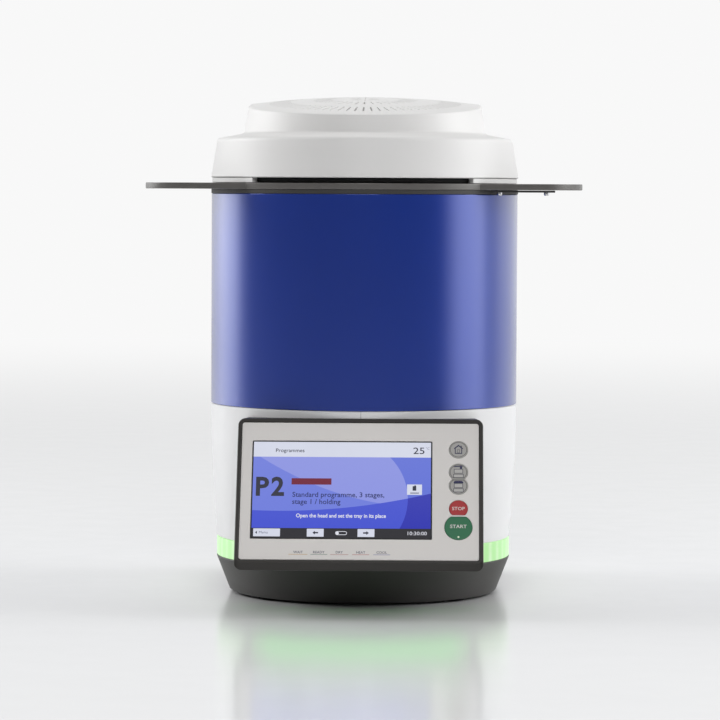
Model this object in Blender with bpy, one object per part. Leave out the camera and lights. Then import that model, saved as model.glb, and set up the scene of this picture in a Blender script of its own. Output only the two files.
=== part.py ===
"""Bench-top dental furnace with a lifting head, built as an assembly of separate pieces.

Metres, +Z up. The origin lies on the bench under the middle of the furnace, on the axis of the
firing chamber, and the front with its leaning control panel faces -Y.
"""

import math

import bmesh
import bpy
from mathutils import Matrix, Vector

# Clearances shared by the whole assembly
SEAT_GAP = 0.0003
RUNNING_GAP = 0.0005
CUT_OVERRUN = 0.002
SMOOTH_ANGLE = math.radians(35)

# Plan of the body: half round at the front, straight sides, rounded rear corners
BODY_RADIUS = 0.140
REAR_EXTENSION = 0.060
LEAST_CORNER_RADIUS = 0.004
FRONT_STEPS = 28
CORNER_STEPS = 4
ROUND_STEPS = 16
SMALL_ROUND_STEPS = 8

# Rubber feet
FOOT_HEIGHT = 0.002
FOOT_RADIUS = 0.013
FOOT_TOP_RADIUS = 0.011
FRONT_FOOT_INSET = 0.034
FRONT_FOOT_ANGLE = math.radians(49)
REAR_FOOT_INSET = 0.050

# Base tray
BASE_HEIGHT = 0.0322
BASE_BOTTOM_INSET = 0.018
BASE_TOP_INSET = 0.0054
BASE_WALL = 0.003
BASE_FLOOR = 0.003
BASE_BOSS_RADIUS = 0.005
BASE_BOSS_INSET = 0.034
INTAKE_SLOT_COUNT = 9
INTAKE_SLOT_LENGTH = 0.050
INTAKE_SLOT_WIDTH = 0.004
INTAKE_SLOT_PITCH = 0.010
INTAKE_FIELD_Y = 0.030

# Status light ring and the LED strip behind it
LIGHT_HEIGHT = 0.0169
LIGHT_INSET = 0.006
LIGHT_WALL = 0.003
LED_STRIP_THICKNESS = 0.0012
LED_STRIP_HEIGHT = 0.010
LED_STRIP_LIFT = 0.003

# White lower housing, in two halves that meet on the front and rear centre lines
LOWER_HEIGHT = 0.1217
LOWER_TAPER = 0.006
LOWER_REAR_INSET = 0.002
LOWER_WALL = 0.003
LOWER_HEIGHT_SHARES = (0.0, 0.2, 0.45, 0.72, 1.0)
LOWER_TAPER_SHARES = (1.0, 0.66, 0.34, 0.1, 0.0)
SEAM_GAP = 0.0004
CABLE_WINDOW_HALF_WIDTH = 0.060
CABLE_WINDOW_HEIGHT = 0.060
CABLE_WINDOW_DEPTH = 0.060
CABLE_WINDOW_SILL = 0.028

# Rear panel, flush in an opening of the lower housing
REAR_PANEL_HALF_WIDTH = 0.078
REAR_PANEL_MARGIN = 0.002
REAR_PANEL_SILL = 0.010
REAR_PANEL_HEAD = 0.0097
REAR_PANEL_THICKNESS = 0.002

# Chassis plate
CHASSIS_THICKNESS = 0.002
CHASSIS_INSET = 0.014
CHASSIS_LIFT = 0.006

# Upper jacket
JACKET_HEIGHT = 0.191
JACKET_WALL = 0.002

# Body collar and cooling plate with its two wings
COLLAR_THICKNESS = 0.0034
COLLAR_OVERHANG = 0.0003
PLATE_THICKNESS = 0.0055
PLATE_OVERHANG = 0.001
WING_HALF_SPAN = 0.1973
WING_HALF_DEPTH = 0.095
WING_CORNER_RADIUS = 0.052
WING_CORNER_STEPS = 8

# Tray bracket under the right wing
BRACKET_COLLAR_GAP = 0.0024
BRACKET_TIP_MARGIN = 0.026
BRACKET_WIDTH = 0.012
BRACKET_THICKNESS = 0.0018
BRACKET_EDGE = 0.0095
BRACKET_SCREW_INSET = 0.0075
BRACKET_SCREW_HEAD_RADIUS = 0.0024
BRACKET_SCREW_HEAD_HEIGHT = 0.0027

# Firing chamber
SHELF_THICKNESS = 0.003
SHELF_LIFT = 0.021
CHAMBER_RADIUS = 0.050
JACKET_AIR_GAP = 0.021
INSULATION_FLOOR = 0.0315
MOUTH_RING_WIDTH = 0.011
MOUTH_RING_STEP = 0.002
ELEMENT_SHANK_COUNT = 8
ELEMENT_WALL_GAP = 0.009
ELEMENT_ROD_RADIUS = 0.002
ELEMENT_BEND_RISE = 0.012
ELEMENT_FLOOR_GAP = 0.006
ELEMENT_BEND_STEPS = 5
ELEMENT_ROD_STEPS = 6
ELEMENT_TOP_DEPTH = 0.030
TERMINAL_RADIUS = 0.0045
TERMINAL_HEIGHT = 0.009
TERMINAL_DROP = 0.004
TERMINAL_TAIL = 0.003
PEDESTAL_RADIUS = 0.009
PEDESTAL_BORE = 0.005
TABLE_RADIUS = 0.027
TABLE_THICKNESS = 0.006
TABLE_RIM = 0.003
TABLE_RECESS = 0.0015
TABLE_DEPTH = 0.072
SENSOR_RADIUS = 0.0025
SENSOR_DEPTH = 0.050
SENSOR_REACH = 0.006
SENSOR_HEAD_SIZE = 0.014
SENSOR_HEAD_LENGTH = 0.008
POST_RADIUS = 0.005
POST_INSET = 0.036
POST_FRONT_Y = 0.052
POST_REAR_Y = 0.120

# Lift gear behind the chamber
LIFT_AXIS_DEPTH = 0.035
ROD_X = 0.045
ROD_RADIUS = 0.006
SPINDLE_RADIUS = 0.005
FRAME_SIDE_MARGIN = 0.010
FRAME_WEB = 0.004
FRAME_BAR = 0.008
FRAME_BAR_HALF_DEPTH = 0.015
FRAME_WEB_GAP = 0.006
FRAME_TOP_CLEARANCE = 0.003
FRAME_FOOT_HEIGHT = 0.022
CARRIAGE_HEIGHT = 0.034
CARRIAGE_SIDE_WALL = 0.0072
CARRIAGE_HALF_DEPTH = 0.016
CARRIAGE_REST_LIFT = 0.006
BUSH_WALL = 0.003
NUT_RADIUS = 0.010
NUT_FLANGE_RADIUS = 0.014
NUT_FLANGE = 0.003
COLUMN_HALF_WIDTH = 0.050
COLUMN_DEPTH = 0.014
COLUMN_WALL = 0.003
COLUMN_GAP = 0.0003
BEARING_WALL = 0.005
MOTOR_HALF_WIDTH = 0.021
MOTOR_HEIGHT = 0.034
MOTOR_CORNER = 0.004
MOTOR_BOSS_RADIUS = 0.011
MOTOR_BOSS_HEIGHT = 0.002
MOTOR_SHAFT_RADIUS = 0.0025
MOTOR_SHAFT_BORE = 0.0035
COUPLING_RADIUS = 0.009
COUPLING_HEIGHT = 0.012
COUPLING_FLOOR_GAP = 0.004

# Head: sealing ring, shell with a tilted dome, carrier plate and insulating plug
HEAD_RING_HEIGHT = 0.0043
HEAD_RING_INSET = 0.0006
HEAD_RING_WIDTH = 0.006
RING_SLOT_HALF_WIDTH = 0.0987
GASKET_WIDTH = 0.005
SHELL_WALL = 0.003
DRUM_BOTTOM_FLARE = 0.0005
DRUM_HEIGHT = 0.036
DRUM_TAPER = 0.0051
SHOULDER_RADIUS = 0.004
LEDGE_RISE = 0.005
LEDGE_INSET = 0.0297
LEDGE_FILLET = 0.0012
RAISED_TAPER = 0.0038
RIM_RADIUS = 0.0015
DOME_CENTRE_RISE = 0.0315
DOME_CURVE_RADIUS = 0.857
DOME_TILT_SHARE = 0.091
DOME_RING_SHARES = (0.62, 0.30, 0.06)
VENT_SLOT_WIDTH = 0.0016
OUTER_VENT_COUNT = 36
OUTER_VENT_SHARES = (0.645, 0.840)
MIDDLE_VENT_COUNT = 18
MIDDLE_VENT_SHARES = (0.290, 0.455)
CENTRE_VENT_COUNT = 6
CENTRE_VENT_SHARES = (0.058, 0.136)
CARRIER_THICKNESS = 0.003
HEAD_BOSS_RADIUS = 0.006
HEAD_BOSS_INSET = 0.020
HEAD_BOSS_ANGLE = math.radians(29)
HEAD_BOSS_REAR_Y = 0.110
HEAD_SCREW_RADIUS = 0.002
HEAD_SCREW_HEAD_RADIUS = 0.0035
HEAD_SCREW_HEAD_HEIGHT = 0.0025
HEAD_SCREW_REACH = 0.010
PLUG_SEAT_WIDTH = 0.010
PLUG_GAP = 0.003
PLUG_DEPTH = 0.022
PLUG_CHAMFER = 0.003
BAFFLE_RADIUS = 0.088
BAFFLE_HEIGHT = 0.016
BAFFLE_SHEET = 0.0012
BAFFLE_FLANGE = 0.008

# Control panel; across runs to the right, up runs up its slope and out leaves its face
PANEL_WIDTH = 0.2151
PANEL_LEAN = math.radians(30.8)
PANEL_FOOT_LIFT = 0.0125
PANEL_TOP_DROP = 0.0061
PANEL_TOP_REACH = 0.0013
PANEL_CORNER_RADIUS = 0.0062
PANEL_CORNER_STEPS = 4
PANEL_SKIRT_DROP = 0.0066
PANEL_SKIRT_SETBACK = 0.002
PANEL_EDGE = 0.0008
PANEL_RIM = 0.0033
PANEL_LEDGE = 0.0030
PANEL_ROOT_OVERLAP = 0.0103
PANEL_WALL_DRAFT = 0.003
FASCIA_THICKNESS = 0.0025
FASCIA_SINK = 0.0006
FASCIA_GAP = 0.0005
GLASS_SIDE = 0.01335
GLASS_BOTTOM = 0.0237
GLASS_TOP_MARGIN = 0.0217
GLASS_TO_KEYS = 0.0230
GLASS_CORNER = 0.001
GLASS_THICKNESS = 0.0018
GLASS_SINK = 0.0002
MODULE_MARGIN = 0.003
MODULE_THICKNESS = 0.006
KEY_COLUMN_INSET = 0.02165
KEY_GAP = 0.0057
HEAD_KEY_RISE = 0.0067
HEAD_KEY_RADIUS = 0.0081
HEAD_KEY_SPLIT_GAP = 0.0006
STOP_KEY_RADIUS = 0.0080
START_KEY_RADIUS = 0.01195
STOP_KEY_FLAT = 0.0060
START_KEY_FLAT = 0.01005
STOP_START_GAP = 0.0020
KEY_CLEARANCE = 0.00035
KEY_PROUD = 0.0002
KEY_TAIL = 0.0005
KEY_FLANGE = 0.0007
KEY_FLANGE_THICKNESS = 0.0008
KEY_TRAVEL = 0.0005
KEY_STEPS = 18
SWITCH_RADIUS = 0.0018
SWITCH_BODY = 0.0060
SWITCH_BODY_HEIGHT = 0.0012
SWITCH_GAP = 0.0003
KEY_BOARD_THICKNESS = 0.0016
KEY_BOARD_MARGIN = 0.012

# Power inlet with its rocker switch, set in the rear panel
INLET_EDGE = 0.006
INLET_RISE = 0.031
INLET_FLANGE_HALF_WIDTH = 0.026
INLET_FLANGE_HALF_HEIGHT = 0.016
INLET_FLANGE_THICKNESS = 0.002
INLET_BODY_MARGIN = 0.003
INLET_BODY_DEPTH = 0.024
SOCKET_CENTRE = -0.010
SOCKET_HALF_WIDTH = 0.0125
SOCKET_HALF_HEIGHT = 0.0085
SOCKET_DEPTH = 0.016
PIN_HALF_WIDTH = 0.0020
PIN_HALF_THICKNESS = 0.0010
PIN_PITCH = 0.007
PIN_STAGGER = 0.002
SWITCH_CENTRE = 0.0155
ROCKER_HALF_WIDTH = 0.0055
ROCKER_HALF_HEIGHT = 0.0100
ROCKER_WINDOW_DEPTH = 0.012
ROCKER_PROUD = 0.0025
ROCKER_DEPTH = 0.009
ROCKER_TILT = math.radians(7)

# Vacuum hose connector and service port, set in the rear panel
HOSE_EDGE = 0.022
HOSE_DROP = 0.019
HOSE_STEM_RADIUS = 0.006
HOSE_FLANGE_RADIUS = 0.011
HOSE_FLANGE = 0.003
HOSE_BARB_RADIUS = 0.0055
HOSE_NECK_RADIUS = 0.0045
HOSE_BORE = 0.0032
HOSE_BARB_COUNT = 2
HOSE_BARB_LENGTH = 0.0055
HOSE_TAIL = 0.014
PORT_FAN_GAP = 0.006
PORT_DROP = 0.019
PORT_HALF_WIDTH = 0.0072
PORT_HALF_HEIGHT = 0.0035
PORT_WALL = 0.0006
PORT_DEPTH = 0.016
PORT_PROUD = 0.0008
PORT_TONGUE = 0.0010

# Fan in the left half of the rear panel
FAN_EDGE = 0.003
FAN_HALF_SIZE = 0.035
FAN_DEPTH = 0.020
FAN_BORE_WALL = 0.002
FAN_HUB_RADIUS = 0.013
FAN_HUB_DEPTH = 0.011
FAN_TIP_GAP = 0.0015
FAN_BLADE_COUNT = 7
FAN_BLADE_THICKNESS = 0.0012
FAN_BLADE_PITCH = math.radians(38)
FAN_BLADE_TWIST = math.radians(-14)
FAN_BLADE_CHORD = 0.013
FAN_STRUT_COUNT = 4
FAN_STRUT_WIDTH = 0.003
FAN_STRUT_DEPTH = 0.003
FAN_CORNER_RADIUS = 0.004
GRILLE_RING_COUNT = 3
GRILLE_SLOT_WIDTH = 0.0045
GRILLE_STEPS = 4
GRILLE_WEB_ANGLE = math.radians(16)
GRILLE_INNER_RADIUS = 0.008

# Electronics on the chassis plate
SUPPLY_X = 0.014
SUPPLY_Y = -0.030
SUPPLY_WIDTH = 0.072
SUPPLY_DEPTH = 0.110
SUPPLY_HEIGHT = 0.060
SUPPLY_SLOT_COUNT = 8
SUPPLY_SLOT_WIDTH = 0.004
SUPPLY_SLOT_LENGTH = 0.050
SUPPLY_SLOT_DEPTH = 0.003
POWER_BOARD_X = -0.088
POWER_BOARD_Y = -0.030
POWER_BOARD_WIDTH = 0.082
POWER_BOARD_DEPTH = 0.120
BOARD_THICKNESS = 0.0016
BOARD_STANDOFF = 0.005
BOARD_STANDOFF_RADIUS = 0.003
BOARD_EDGE = 0.006
HEAT_SINK_WIDTH = 0.040
HEAT_SINK_DEPTH = 0.060
HEAT_SINK_BASE = 0.004
HEAT_SINK_HEIGHT = 0.028
HEAT_SINK_FIN_COUNT = 7
HEAT_SINK_FIN = 0.002
CAPACITOR_COUNT = 3
CAPACITOR_RADIUS = 0.008
CAPACITOR_HEIGHT = 0.026
CONTROL_BOARD_HALF_WIDTH = 0.062
CONTROL_BOARD_HEIGHT = 0.080
CONTROL_BOARD_SETBACK = 0.052
CHIP_SIZE = 0.016
CHIP_HEIGHT = 0.002
HEADER_HEIGHT = 0.007
HEADER_WIDTH = 0.030

# Plan sizes that follow from the driving ones
REAR_Y = BODY_RADIUS + REAR_EXTENSION
REAR_CORNER_RADIUS = BODY_RADIUS - REAR_PANEL_HALF_WIDTH - REAR_PANEL_MARGIN
REAR_WALL_Y = REAR_Y - LOWER_REAR_INSET
REAR_PANEL_HEIGHT = LOWER_HEIGHT - REAR_PANEL_SILL - REAR_PANEL_HEAD
FAN_X = -REAR_PANEL_HALF_WIDTH + FAN_EDGE + FAN_HALF_SIZE
INLET_X = REAR_PANEL_HALF_WIDTH - INLET_EDGE - INLET_FLANGE_HALF_WIDTH
HOSE_X = REAR_PANEL_HALF_WIDTH - HOSE_EDGE
PORT_X = FAN_X + FAN_HALF_SIZE + PORT_FAN_GAP + PORT_HALF_WIDTH
CONTROL_BOARD_Y = -BODY_RADIUS + CONTROL_BOARD_SETBACK
INSULATION_RADIUS = BODY_RADIUS - JACKET_WALL - JACKET_AIR_GAP
ELEMENT_CIRCLE_RADIUS = CHAMBER_RADIUS - ELEMENT_WALL_GAP
PLUG_RADIUS = CHAMBER_RADIUS - PLUG_GAP
PLUG_FLANGE_RADIUS = CHAMBER_RADIUS + PLUG_SEAT_WIDTH
LIFT_AXIS_Y = REAR_Y - LIFT_AXIS_DEPTH
BUSH_BORE_RADIUS = ROD_RADIUS + RUNNING_GAP + BUSH_WALL + SEAT_GAP
CARRIAGE_HALF_WIDTH = ROD_X + BUSH_BORE_RADIUS + CARRIAGE_SIDE_WALL
FRAME_HALF_WIDTH = CARRIAGE_HALF_WIDTH + FRAME_SIDE_MARGIN
FRAME_WEB_Y = LIFT_AXIS_Y + CARRIAGE_HALF_DEPTH + FRAME_WEB_GAP
COLUMN_REAR_Y = LIFT_AXIS_Y - CARRIAGE_HALF_DEPTH - COLUMN_GAP
COLUMN_FRONT_Y = COLUMN_REAR_Y - COLUMN_DEPTH
DOME_CENTRE_Y = REAR_EXTENSION / 2
DOME_RIM_RADIUS = BODY_RADIUS - LEDGE_INSET - RAISED_TAPER - RIM_RADIUS

# Heights that follow from the stack of pieces
BASE_Z = FOOT_HEIGHT + SEAT_GAP
BASE_TOP_Z = BASE_Z + BASE_HEIGHT
LIGHT_Z = BASE_TOP_Z + SEAT_GAP
LIGHT_TOP_Z = LIGHT_Z + LIGHT_HEIGHT
LOWER_Z = LIGHT_TOP_Z + SEAT_GAP
LOWER_TOP_Z = LOWER_Z + LOWER_HEIGHT
JACKET_Z = LOWER_TOP_Z + SEAT_GAP
JACKET_TOP_Z = JACKET_Z + JACKET_HEIGHT
COLLAR_Z = JACKET_TOP_Z + SEAT_GAP
COLLAR_TOP_Z = COLLAR_Z + COLLAR_THICKNESS
PLATE_Z = COLLAR_TOP_Z + SEAT_GAP
PLATE_TOP_Z = PLATE_Z + PLATE_THICKNESS
HEAD_RING_Z = PLATE_TOP_Z + SEAT_GAP
HEAD_RING_TOP_Z = HEAD_RING_Z + HEAD_RING_HEIGHT
HEAD_Z = HEAD_RING_TOP_Z + SEAT_GAP
CARRIER_TOP_Z = HEAD_Z + CARRIER_THICKNESS
CHASSIS_Z = BASE_TOP_Z + CHASSIS_LIFT
CHASSIS_TOP_Z = CHASSIS_Z + CHASSIS_THICKNESS
SHELF_Z = JACKET_Z + SHELF_LIFT
SHELF_TOP_Z = SHELF_Z + SHELF_THICKNESS
INSULATION_Z = SHELF_TOP_Z + SEAT_GAP
CHAMBER_FLOOR_Z = INSULATION_Z + INSULATION_FLOOR
INSULATION_TOP_Z = COLLAR_Z - SEAT_GAP
TABLE_Z = PLATE_TOP_Z - TABLE_DEPTH - TABLE_THICKNESS
FRAME_Z = SHELF_TOP_Z + SEAT_GAP
FRAME_TOP_Z = COLLAR_Z - FRAME_TOP_CLEARANCE
LOWER_BAR_Z = FRAME_Z + FRAME_FOOT_HEIGHT
LOWER_BAR_TOP_Z = LOWER_BAR_Z + FRAME_BAR
UPPER_BAR_Z = FRAME_TOP_Z - FRAME_BAR
CARRIAGE_Z = LOWER_BAR_TOP_Z + CARRIAGE_REST_LIFT
REAR_PANEL_Z = LOWER_Z + REAR_PANEL_SILL
DOME_CENTRE_Z = HEAD_Z + DRUM_HEIGHT + LEDGE_RISE + DOME_CENTRE_RISE

# Panel sizes that follow from the housing and the panel's edges
PANEL_FOOT_Z = LIGHT_Z + PANEL_FOOT_LIFT
PANEL_LENGTH = (LOWER_TOP_Z - PANEL_TOP_DROP - PANEL_FOOT_Z) / math.cos(PANEL_LEAN)
PANEL_FOOT_Y = -BODY_RADIUS - PANEL_TOP_REACH - PANEL_LENGTH * math.sin(PANEL_LEAN)
KEY_COLUMN = PANEL_WIDTH / 2 - KEY_COLUMN_INSET
GLASS_LEFT = -PANEL_WIDTH / 2 + GLASS_SIDE
GLASS_WIDTH = KEY_COLUMN - GLASS_TO_KEYS - GLASS_LEFT
GLASS_LENGTH = PANEL_LENGTH - GLASS_BOTTOM - GLASS_TOP_MARGIN

# Finishes: colour, roughness and metallic value
WHITE_PAINT = ((0.80, 0.80, 0.81), 0.35, 0.0)
BLUE_PAINT = ((0.016, 0.035, 0.22), 0.30, 0.35)
DARK_GREY = ((0.045, 0.043, 0.040), 0.55, 0.0)
PLATE_GREY = ((0.11, 0.105, 0.10), 0.45, 0.3)
GREEN_LIGHT = ((0.25, 0.95, 0.20), 0.30, 0.0)
BLACK_RUBBER = ((0.015, 0.015, 0.015), 0.80, 0.0)
PALE_FASCIA = ((0.62, 0.60, 0.57), 0.50, 0.0)
DARK_GLASS = ((0.02, 0.03, 0.08), 0.08, 0.0)
STEEL = ((0.55, 0.55, 0.56), 0.30, 1.0)
GALVANISED = ((0.45, 0.46, 0.47), 0.45, 1.0)
CERAMIC_FIBRE = ((0.86, 0.84, 0.80), 0.95, 0.0)
ELEMENT_GREY = ((0.12, 0.11, 0.11), 0.55, 0.6)
BRONZE = ((0.45, 0.28, 0.10), 0.35, 1.0)
GREEN_BOARD = ((0.02, 0.16, 0.07), 0.50, 0.0)
BLACK_PLASTIC = ((0.02, 0.02, 0.021), 0.45, 0.0)
GREY_KEY = ((0.38, 0.39, 0.42), 0.45, 0.0)
RED_KEY = ((0.65, 0.03, 0.04), 0.45, 0.0)
GREEN_KEY = ((0.02, 0.36, 0.13), 0.45, 0.0)


def clear_scene():
    """Start from an empty scene."""
    for thing in list(bpy.data.objects):
        bpy.data.objects.remove(thing)


def make_material(name, finish):
    """Give a piece a material of its own."""
    colour, roughness, metallic = finish
    material = bpy.data.materials.new(name)
    material.use_nodes = True
    shader = material.node_tree.nodes["Principled BSDF"]
    shader.inputs["Base Color"].default_value = (*colour, 1.0)
    shader.inputs["Roughness"].default_value = roughness
    shader.inputs["Metallic"].default_value = metallic
    return material


def add_piece(name, mesh, finish, parent=None, location=None):
    """Turn a bmesh into one named object, faces outward and shaded smooth."""
    bmesh.ops.recalc_face_normals(mesh, faces=mesh.faces)
    data = bpy.data.meshes.new(name)
    mesh.to_mesh(data)
    mesh.free()
    data.shade_smooth()
    data.set_sharp_from_angle(angle=SMOOTH_ANGLE)
    data.materials.append(make_material(name, finish))
    piece = bpy.data.objects.new(name, data)
    bpy.context.scene.collection.objects.link(piece)
    piece.parent = parent
    if location is not None:
        piece.location = location
    return piece


def combine(piece, mesh, operation):
    """Cut a hidden tool from a piece, join it on, or keep only what both share."""
    tool = add_piece(f"{piece.name}_tool_{len(piece.modifiers)}", mesh, DARK_GREY, piece.parent)
    tool.location = piece.location
    tool.hide_render = True
    tool.display_type = "WIRE"
    modifier = piece.modifiers.new(tool.name, "BOOLEAN")
    modifier.operation = operation
    modifier.solver = "EXACT"
    modifier.object = tool


def cut(piece, mesh):
    """Take a tool's shape out of a piece."""
    combine(piece, mesh, "DIFFERENCE")


def arc(centre, radius, start, end, steps):
    """Points of an arc in a plane, both ends included."""
    angles = [start + (end - start) * index / steps for index in range(steps + 1)]
    return [(centre[0] + radius * math.cos(angle), centre[1] + radius * math.sin(angle)) for angle in angles]


def circle(centre, radius, steps=ROUND_STEPS):
    """Points of a full circle in a plane."""
    return arc(centre, radius, 0, 2 * math.pi, steps)[:-1]


def rectangle(low, high):
    """Corners of a rectangle in a plane."""
    return [(low[0], low[1]), (high[0], low[1]), (high[0], high[1]), (low[0], high[1])]


def rounded_rectangle(low, high, radius, steps=PANEL_CORNER_STEPS):
    """Outline of a rectangle with round corners, starting at the lower right one."""
    quarter = math.pi / 2
    points = arc((high[0] - radius, low[1] + radius), radius, -quarter, 0, steps)
    points += arc((high[0] - radius, high[1] - radius), radius, 0, quarter, steps)
    points += arc((low[0] + radius, high[1] - radius), radius, quarter, 2 * quarter, steps)
    points += arc((low[0] + radius, low[1] + radius), radius, 2 * quarter, 3 * quarter, steps)
    return points


def plan_outline(inset, rear_inset=None):
    """The body's plan drawn in by an inset, anticlockwise from its right side."""
    rear_inset = inset if rear_inset is None else rear_inset
    radius = BODY_RADIUS - inset
    corner = max(REAR_CORNER_RADIUS - inset, LEAST_CORNER_RADIUS)
    corner_x = radius - corner
    corner_y = REAR_Y - rear_inset - corner
    points = arc((corner_x, corner_y), corner, 0, math.pi / 2, CORNER_STEPS)
    points += arc((-corner_x, corner_y), corner, math.pi / 2, math.pi, CORNER_STEPS)
    points += arc((0, 0), radius, math.pi, 2 * math.pi, FRONT_STEPS)
    return points


def at_height(outline, z):
    """Lift a plane outline to a height."""
    return [(x, y, z) for x, y in outline]


def facing_rear(outline, y):
    """Stand an outline of (x, z) points upright at a place along Y."""
    return [(x, y, z) for x, z in outline]


def add_rings(mesh, rings, looped=False):
    """Skin a row of point rings into a closed body, capped or joined end to end."""
    loops = [[mesh.verts.new(point) for point in ring] for ring in rings]
    pairs = list(zip(loops, loops[1:]))
    if looped:
        pairs.append((loops[-1], loops[0]))
    for near, far in pairs:
        for index, corner in enumerate(near):
            following = (index + 1) % len(near)
            mesh.faces.new((corner, near[following], far[following], far[index]))
    if not looped:
        mesh.faces.new(loops[0])
        mesh.faces.new(loops[-1])
    return mesh


def add_prism(mesh, outline, bottom, top):
    """An outline extruded upward."""
    return add_rings(mesh, [at_height(outline, bottom), at_height(outline, top)])


def add_box(mesh, low, high):
    """A box between two corners."""
    return add_prism(mesh, rectangle(low[:2], high[:2]), low[2], high[2])


def add_turned(mesh, centre, profile, steps=ROUND_STEPS, looped=False):
    """Turn a profile of (radius, height) points about an upright axis."""
    return add_rings(mesh, [at_height(circle(centre, radius, steps), z) for radius, z in profile], looped)


def add_tube(mesh, centre, inner, outer, bottom, top, steps=ROUND_STEPS):
    """An upright round tube."""
    profile = [(outer, bottom), (outer, top), (inner, top), (inner, bottom)]
    return add_turned(mesh, centre, profile, steps, looped=True)


def new_box(low, high):
    return add_box(bmesh.new(), low, high)


def new_prism(outline, bottom, top):
    return add_prism(bmesh.new(), outline, bottom, top)


def new_disc(centre, radius, bottom, top, steps=ROUND_STEPS):
    return add_prism(bmesh.new(), circle(centre, radius, steps), bottom, top)


def new_shell(outer, inner):
    """A wall between two lists of (outline, height) that run upward."""
    rings = [at_height(outline, z) for outline, z in outer]
    rings += [at_height(outline, z) for outline, z in reversed(inner)]
    return add_rings(bmesh.new(), rings, looped=True)


# Feet, base tray and light ring


def make_rubber_feet():
    front_reach = BODY_RADIUS - FRONT_FOOT_INSET
    front_x = front_reach * math.sin(FRONT_FOOT_ANGLE)
    front_y = -front_reach * math.cos(FRONT_FOOT_ANGLE)
    rear_x = BODY_RADIUS - REAR_FOOT_INSET
    rear_y = REAR_Y - REAR_FOOT_INSET
    places = {
        "foot_front_left": (-front_x, front_y),
        "foot_front_right": (front_x, front_y),
        "foot_rear_left": (-rear_x, rear_y),
        "foot_rear_right": (rear_x, rear_y),
    }
    for name, place in places.items():
        mesh = add_turned(bmesh.new(), place, [(FOOT_RADIUS, 0), (FOOT_TOP_RADIUS, FOOT_HEIGHT)])
        add_piece(name, mesh, BLACK_RUBBER)


def boss_places():
    """Places of the tray's chassis bosses, spread round the tray inside its wall."""
    radius = BODY_RADIUS - BASE_BOSS_INSET
    front = arc((0, 0), radius, math.radians(215), math.radians(325), 2)
    rear_y = REAR_Y - BASE_BOSS_INSET
    return front + [(-radius + BASE_BOSS_INSET, rear_y), (radius - BASE_BOSS_INSET, rear_y)]


def make_base_tray():
    rings = [
        at_height(plan_outline(BASE_BOTTOM_INSET), BASE_Z),
        at_height(plan_outline(BASE_TOP_INSET), BASE_TOP_Z),
        at_height(plan_outline(BASE_TOP_INSET + BASE_WALL), BASE_TOP_Z),
        at_height(plan_outline(BASE_BOTTOM_INSET + BASE_WALL), BASE_Z + BASE_FLOOR),
    ]
    tray = add_piece("base_tray", add_rings(bmesh.new(), rings), DARK_GREY)
    bosses = bmesh.new()
    for place in boss_places():
        add_turned(
            bosses,
            place,
            [(BASE_BOSS_RADIUS, BASE_Z + BASE_FLOOR / 2), (BASE_BOSS_RADIUS, CHASSIS_Z - SEAT_GAP)],
            SMALL_ROUND_STEPS,
        )
    combine(tray, bosses, "UNION")
    slots = bmesh.new()
    for index in range(INTAKE_SLOT_COUNT):
        x = (index - (INTAKE_SLOT_COUNT - 1) / 2) * INTAKE_SLOT_PITCH
        low = (x - INTAKE_SLOT_WIDTH / 2, INTAKE_FIELD_Y, BASE_Z - CUT_OVERRUN)
        high = (x + INTAKE_SLOT_WIDTH / 2, INTAKE_FIELD_Y + INTAKE_SLOT_LENGTH, BASE_Z + BASE_FLOOR + CUT_OVERRUN)
        add_box(slots, low, high)
    cut(tray, slots)


def make_status_light_ring():
    outer = plan_outline(LIGHT_INSET)
    inner = plan_outline(LIGHT_INSET + LIGHT_WALL)
    mesh = new_shell([(outer, LIGHT_Z), (outer, LIGHT_TOP_Z)], [(inner, LIGHT_Z), (inner, LIGHT_TOP_Z)])
    add_piece("status_light_ring", mesh, GREEN_LIGHT)


def make_led_strip():
    inset = LIGHT_INSET + LIGHT_WALL + SEAT_GAP
    outer = plan_outline(inset)
    inner = plan_outline(inset + LED_STRIP_THICKNESS)
    bottom = LIGHT_Z + LED_STRIP_LIFT
    top = bottom + LED_STRIP_HEIGHT
    add_piece("led_strip", new_shell([(outer, bottom), (outer, top)], [(inner, bottom), (inner, top)]), WHITE_PAINT)


# Lower housing and rear panel


def lower_profile(wall):
    """Outlines of the lower housing from bottom to top, drawn in by a wall."""
    levels = []
    for height_share, taper_share in zip(LOWER_HEIGHT_SHARES, LOWER_TAPER_SHARES):
        outline = plan_outline(LOWER_TAPER * taper_share + wall, LOWER_REAR_INSET + wall)
        levels.append((outline, LOWER_Z + LOWER_HEIGHT * height_share))
    return levels


def lower_half(side):
    """One half of the housing wall, cut on the centre line; side is -1 for the left."""
    mesh = new_shell(lower_profile(0), lower_profile(LOWER_WALL))
    geometry = mesh.verts[:] + mesh.edges[:] + mesh.faces[:]
    cut_x = side * SEAM_GAP / 2
    bmesh.ops.bisect_plane(
        mesh,
        geom=geometry,
        plane_co=(cut_x, 0, 0),
        plane_no=(side, 0, 0),
        clear_inner=True,
    )
    bmesh.ops.holes_fill(mesh, edges=[edge for edge in mesh.edges if edge.is_boundary])
    return mesh


def rear_opening(margin):
    """The box that the rear panel's opening takes out of the rear wall."""
    inner_y = REAR_WALL_Y - LOWER_WALL - CUT_OVERRUN
    low = (-REAR_PANEL_HALF_WIDTH + margin, inner_y, REAR_PANEL_Z + margin)
    high = (REAR_PANEL_HALF_WIDTH - margin, REAR_Y + CUT_OVERRUN, REAR_PANEL_Z + REAR_PANEL_HEIGHT - margin)
    return low, high


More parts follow.
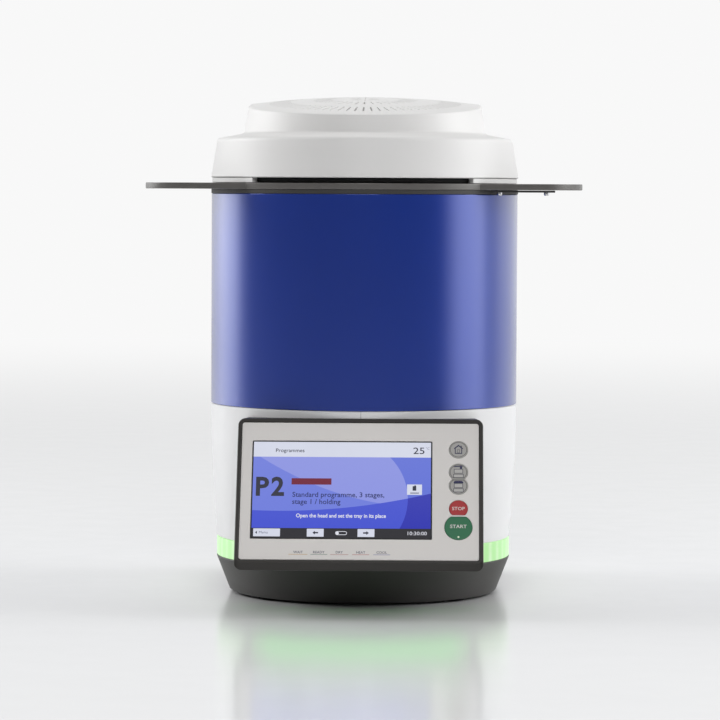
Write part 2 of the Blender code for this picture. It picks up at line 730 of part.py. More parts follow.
def cable_window():
    """The opening behind the control panel that its cables pass through."""
    bottom = LOWER_Z + CABLE_WINDOW_SILL
    low = (-CABLE_WINDOW_HALF_WIDTH, -BODY_RADIUS - CUT_OVERRUN, bottom)
    high = (CABLE_WINDOW_HALF_WIDTH, -BODY_RADIUS + CABLE_WINDOW_DEPTH, bottom + CABLE_WINDOW_HEIGHT)
    return low, high


def make_lower_housing():
    for name, side in (("lower_housing_left", -1), ("lower_housing_right", 1)):
        half = add_piece(name, lower_half(side), WHITE_PAINT)
        cut(half, new_box(*rear_opening(0)))
        cut(half, new_box(*cable_window()))


def fan_centre():
    """Place of the fan's axis in the rear wall, as (x, z)."""
    return FAN_X, REAR_PANEL_Z + REAR_PANEL_HEIGHT / 2


def grille_slots():
    """Curved slots of the fan grille, in rings round the fan's axis."""
    mesh = bmesh.new()
    bore = FAN_HALF_SIZE - FAN_BORE_WALL
    step = (bore - GRILLE_INNER_RADIUS) / GRILLE_RING_COUNT
    inner_y = REAR_WALL_Y - REAR_PANEL_THICKNESS - CUT_OVERRUN
    for ring in range(GRILLE_RING_COUNT):
        middle = GRILLE_INNER_RADIUS + step * (ring + 0.5)
        web = min(GRILLE_WEB_ANGLE * bore / (2 * middle), math.pi / 5)
        for quarter in range(4):
            start = quarter * math.pi / 2 + web / 2
            end = (quarter + 1) * math.pi / 2 - web / 2
            outline = arc(fan_centre(), middle + GRILLE_SLOT_WIDTH / 2, start, end, GRILLE_STEPS)
            outline += arc(fan_centre(), middle - GRILLE_SLOT_WIDTH / 2, end, start, GRILLE_STEPS)
            add_rings(mesh, [facing_rear(outline, inner_y), facing_rear(outline, REAR_WALL_Y + CUT_OVERRUN)])
    return mesh


def wall_hole(outline):
    """A hole of the given (x, z) outline through the rear panel."""
    inner_y = REAR_WALL_Y - REAR_PANEL_THICKNESS - CUT_OVERRUN
    return add_rings(bmesh.new(), [facing_rear(outline, inner_y), facing_rear(outline, REAR_WALL_Y + CUT_OVERRUN)])


def make_rear_panel():
    low, high = rear_opening(SEAM_GAP)
    outline = rectangle((low[0], low[2]), (high[0], high[2]))
    rings = [facing_rear(outline, REAR_WALL_Y - REAR_PANEL_THICKNESS), facing_rear(outline, REAR_WALL_Y)]
    panel = add_piece("rear_panel", add_rings(bmesh.new(), rings), GALVANISED)
    cut(panel, grille_slots())
    cut(panel, wall_hole(inlet_body_outline(SEAT_GAP)))
    cut(panel, wall_hole(circle(hose_centre(), HOSE_STEM_RADIUS + SEAT_GAP)))
    cut(panel, wall_hole(port_outline(SEAT_GAP)))


# Rear fittings: power inlet, switch, hose connector, service port and fan


def inlet_body_outline(margin):
    """Outline of the inlet's body in the rear wall, grown by a margin."""
    half_width = INLET_FLANGE_HALF_WIDTH - INLET_BODY_MARGIN + margin
    half_height = INLET_FLANGE_HALF_HEIGHT - INLET_BODY_MARGIN + margin
    z = REAR_PANEL_Z + INLET_RISE
    return rectangle((INLET_X - half_width, z - half_height), (INLET_X + half_width, z + half_height))


def rear_box(centre_x, centre_z, half_width, half_height, front_y, back_y):
    """A box standing in the rear wall, given by its centre and reach."""
    low = (centre_x - half_width, front_y, centre_z - half_height)
    high = (centre_x + half_width, back_y, centre_z + half_height)
    return low, high


def make_power_inlet():
    z = REAR_PANEL_Z + INLET_RISE
    face_y = REAR_WALL_Y + SEAT_GAP + INLET_FLANGE_THICKNESS
    flange = rear_box(INLET_X, z, INLET_FLANGE_HALF_WIDTH, INLET_FLANGE_HALF_HEIGHT, REAR_WALL_Y + SEAT_GAP, face_y)
    inlet = add_piece("power_inlet", new_box(*flange), BLACK_PLASTIC)
    body = inlet_body_outline(0)
    rings = [facing_rear(body, face_y - INLET_BODY_DEPTH), facing_rear(body, face_y - INLET_FLANGE_THICKNESS / 2)]
    combine(inlet, add_rings(bmesh.new(), rings), "UNION")
    socket_x = INLET_X + SOCKET_CENTRE
    floor_y = face_y - SOCKET_DEPTH
    socket = rear_box(socket_x, z, SOCKET_HALF_WIDTH, SOCKET_HALF_HEIGHT, floor_y, face_y + CUT_OVERRUN)
    cut(inlet, new_box(*socket))
    window = rear_box(
        INLET_X + SWITCH_CENTRE,
        z,
        ROCKER_HALF_WIDTH + RUNNING_GAP,
        ROCKER_HALF_HEIGHT + RUNNING_GAP,
        face_y - ROCKER_WINDOW_DEPTH,
        face_y + CUT_OVERRUN,
    )
    cut(inlet, new_box(*window))
    pins = bmesh.new()
    for index in (-1, 0, 1):
        rise = PIN_STAGGER if index == 0 else -PIN_STAGGER / 2
        pin = rear_box(
            socket_x + index * PIN_PITCH,
            z + rise,
            PIN_HALF_THICKNESS,
            PIN_HALF_WIDTH,
            floor_y - CUT_OVERRUN,
            face_y - PIN_STAGGER,
        )
        add_box(pins, *pin)
    combine(inlet, pins, "UNION")


def rocker_hinge():
    """Centre of the switch rocker's hinge pin."""
    face_y = REAR_WALL_Y + SEAT_GAP + INLET_FLANGE_THICKNESS
    return INLET_X + SWITCH_CENTRE, face_y - ROCKER_PROUD, REAR_PANEL_Z + INLET_RISE


def make_power_switch_rocker():
    """A rocker with a shallow V face and a narrow root that swings in the window."""
    top = ROCKER_HALF_HEIGHT - RUNNING_GAP
    profile = [
        (-top, ROCKER_PROUD + ROCKER_PROUD / 2),
        (0, ROCKER_PROUD / 2),
        (top, ROCKER_PROUD + ROCKER_PROUD / 2),
        (top, -ROCKER_PROUD / 2),
        (top / 2, -ROCKER_DEPTH + ROCKER_PROUD),
        (-top / 2, -ROCKER_DEPTH + ROCKER_PROUD),
        (-top, -ROCKER_PROUD / 2),
    ]
    half_width = ROCKER_HALF_WIDTH
    rings = [[(x, y, z) for z, y in profile] for x in (-half_width, half_width)]
    rocker = add_piece(
        "power_switch_rocker", add_rings(bmesh.new(), rings), BLACK_PLASTIC, location=rocker_hinge()
    )
    rocker.rotation_euler = (-ROCKER_TILT, 0, 0)


def hose_centre():
    """Place of the hose connector in the rear wall, as (x, z)."""
    return HOSE_X, REAR_PANEL_Z + REAR_PANEL_HEIGHT - HOSE_DROP


def make_vacuum_connector():
    """A barbed hose tail turned about its own axis, with a flange against the rear panel."""
    flange_y = REAR_WALL_Y + SEAT_GAP
    profile = [(HOSE_STEM_RADIUS, REAR_WALL_Y - HOSE_TAIL), (HOSE_STEM_RADIUS, flange_y)]
    profile += [(HOSE_FLANGE_RADIUS, flange_y), (HOSE_FLANGE_RADIUS, flange_y + HOSE_FLANGE)]
    start = flange_y + HOSE_FLANGE
    for index in range(HOSE_BARB_COUNT):
        barb_y = start + index * HOSE_BARB_LENGTH
        profile += [(HOSE_NECK_RADIUS, barb_y), (HOSE_BARB_RADIUS, barb_y + HOSE_BARB_LENGTH / 4)]
    end = start + HOSE_BARB_COUNT * HOSE_BARB_LENGTH
    profile += [(HOSE_NECK_RADIUS, end), (HOSE_BORE, end), (HOSE_BORE, REAR_WALL_Y - HOSE_TAIL)]
    rings = [facing_rear(circle(hose_centre(), radius), y) for radius, y in profile]
    add_piece("vacuum_connector", add_rings(bmesh.new(), rings, looped=True), STEEL)


def port_height():
    return REAR_PANEL_Z + REAR_PANEL_HEIGHT - PORT_DROP


def port_outline(margin):
    """Outline of the service port in the rear wall, grown by a margin."""
    z = port_height()
    low = (PORT_X - PORT_HALF_WIDTH - margin, z - PORT_HALF_HEIGHT - margin)
    high = (PORT_X + PORT_HALF_WIDTH + margin, z + PORT_HALF_HEIGHT + margin)
    return rectangle(low, high)


def make_service_port():
    face_y = REAR_WALL_Y + PORT_PROUD
    inner_y = face_y - PORT_DEPTH
    rings = [facing_rear(port_outline(0), inner_y), facing_rear(port_outline(0), face_y)]
    port = add_piece("service_port", add_rings(bmesh.new(), rings), STEEL)
    hollow = port_outline(-PORT_WALL)
    rings = [facing_rear(hollow, inner_y + PORT_WALL), facing_rear(hollow, face_y + CUT_OVERRUN)]
    cut(port, add_rings(bmesh.new(), rings))
    tongue = rear_box(
        PORT_X,
        port_height() + PORT_TONGUE,
        PORT_HALF_WIDTH - PORT_WALL - PORT_TONGUE,
        PORT_TONGUE / 2,
        inner_y + PORT_WALL / 2,
        face_y - PORT_TONGUE,
    )
    combine(port, new_box(*tongue), "UNION")


def fan_front_y():
    return REAR_WALL_Y - REAR_PANEL_THICKNESS - SEAT_GAP - FAN_DEPTH


def make_fan_housing():
    x, z = fan_centre()
    low = (x - FAN_HALF_SIZE, z - FAN_HALF_SIZE)
    high = (x + FAN_HALF_SIZE, z + FAN_HALF_SIZE)
    back_y = fan_front_y() + FAN_DEPTH
    outline = rounded_rectangle(low, high, FAN_CORNER_RADIUS)
    rings = [facing_rear(outline, fan_front_y()), facing_rear(outline, back_y)]
    housing = add_piece("fan_housing", add_rings(bmesh.new(), rings), BLACK_PLASTIC)
    bore = circle((x, z), FAN_HALF_SIZE - FAN_BORE_WALL)
    rings = [facing_rear(bore, fan_front_y() - CUT_OVERRUN), facing_rear(bore, back_y + CUT_OVERRUN)]
    cut(housing, add_rings(bmesh.new(), rings))
    strut_y = back_y - FAN_STRUT_DEPTH
    hub = circle((x, z), FAN_HUB_RADIUS)
    combine(housing, add_rings(bmesh.new(), [facing_rear(hub, strut_y), facing_rear(hub, back_y)]), "UNION")
    reach = FAN_HALF_SIZE - FAN_BORE_WALL / 2
    struts = bmesh.new()
    for index in range(FAN_STRUT_COUNT):
        turn = Matrix.Rotation(2 * math.pi * index / FAN_STRUT_COUNT + math.pi / 4, 4, "Y")
        corners = rectangle((FAN_HUB_RADIUS / 2, -FAN_STRUT_WIDTH / 2), (reach, FAN_STRUT_WIDTH / 2))
        strut_rings = []
        for y in (strut_y, back_y):
            turned = [turn @ Matrix.Translation((a, 0, b)).to_translation() for a, b in corners]
            strut_rings.append([(point.x + x, y, point.z + z) for point in turned])
        add_rings(struts, strut_rings)
    combine(housing, struts, "UNION")


def blade_rings(angle):
    """Sections of one fan blade from its root in the hub to its tip."""
    root = FAN_HUB_RADIUS - FAN_BLADE_THICKNESS
    tip = FAN_HALF_SIZE - FAN_BORE_WALL - FAN_TIP_GAP
    rings = []
    for share in (0.0, 0.5, 1.0):
        radius = root + (tip - root) * share
        pitch = FAN_BLADE_PITCH + FAN_BLADE_TWIST * share
        half_chord = FAN_BLADE_CHORD / 2
        half_thickness = FAN_BLADE_THICKNESS / 2
        section = []
        for along, across in rectangle((-half_chord, -half_thickness), (half_chord, half_thickness)):
            sideways = along * math.cos(pitch) - across * math.sin(pitch)
            axial = along * math.sin(pitch) + across * math.cos(pitch)
            local = Matrix.Rotation(angle, 4, "Z") @ Matrix.Translation((radius, sideways, axial))
            section.append(tuple(local.to_translation()))
        rings.append(section)
    return rings


def make_fan_rotor():
    """Hub and blades modelled about Z, then laid so that the axis runs along Y."""
    half = FAN_HUB_DEPTH / 2
    rotor = add_piece("fan_rotor", new_disc((0, 0), FAN_HUB_RADIUS, -half, half), BLACK_PLASTIC)
    blades = bmesh.new()
    for index in range(FAN_BLADE_COUNT):
        add_rings(blades, blade_rings(2 * math.pi * index / FAN_BLADE_COUNT))
    combine(rotor, blades, "UNION")
    x, z = fan_centre()
    y = fan_front_y() + FAN_DEPTH - FAN_STRUT_DEPTH - SEAT_GAP - half
    for thing in (rotor, rotor.modifiers[0].object):
        thing.location = (x, y, z)
        thing.rotation_euler = (math.pi / 2, 0, 0)


# Chassis and electronics


def make_chassis_plate():
    plate = add_piece(
        "chassis_plate", new_prism(plan_outline(CHASSIS_INSET), CHASSIS_Z, CHASSIS_TOP_Z), GALVANISED
    )
    low = (
        -INTAKE_SLOT_PITCH * INTAKE_SLOT_COUNT / 2,
        INTAKE_FIELD_Y + INTAKE_SLOT_LENGTH,
        CHASSIS_Z - CUT_OVERRUN,
    )
    high = (-low[0], low[1] + INTAKE_SLOT_LENGTH / 2, CHASSIS_TOP_Z + CUT_OVERRUN)
    cut(plate, new_box(low, high))


def make_power_supply():
    bottom = CHASSIS_TOP_Z + SEAT_GAP
    high = (SUPPLY_X + SUPPLY_WIDTH, SUPPLY_Y + SUPPLY_DEPTH, bottom + SUPPLY_HEIGHT)
    supply = add_piece("power_supply", new_box((SUPPLY_X, SUPPLY_Y, bottom), high), GALVANISED)
    slots = bmesh.new()
    pitch = SUPPLY_DEPTH / (SUPPLY_SLOT_COUNT + 1)
    for index in range(SUPPLY_SLOT_COUNT):
        y = SUPPLY_Y + pitch * (index + 1)
        x = SUPPLY_X + SUPPLY_WIDTH / 2
        low = (x - SUPPLY_SLOT_LENGTH / 2, y - SUPPLY_SLOT_WIDTH / 2, high[2] - SUPPLY_SLOT_DEPTH)
        add_box(slots, low, (x + SUPPLY_SLOT_LENGTH / 2, y + SUPPLY_SLOT_WIDTH / 2, high[2] + CUT_OVERRUN))
    cut(supply, slots)


def add_heat_sink(mesh, corner):
    """A finned heat sink bonded to the power board, drawn as one comb-shaped outline."""
    x, y, z = corner
    pitch = (HEAT_SINK_WIDTH - HEAT_SINK_FIN) / (HEAT_SINK_FIN_COUNT - 1)
    outline = [(x, z), (x + HEAT_SINK_WIDTH, z)]
    for index in reversed(range(HEAT_SINK_FIN_COUNT)):
        left = x + pitch * index
        outline += [(left + HEAT_SINK_FIN, z + HEAT_SINK_HEIGHT), (left, z + HEAT_SINK_HEIGHT)]
        if index:
            right_of_next = left - pitch + HEAT_SINK_FIN
            outline += [(left, z + HEAT_SINK_BASE), (right_of_next, z + HEAT_SINK_BASE)]
    add_rings(mesh, [facing_rear(outline, y), facing_rear(outline, y + HEAT_SINK_DEPTH)])


def make_power_board():
    """The power board with what is soldered to it: stand-offs, heat sink and capacitors."""
    bottom = CHASSIS_TOP_Z + SEAT_GAP
    board_z = bottom + BOARD_STANDOFF
    overlap = BOARD_THICKNESS / 2
    low = (POWER_BOARD_X, POWER_BOARD_Y)
    high = (POWER_BOARD_X + POWER_BOARD_WIDTH, POWER_BOARD_Y + POWER_BOARD_DEPTH)
    board = add_piece("power_board", new_box((*low, board_z), (*high, board_z + BOARD_THICKNESS)), GREEN_BOARD)
    legs = bmesh.new()
    for x in (low[0] + BOARD_EDGE, high[0] - BOARD_EDGE):
        for y in (low[1] + BOARD_EDGE, high[1] - BOARD_EDGE):
            profile = [(BOARD_STANDOFF_RADIUS, bottom), (BOARD_STANDOFF_RADIUS, board_z + overlap)]
            add_turned(legs, (x, y), profile, SMALL_ROUND_STEPS)
    combine(board, legs, "UNION")
    parts = bmesh.new()
    top = board_z + overlap
    add_heat_sink(parts, (low[0] + BOARD_EDGE, low[1] + BOARD_EDGE, top))
    for index in range(CAPACITOR_COUNT):
        y = low[1] + BOARD_EDGE + CAPACITOR_RADIUS + index * (2 * CAPACITOR_RADIUS + BOARD_EDGE)
        x = high[0] - BOARD_EDGE - CAPACITOR_RADIUS
        add_turned(parts, (x, y), [(CAPACITOR_RADIUS, top), (CAPACITOR_RADIUS, top + CAPACITOR_HEIGHT)])
    combine(board, parts, "UNION")


def make_control_board():
    """The main board with its chips and headers, standing on the chassis behind the panel."""
    bottom = CHASSIS_TOP_Z + SEAT_GAP
    half = CONTROL_BOARD_HALF_WIDTH
    face_y = CONTROL_BOARD_Y + BOARD_THICKNESS
    sheet = new_box((-half, CONTROL_BOARD_Y, bottom), (half, face_y, bottom + CONTROL_BOARD_HEIGHT))
    board = add_piece("control_board", sheet, GREEN_BOARD)
    parts = bmesh.new()
    root_y = face_y - BOARD_THICKNESS / 2
    chip_z = bottom + CONTROL_BOARD_HEIGHT / 2
    for index in (-1, 0, 1):
        x = index * half / 2
        low = (x - CHIP_SIZE / 2, root_y, chip_z - CHIP_SIZE / 2)
        add_box(parts, low, (x + CHIP_SIZE / 2, face_y + CHIP_HEIGHT, chip_z + CHIP_SIZE / 2))
    header_z = bottom + CONTROL_BOARD_HEIGHT - BOARD_EDGE
    for x in (-half + BOARD_EDGE, half - BOARD_EDGE - HEADER_WIDTH):
        low = (x, root_y, header_z - BOARD_EDGE)
        add_box(parts, low, (x + HEADER_WIDTH, face_y + HEADER_HEIGHT, header_z))
    combine(board, parts, "UNION")


# Upper jacket, firing chamber and top plates


def make_upper_jacket():
    outer = plan_outline(0)
    inner = plan_outline(JACKET_WALL)
    mesh = new_shell([(outer, JACKET_Z), (outer, JACKET_TOP_Z)], [(inner, JACKET_Z), (inner, JACKET_TOP_Z)])
    add_piece("upper_jacket", mesh, BLUE_PAINT)


def element_angles():
    """Angles round the chamber of the element's upright shanks, in the order they are joined."""
    step = 2 * math.pi / ELEMENT_SHANK_COUNT
    return [(index + 0.5) * step - math.pi / 2 for index in range(ELEMENT_SHANK_COUNT)]


def element_leg_places():
    """Places of the two shanks that go down through the chamber floor."""
    ends = (element_angles()[0], element_angles()[-1])
    return [(ELEMENT_CIRCLE_RADIUS * math.cos(angle), ELEMENT_CIRCLE_RADIUS * math.sin(angle)) for angle in ends]


def leg_holes(radius, bottom, top):
    """Upright holes for the element's two legs."""
    mesh = bmesh.new()
    for place in element_leg_places():
        add_turned(mesh, place, [(radius, bottom), (radius, top)], SMALL_ROUND_STEPS)
    return mesh


def post_places():
    """Places of the shelf's four legs, inside the housing's side walls."""
    x = BODY_RADIUS - POST_INSET
    return [(-x, -POST_FRONT_Y), (x, -POST_FRONT_Y), (-x, POST_REAR_Y), (x, POST_REAR_Y)]


def make_chamber_shelf():
    """The shelf under the chamber, with four legs that stand on the chassis plate."""
    inset = JACKET_WALL + SEAT_GAP
    shelf = add_piece("chamber_shelf", new_prism(plan_outline(inset), SHELF_Z, SHELF_TOP_Z), GALVANISED)
    legs = bmesh.new()
    for place in post_places():
        profile = [(POST_RADIUS, CHASSIS_TOP_Z + SEAT_GAP), (POST_RADIUS, SHELF_Z + SHELF_THICKNESS / 2)]
        add_turned(legs, place, profile, SMALL_ROUND_STEPS)
    combine(shelf, legs, "UNION")
    bottom = SHELF_Z - CUT_OVERRUN
    top = SHELF_TOP_Z + CUT_OVERRUN
    cut(shelf, leg_holes(TERMINAL_RADIUS, bottom, top))
    cut(shelf, new_disc((0, LIFT_AXIS_Y), MOTOR_BOSS_RADIUS + SEAT_GAP, bottom, top))


def make_insulation():
    floor = add_piece(
        "insulation_floor",
        new_disc((0, 0), INSULATION_RADIUS, INSULATION_Z, CHAMBER_FLOOR_Z, 2 * ROUND_STEPS),
        CERAMIC_FIBRE,
    )
    bottom = INSULATION_Z - CUT_OVERRUN
    top = CHAMBER_FLOOR_Z + CUT_OVERRUN
    cut(floor, leg_holes(ELEMENT_ROD_RADIUS + SEAT_GAP, bottom, top))
    cut(floor, new_disc((0, 0), PEDESTAL_RADIUS + SEAT_GAP, bottom, top))
    ring = bmesh.new()
    ring_z = CHAMBER_FLOOR_Z + SEAT_GAP
    add_tube(ring, (0, 0), CHAMBER_RADIUS, INSULATION_RADIUS, ring_z, INSULATION_TOP_Z, 2 * ROUND_STEPS)
    wall = add_piece("insulation_wall", ring, CERAMIC_FIBRE)
    hole = circle((0, sensor_height()), SENSOR_RADIUS + SEAT_GAP, SMALL_ROUND_STEPS)
    rings = [facing_rear(hole, CHAMBER_RADIUS / 2), facing_rear(hole, INSULATION_RADIUS + CUT_OVERRUN)]
    cut(wall, add_rings(bmesh.new(), rings))


def element_path():
    """Middle line of the meandering element: up one shank, over, down the next, and round again."""
    top = INSULATION_TOP_Z - ELEMENT_TOP_DEPTH
    low = CHAMBER_FLOOR_Z + ELEMENT_FLOOR_GAP
    bottom = SHELF_Z - TERMINAL_DROP - TERMINAL_HEIGHT
    angles = element_angles()
    half_step = (angles[1] - angles[0]) / 2
    points = [(angles[0], bottom)]
    for index, (here, following) in enumerate(zip(angles, angles[1:])):
        middle = (here + following) / 2
        upward = index % 2 == 0
        level = top if upward else low
        rise = ELEMENT_BEND_RISE if upward else -ELEMENT_BEND_RISE
        for step in range(ELEMENT_BEND_STEPS + 1):
            turn = math.pi * step / ELEMENT_BEND_STEPS
            points.append((middle - half_step * math.cos(turn), level - rise + rise * math.sin(turn)))
    points.append((angles[-1], bottom))
    radius = ELEMENT_CIRCLE_RADIUS
    return [(radius * math.cos(angle), radius * math.sin(angle), z) for angle, z in points]


def make_heating_element():
    """One meandering element on the chamber's wall, with a clamp on each of its two ends."""
    path = [Vector(point) for point in element_path()]
    rings = []
    for index, point in enumerate(path):
        before = path[max(index - 1, 0)]
        after = path[min(index + 1, len(path) - 1)]
        along = (after - before).normalized()
        outward = Vector((point.x, point.y, 0)).normalized()
        outward = (outward - outward.dot(along) * along).normalized()
        sideways = along.cross(outward)
        section = circle((0, 0), ELEMENT_ROD_RADIUS, ELEMENT_ROD_STEPS)
        rings.append([tuple(point + outward * a + sideways * b) for a, b in section])
    element = add_piece("heating_element", add_rings(bmesh.new(), rings), ELEMENT_GREY)
    clamps = bmesh.new()
    top = SHELF_Z - TERMINAL_DROP
    bottom = top - TERMINAL_HEIGHT
    for place in element_leg_places():
        profile = [(TERMINAL_RADIUS, bottom - TERMINAL_TAIL), (TERMINAL_RADIUS, top)]
        add_turned(clamps, place, profile, SMALL_ROUND_STEPS)
    combine(element, clamps, "UNION")


def make_firing_table():
    """The dished table on its hollow stem, turned in one piece."""
    top = TABLE_Z + TABLE_THICKNESS
    profile = [
        (PEDESTAL_BORE, INSULATION_Z),
        (PEDESTAL_RADIUS, INSULATION_Z),
        (PEDESTAL_RADIUS, TABLE_Z),
        (TABLE_RADIUS, TABLE_Z),
        (TABLE_RADIUS, top),
        (TABLE_RADIUS - TABLE_RIM, top),
        (TABLE_RADIUS - TABLE_RIM, top - TABLE_RECESS),
        (PEDESTAL_BORE, top - TABLE_RECESS),
    ]
    add_piece("firing_table", add_turned(bmesh.new(), (0, 0), profile, looped=True), CERAMIC_FIBRE)


def sensor_height():
    return INSULATION_TOP_Z - SENSOR_DEPTH


def make_thermocouple():
    """A sheath through the rear of the chamber wall, with its connector head outside."""
    z = sensor_height()
    head_y = INSULATION_RADIUS + SEAT_GAP
    sheath = circle((0, z), SENSOR_RADIUS, SMALL_ROUND_STEPS)
    rings = [facing_rear(sheath, CHAMBER_RADIUS - SENSOR_REACH), facing_rear(sheath, head_y + SENSOR_HEAD_LENGTH / 2)]
    sensor = add_piece("thermocouple", add_rings(bmesh.new(), rings), STEEL)
    half = SENSOR_HEAD_SIZE / 2
    combine(sensor, new_box(*rear_box(0, z, half, half, head_y, head_y + SENSOR_HEAD_LENGTH)), "UNION")


def column_slot(bottom, top):
    """The opening that the lift column passes through."""
    low = (-COLUMN_HALF_WIDTH - RUNNING_GAP, COLUMN_FRONT_Y - RUNNING_GAP, bottom - CUT_OVERRUN)
    high = (COLUMN_HALF_WIDTH + RUNNING_GAP, COLUMN_REAR_Y + RUNNING_GAP, top + CUT_OVERRUN)
    return new_box(low, high)


def mouth_hole(bottom, top):
    """The round opening that seats the mouth ring."""
    radius = CHAMBER_RADIUS + MOUTH_RING_STEP + MOUTH_RING_WIDTH + SEAT_GAP
    return new_disc((0, 0), radius, bottom - CUT_OVERRUN, top + CUT_OVERRUN, 2 * ROUND_STEPS)


def make_body_collar():
    outline = plan_outline(-COLLAR_OVERHANG)
    collar = add_piece("body_collar", new_prism(outline, COLLAR_Z, COLLAR_TOP_Z), DARK_GREY)
    cut(collar, mouth_hole(COLLAR_Z, COLLAR_TOP_Z))
    cut(collar, column_slot(COLLAR_Z, COLLAR_TOP_Z))


def cooling_plate_outline():
    """The body's plan with a wing at each side for hot work to cool on."""
    radius = BODY_RADIUS + PLATE_OVERHANG
    corner = REAR_CORNER_RADIUS + PLATE_OVERHANG
    corner_x = radius - corner
    corner_y = REAR_Y + PLATE_OVERHANG - corner
    meet = math.asin(WING_HALF_DEPTH / radius)
    rounding = min(WING_CORNER_RADIUS, WING_HALF_SPAN - radius)
    tip_x = WING_HALF_SPAN - rounding
    tip_y = WING_HALF_DEPTH - rounding
    quarter = math.pi / 2
    right = arc((tip_x, -tip_y), rounding, -quarter, 0, WING_CORNER_STEPS)
    right += arc((tip_x, tip_y), rounding, 0, quarter, WING_CORNER_STEPS)
    right += [(radius, WING_HALF_DEPTH)]
    right += arc((corner_x, corner_y), corner, 0, quarter, CORNER_STEPS)
    left = [(-x, y) for x, y in reversed(right)]
    front = arc((0, 0), radius, math.pi + meet, 2 * math.pi - meet, FRONT_STEPS // 2)
    return right + left + front


def make_cooling_plate():
    plate = add_piece("cooling_plate", new_prism(cooling_plate_outline(), PLATE_Z, PLATE_TOP_Z), PLATE_GREY)
    cut(plate, mouth_hole(PLATE_Z, PLATE_TOP_Z))
    cut(plate, column_slot(PLATE_Z, PLATE_TOP_Z))


def bracket_outline():
    """Plan of the strip under the right wing; its inner end follows the collar."""
    front_y = -WING_HALF_DEPTH + BRACKET_EDGE
    rear_y = front_y + BRACKET_WIDTH
    reach = BODY_RADIUS + COLLAR_OVERHANG + BRACKET_COLLAR_GAP
    tip_x = WING_HALF_SPAN - BRACKET_TIP_MARGIN
    inner = arc((0, 0), reach, math.asin(rear_y / reach), math.asin(front_y / reach), CORNER_STEPS)
    return [(tip_x, front_y), (tip_x, rear_y)] + inner


def make_tray_bracket():
    """The strip with the heads of its two screws below."""
    outline = bracket_outline()
    top = PLATE_Z - SEAT_GAP
    bottom = top - BRACKET_THICKNESS
    bracket = add_piece("tray_bracket", new_prism(outline, bottom, top), DARK_GREY)
    tip_x = outline[0][0]
    inner_x = outline[-1][0]
    middle_y = (outline[0][1] + outline[1][1]) / 2
    crown = BRACKET_SCREW_HEAD_HEIGHT / 3
    heads = bmesh.new()
    for x in (inner_x + BRACKET_SCREW_INSET, tip_x - BRACKET_SCREW_INSET):
        profile = [
            (BRACKET_SCREW_HEAD_RADIUS - crown, bottom - BRACKET_SCREW_HEAD_HEIGHT),
            (BRACKET_SCREW_HEAD_RADIUS, bottom - BRACKET_SCREW_HEAD_HEIGHT + crown),
            (BRACKET_SCREW_HEAD_RADIUS, bottom + BRACKET_THICKNESS / 2),
        ]
        add_turned(heads, (x, middle_y), profile, SMALL_ROUND_STEPS)
    combine(bracket, heads, "UNION")


def make_chamber_mouth_ring():
    """A stepped ceramic ring that lines the hole in both top plates."""
    bore = CHAMBER_RADIUS + MOUTH_RING_STEP
    outer = bore + MOUTH_RING_WIDTH
    profile = [
        (outer, INSULATION_TOP_Z + SEAT_GAP),
        (outer, PLATE_TOP_Z),
        (bore + MOUTH_RING_STEP, PLATE_TOP_Z),
        (bore, PLATE_TOP_Z - MOUTH_RING_STEP),
        (bore, INSULATION_TOP_Z + SEAT_GAP),
    ]
    add_piece(
        "chamber_mouth_ring",
        add_turned(bmesh.new(), (0, 0), profile, 2 * ROUND_STEPS, looped=True),
        CERAMIC_FIBRE,
    )


# Lift gear


def lift_axis():
    return 0, LIFT_AXIS_Y


def rod_places():
    return [(-ROD_X, LIFT_AXIS_Y), (ROD_X, LIFT_AXIS_Y)]


def make_lift_frame():
    """A C-shaped frame: web at the rear, two bars that hold the rods, foot on the shelf."""
    half = FRAME_HALF_WIDTH
    front_y = LIFT_AXIS_Y - FRAME_BAR_HALF_DEPTH
    web_y = FRAME_WEB_Y
    back_y = FRAME_WEB_Y + FRAME_WEB
    side = [
        (web_y, FRAME_Z),
        (back_y, FRAME_Z),
        (back_y, FRAME_TOP_Z),
        (front_y, FRAME_TOP_Z),
        (front_y, UPPER_BAR_Z),
        (web_y, UPPER_BAR_Z),
        (web_y, LOWER_BAR_TOP_Z),
        (front_y, LOWER_BAR_TOP_Z),
        (front_y, LOWER_BAR_Z),
        (web_y, LOWER_BAR_Z),
    ]
    rings = [[(x, y, z) for y, z in side] for x in (-half, half)]
    frame = add_piece("lift_frame", add_rings(bmesh.new(), rings), GALVANISED)
    holes = bmesh.new()
    bottom = LOWER_BAR_Z - CUT_OVERRUN
    top = FRAME_TOP_Z + CUT_OVERRUN
    for place in rod_places():
        add_turned(holes, place, [(ROD_RADIUS + SEAT_GAP, bottom), (ROD_RADIUS + SEAT_GAP, top)])
    cut(frame, holes)
    bearing = bearing_radius() + SEAT_GAP
    cut(frame, new_disc(lift_axis(), bearing, bottom, LOWER_BAR_TOP_Z + CUT_OVERRUN))
    cut(frame, new_disc(lift_axis(), SPINDLE_RADIUS + RUNNING_GAP, UPPER_BAR_Z - CUT_OVERRUN, top))


def bearing_radius():
    return SPINDLE_RADIUS + RUNNING_GAP + BEARING_WALL


def make_spindle_bearing():
    bore = SPINDLE_RADIUS + RUNNING_GAP
    mesh = add_tube(bmesh.new(), lift_axis(), bore, bearing_radius(), LOWER_BAR_Z, LOWER_BAR_TOP_Z)
    add_piece("spindle_bearing", mesh, STEEL)


def make_guide_rods():
    for name, place in zip(("guide_rod_left", "guide_rod_right"), rod_places()):
        mesh = add_turned(bmesh.new(), place, [(ROD_RADIUS, LOWER_BAR_Z), (ROD_RADIUS, FRAME_TOP_Z)])
        add_piece(name, mesh, STEEL)


def coupling_z():
    return SHELF_TOP_Z + COUPLING_FLOOR_GAP


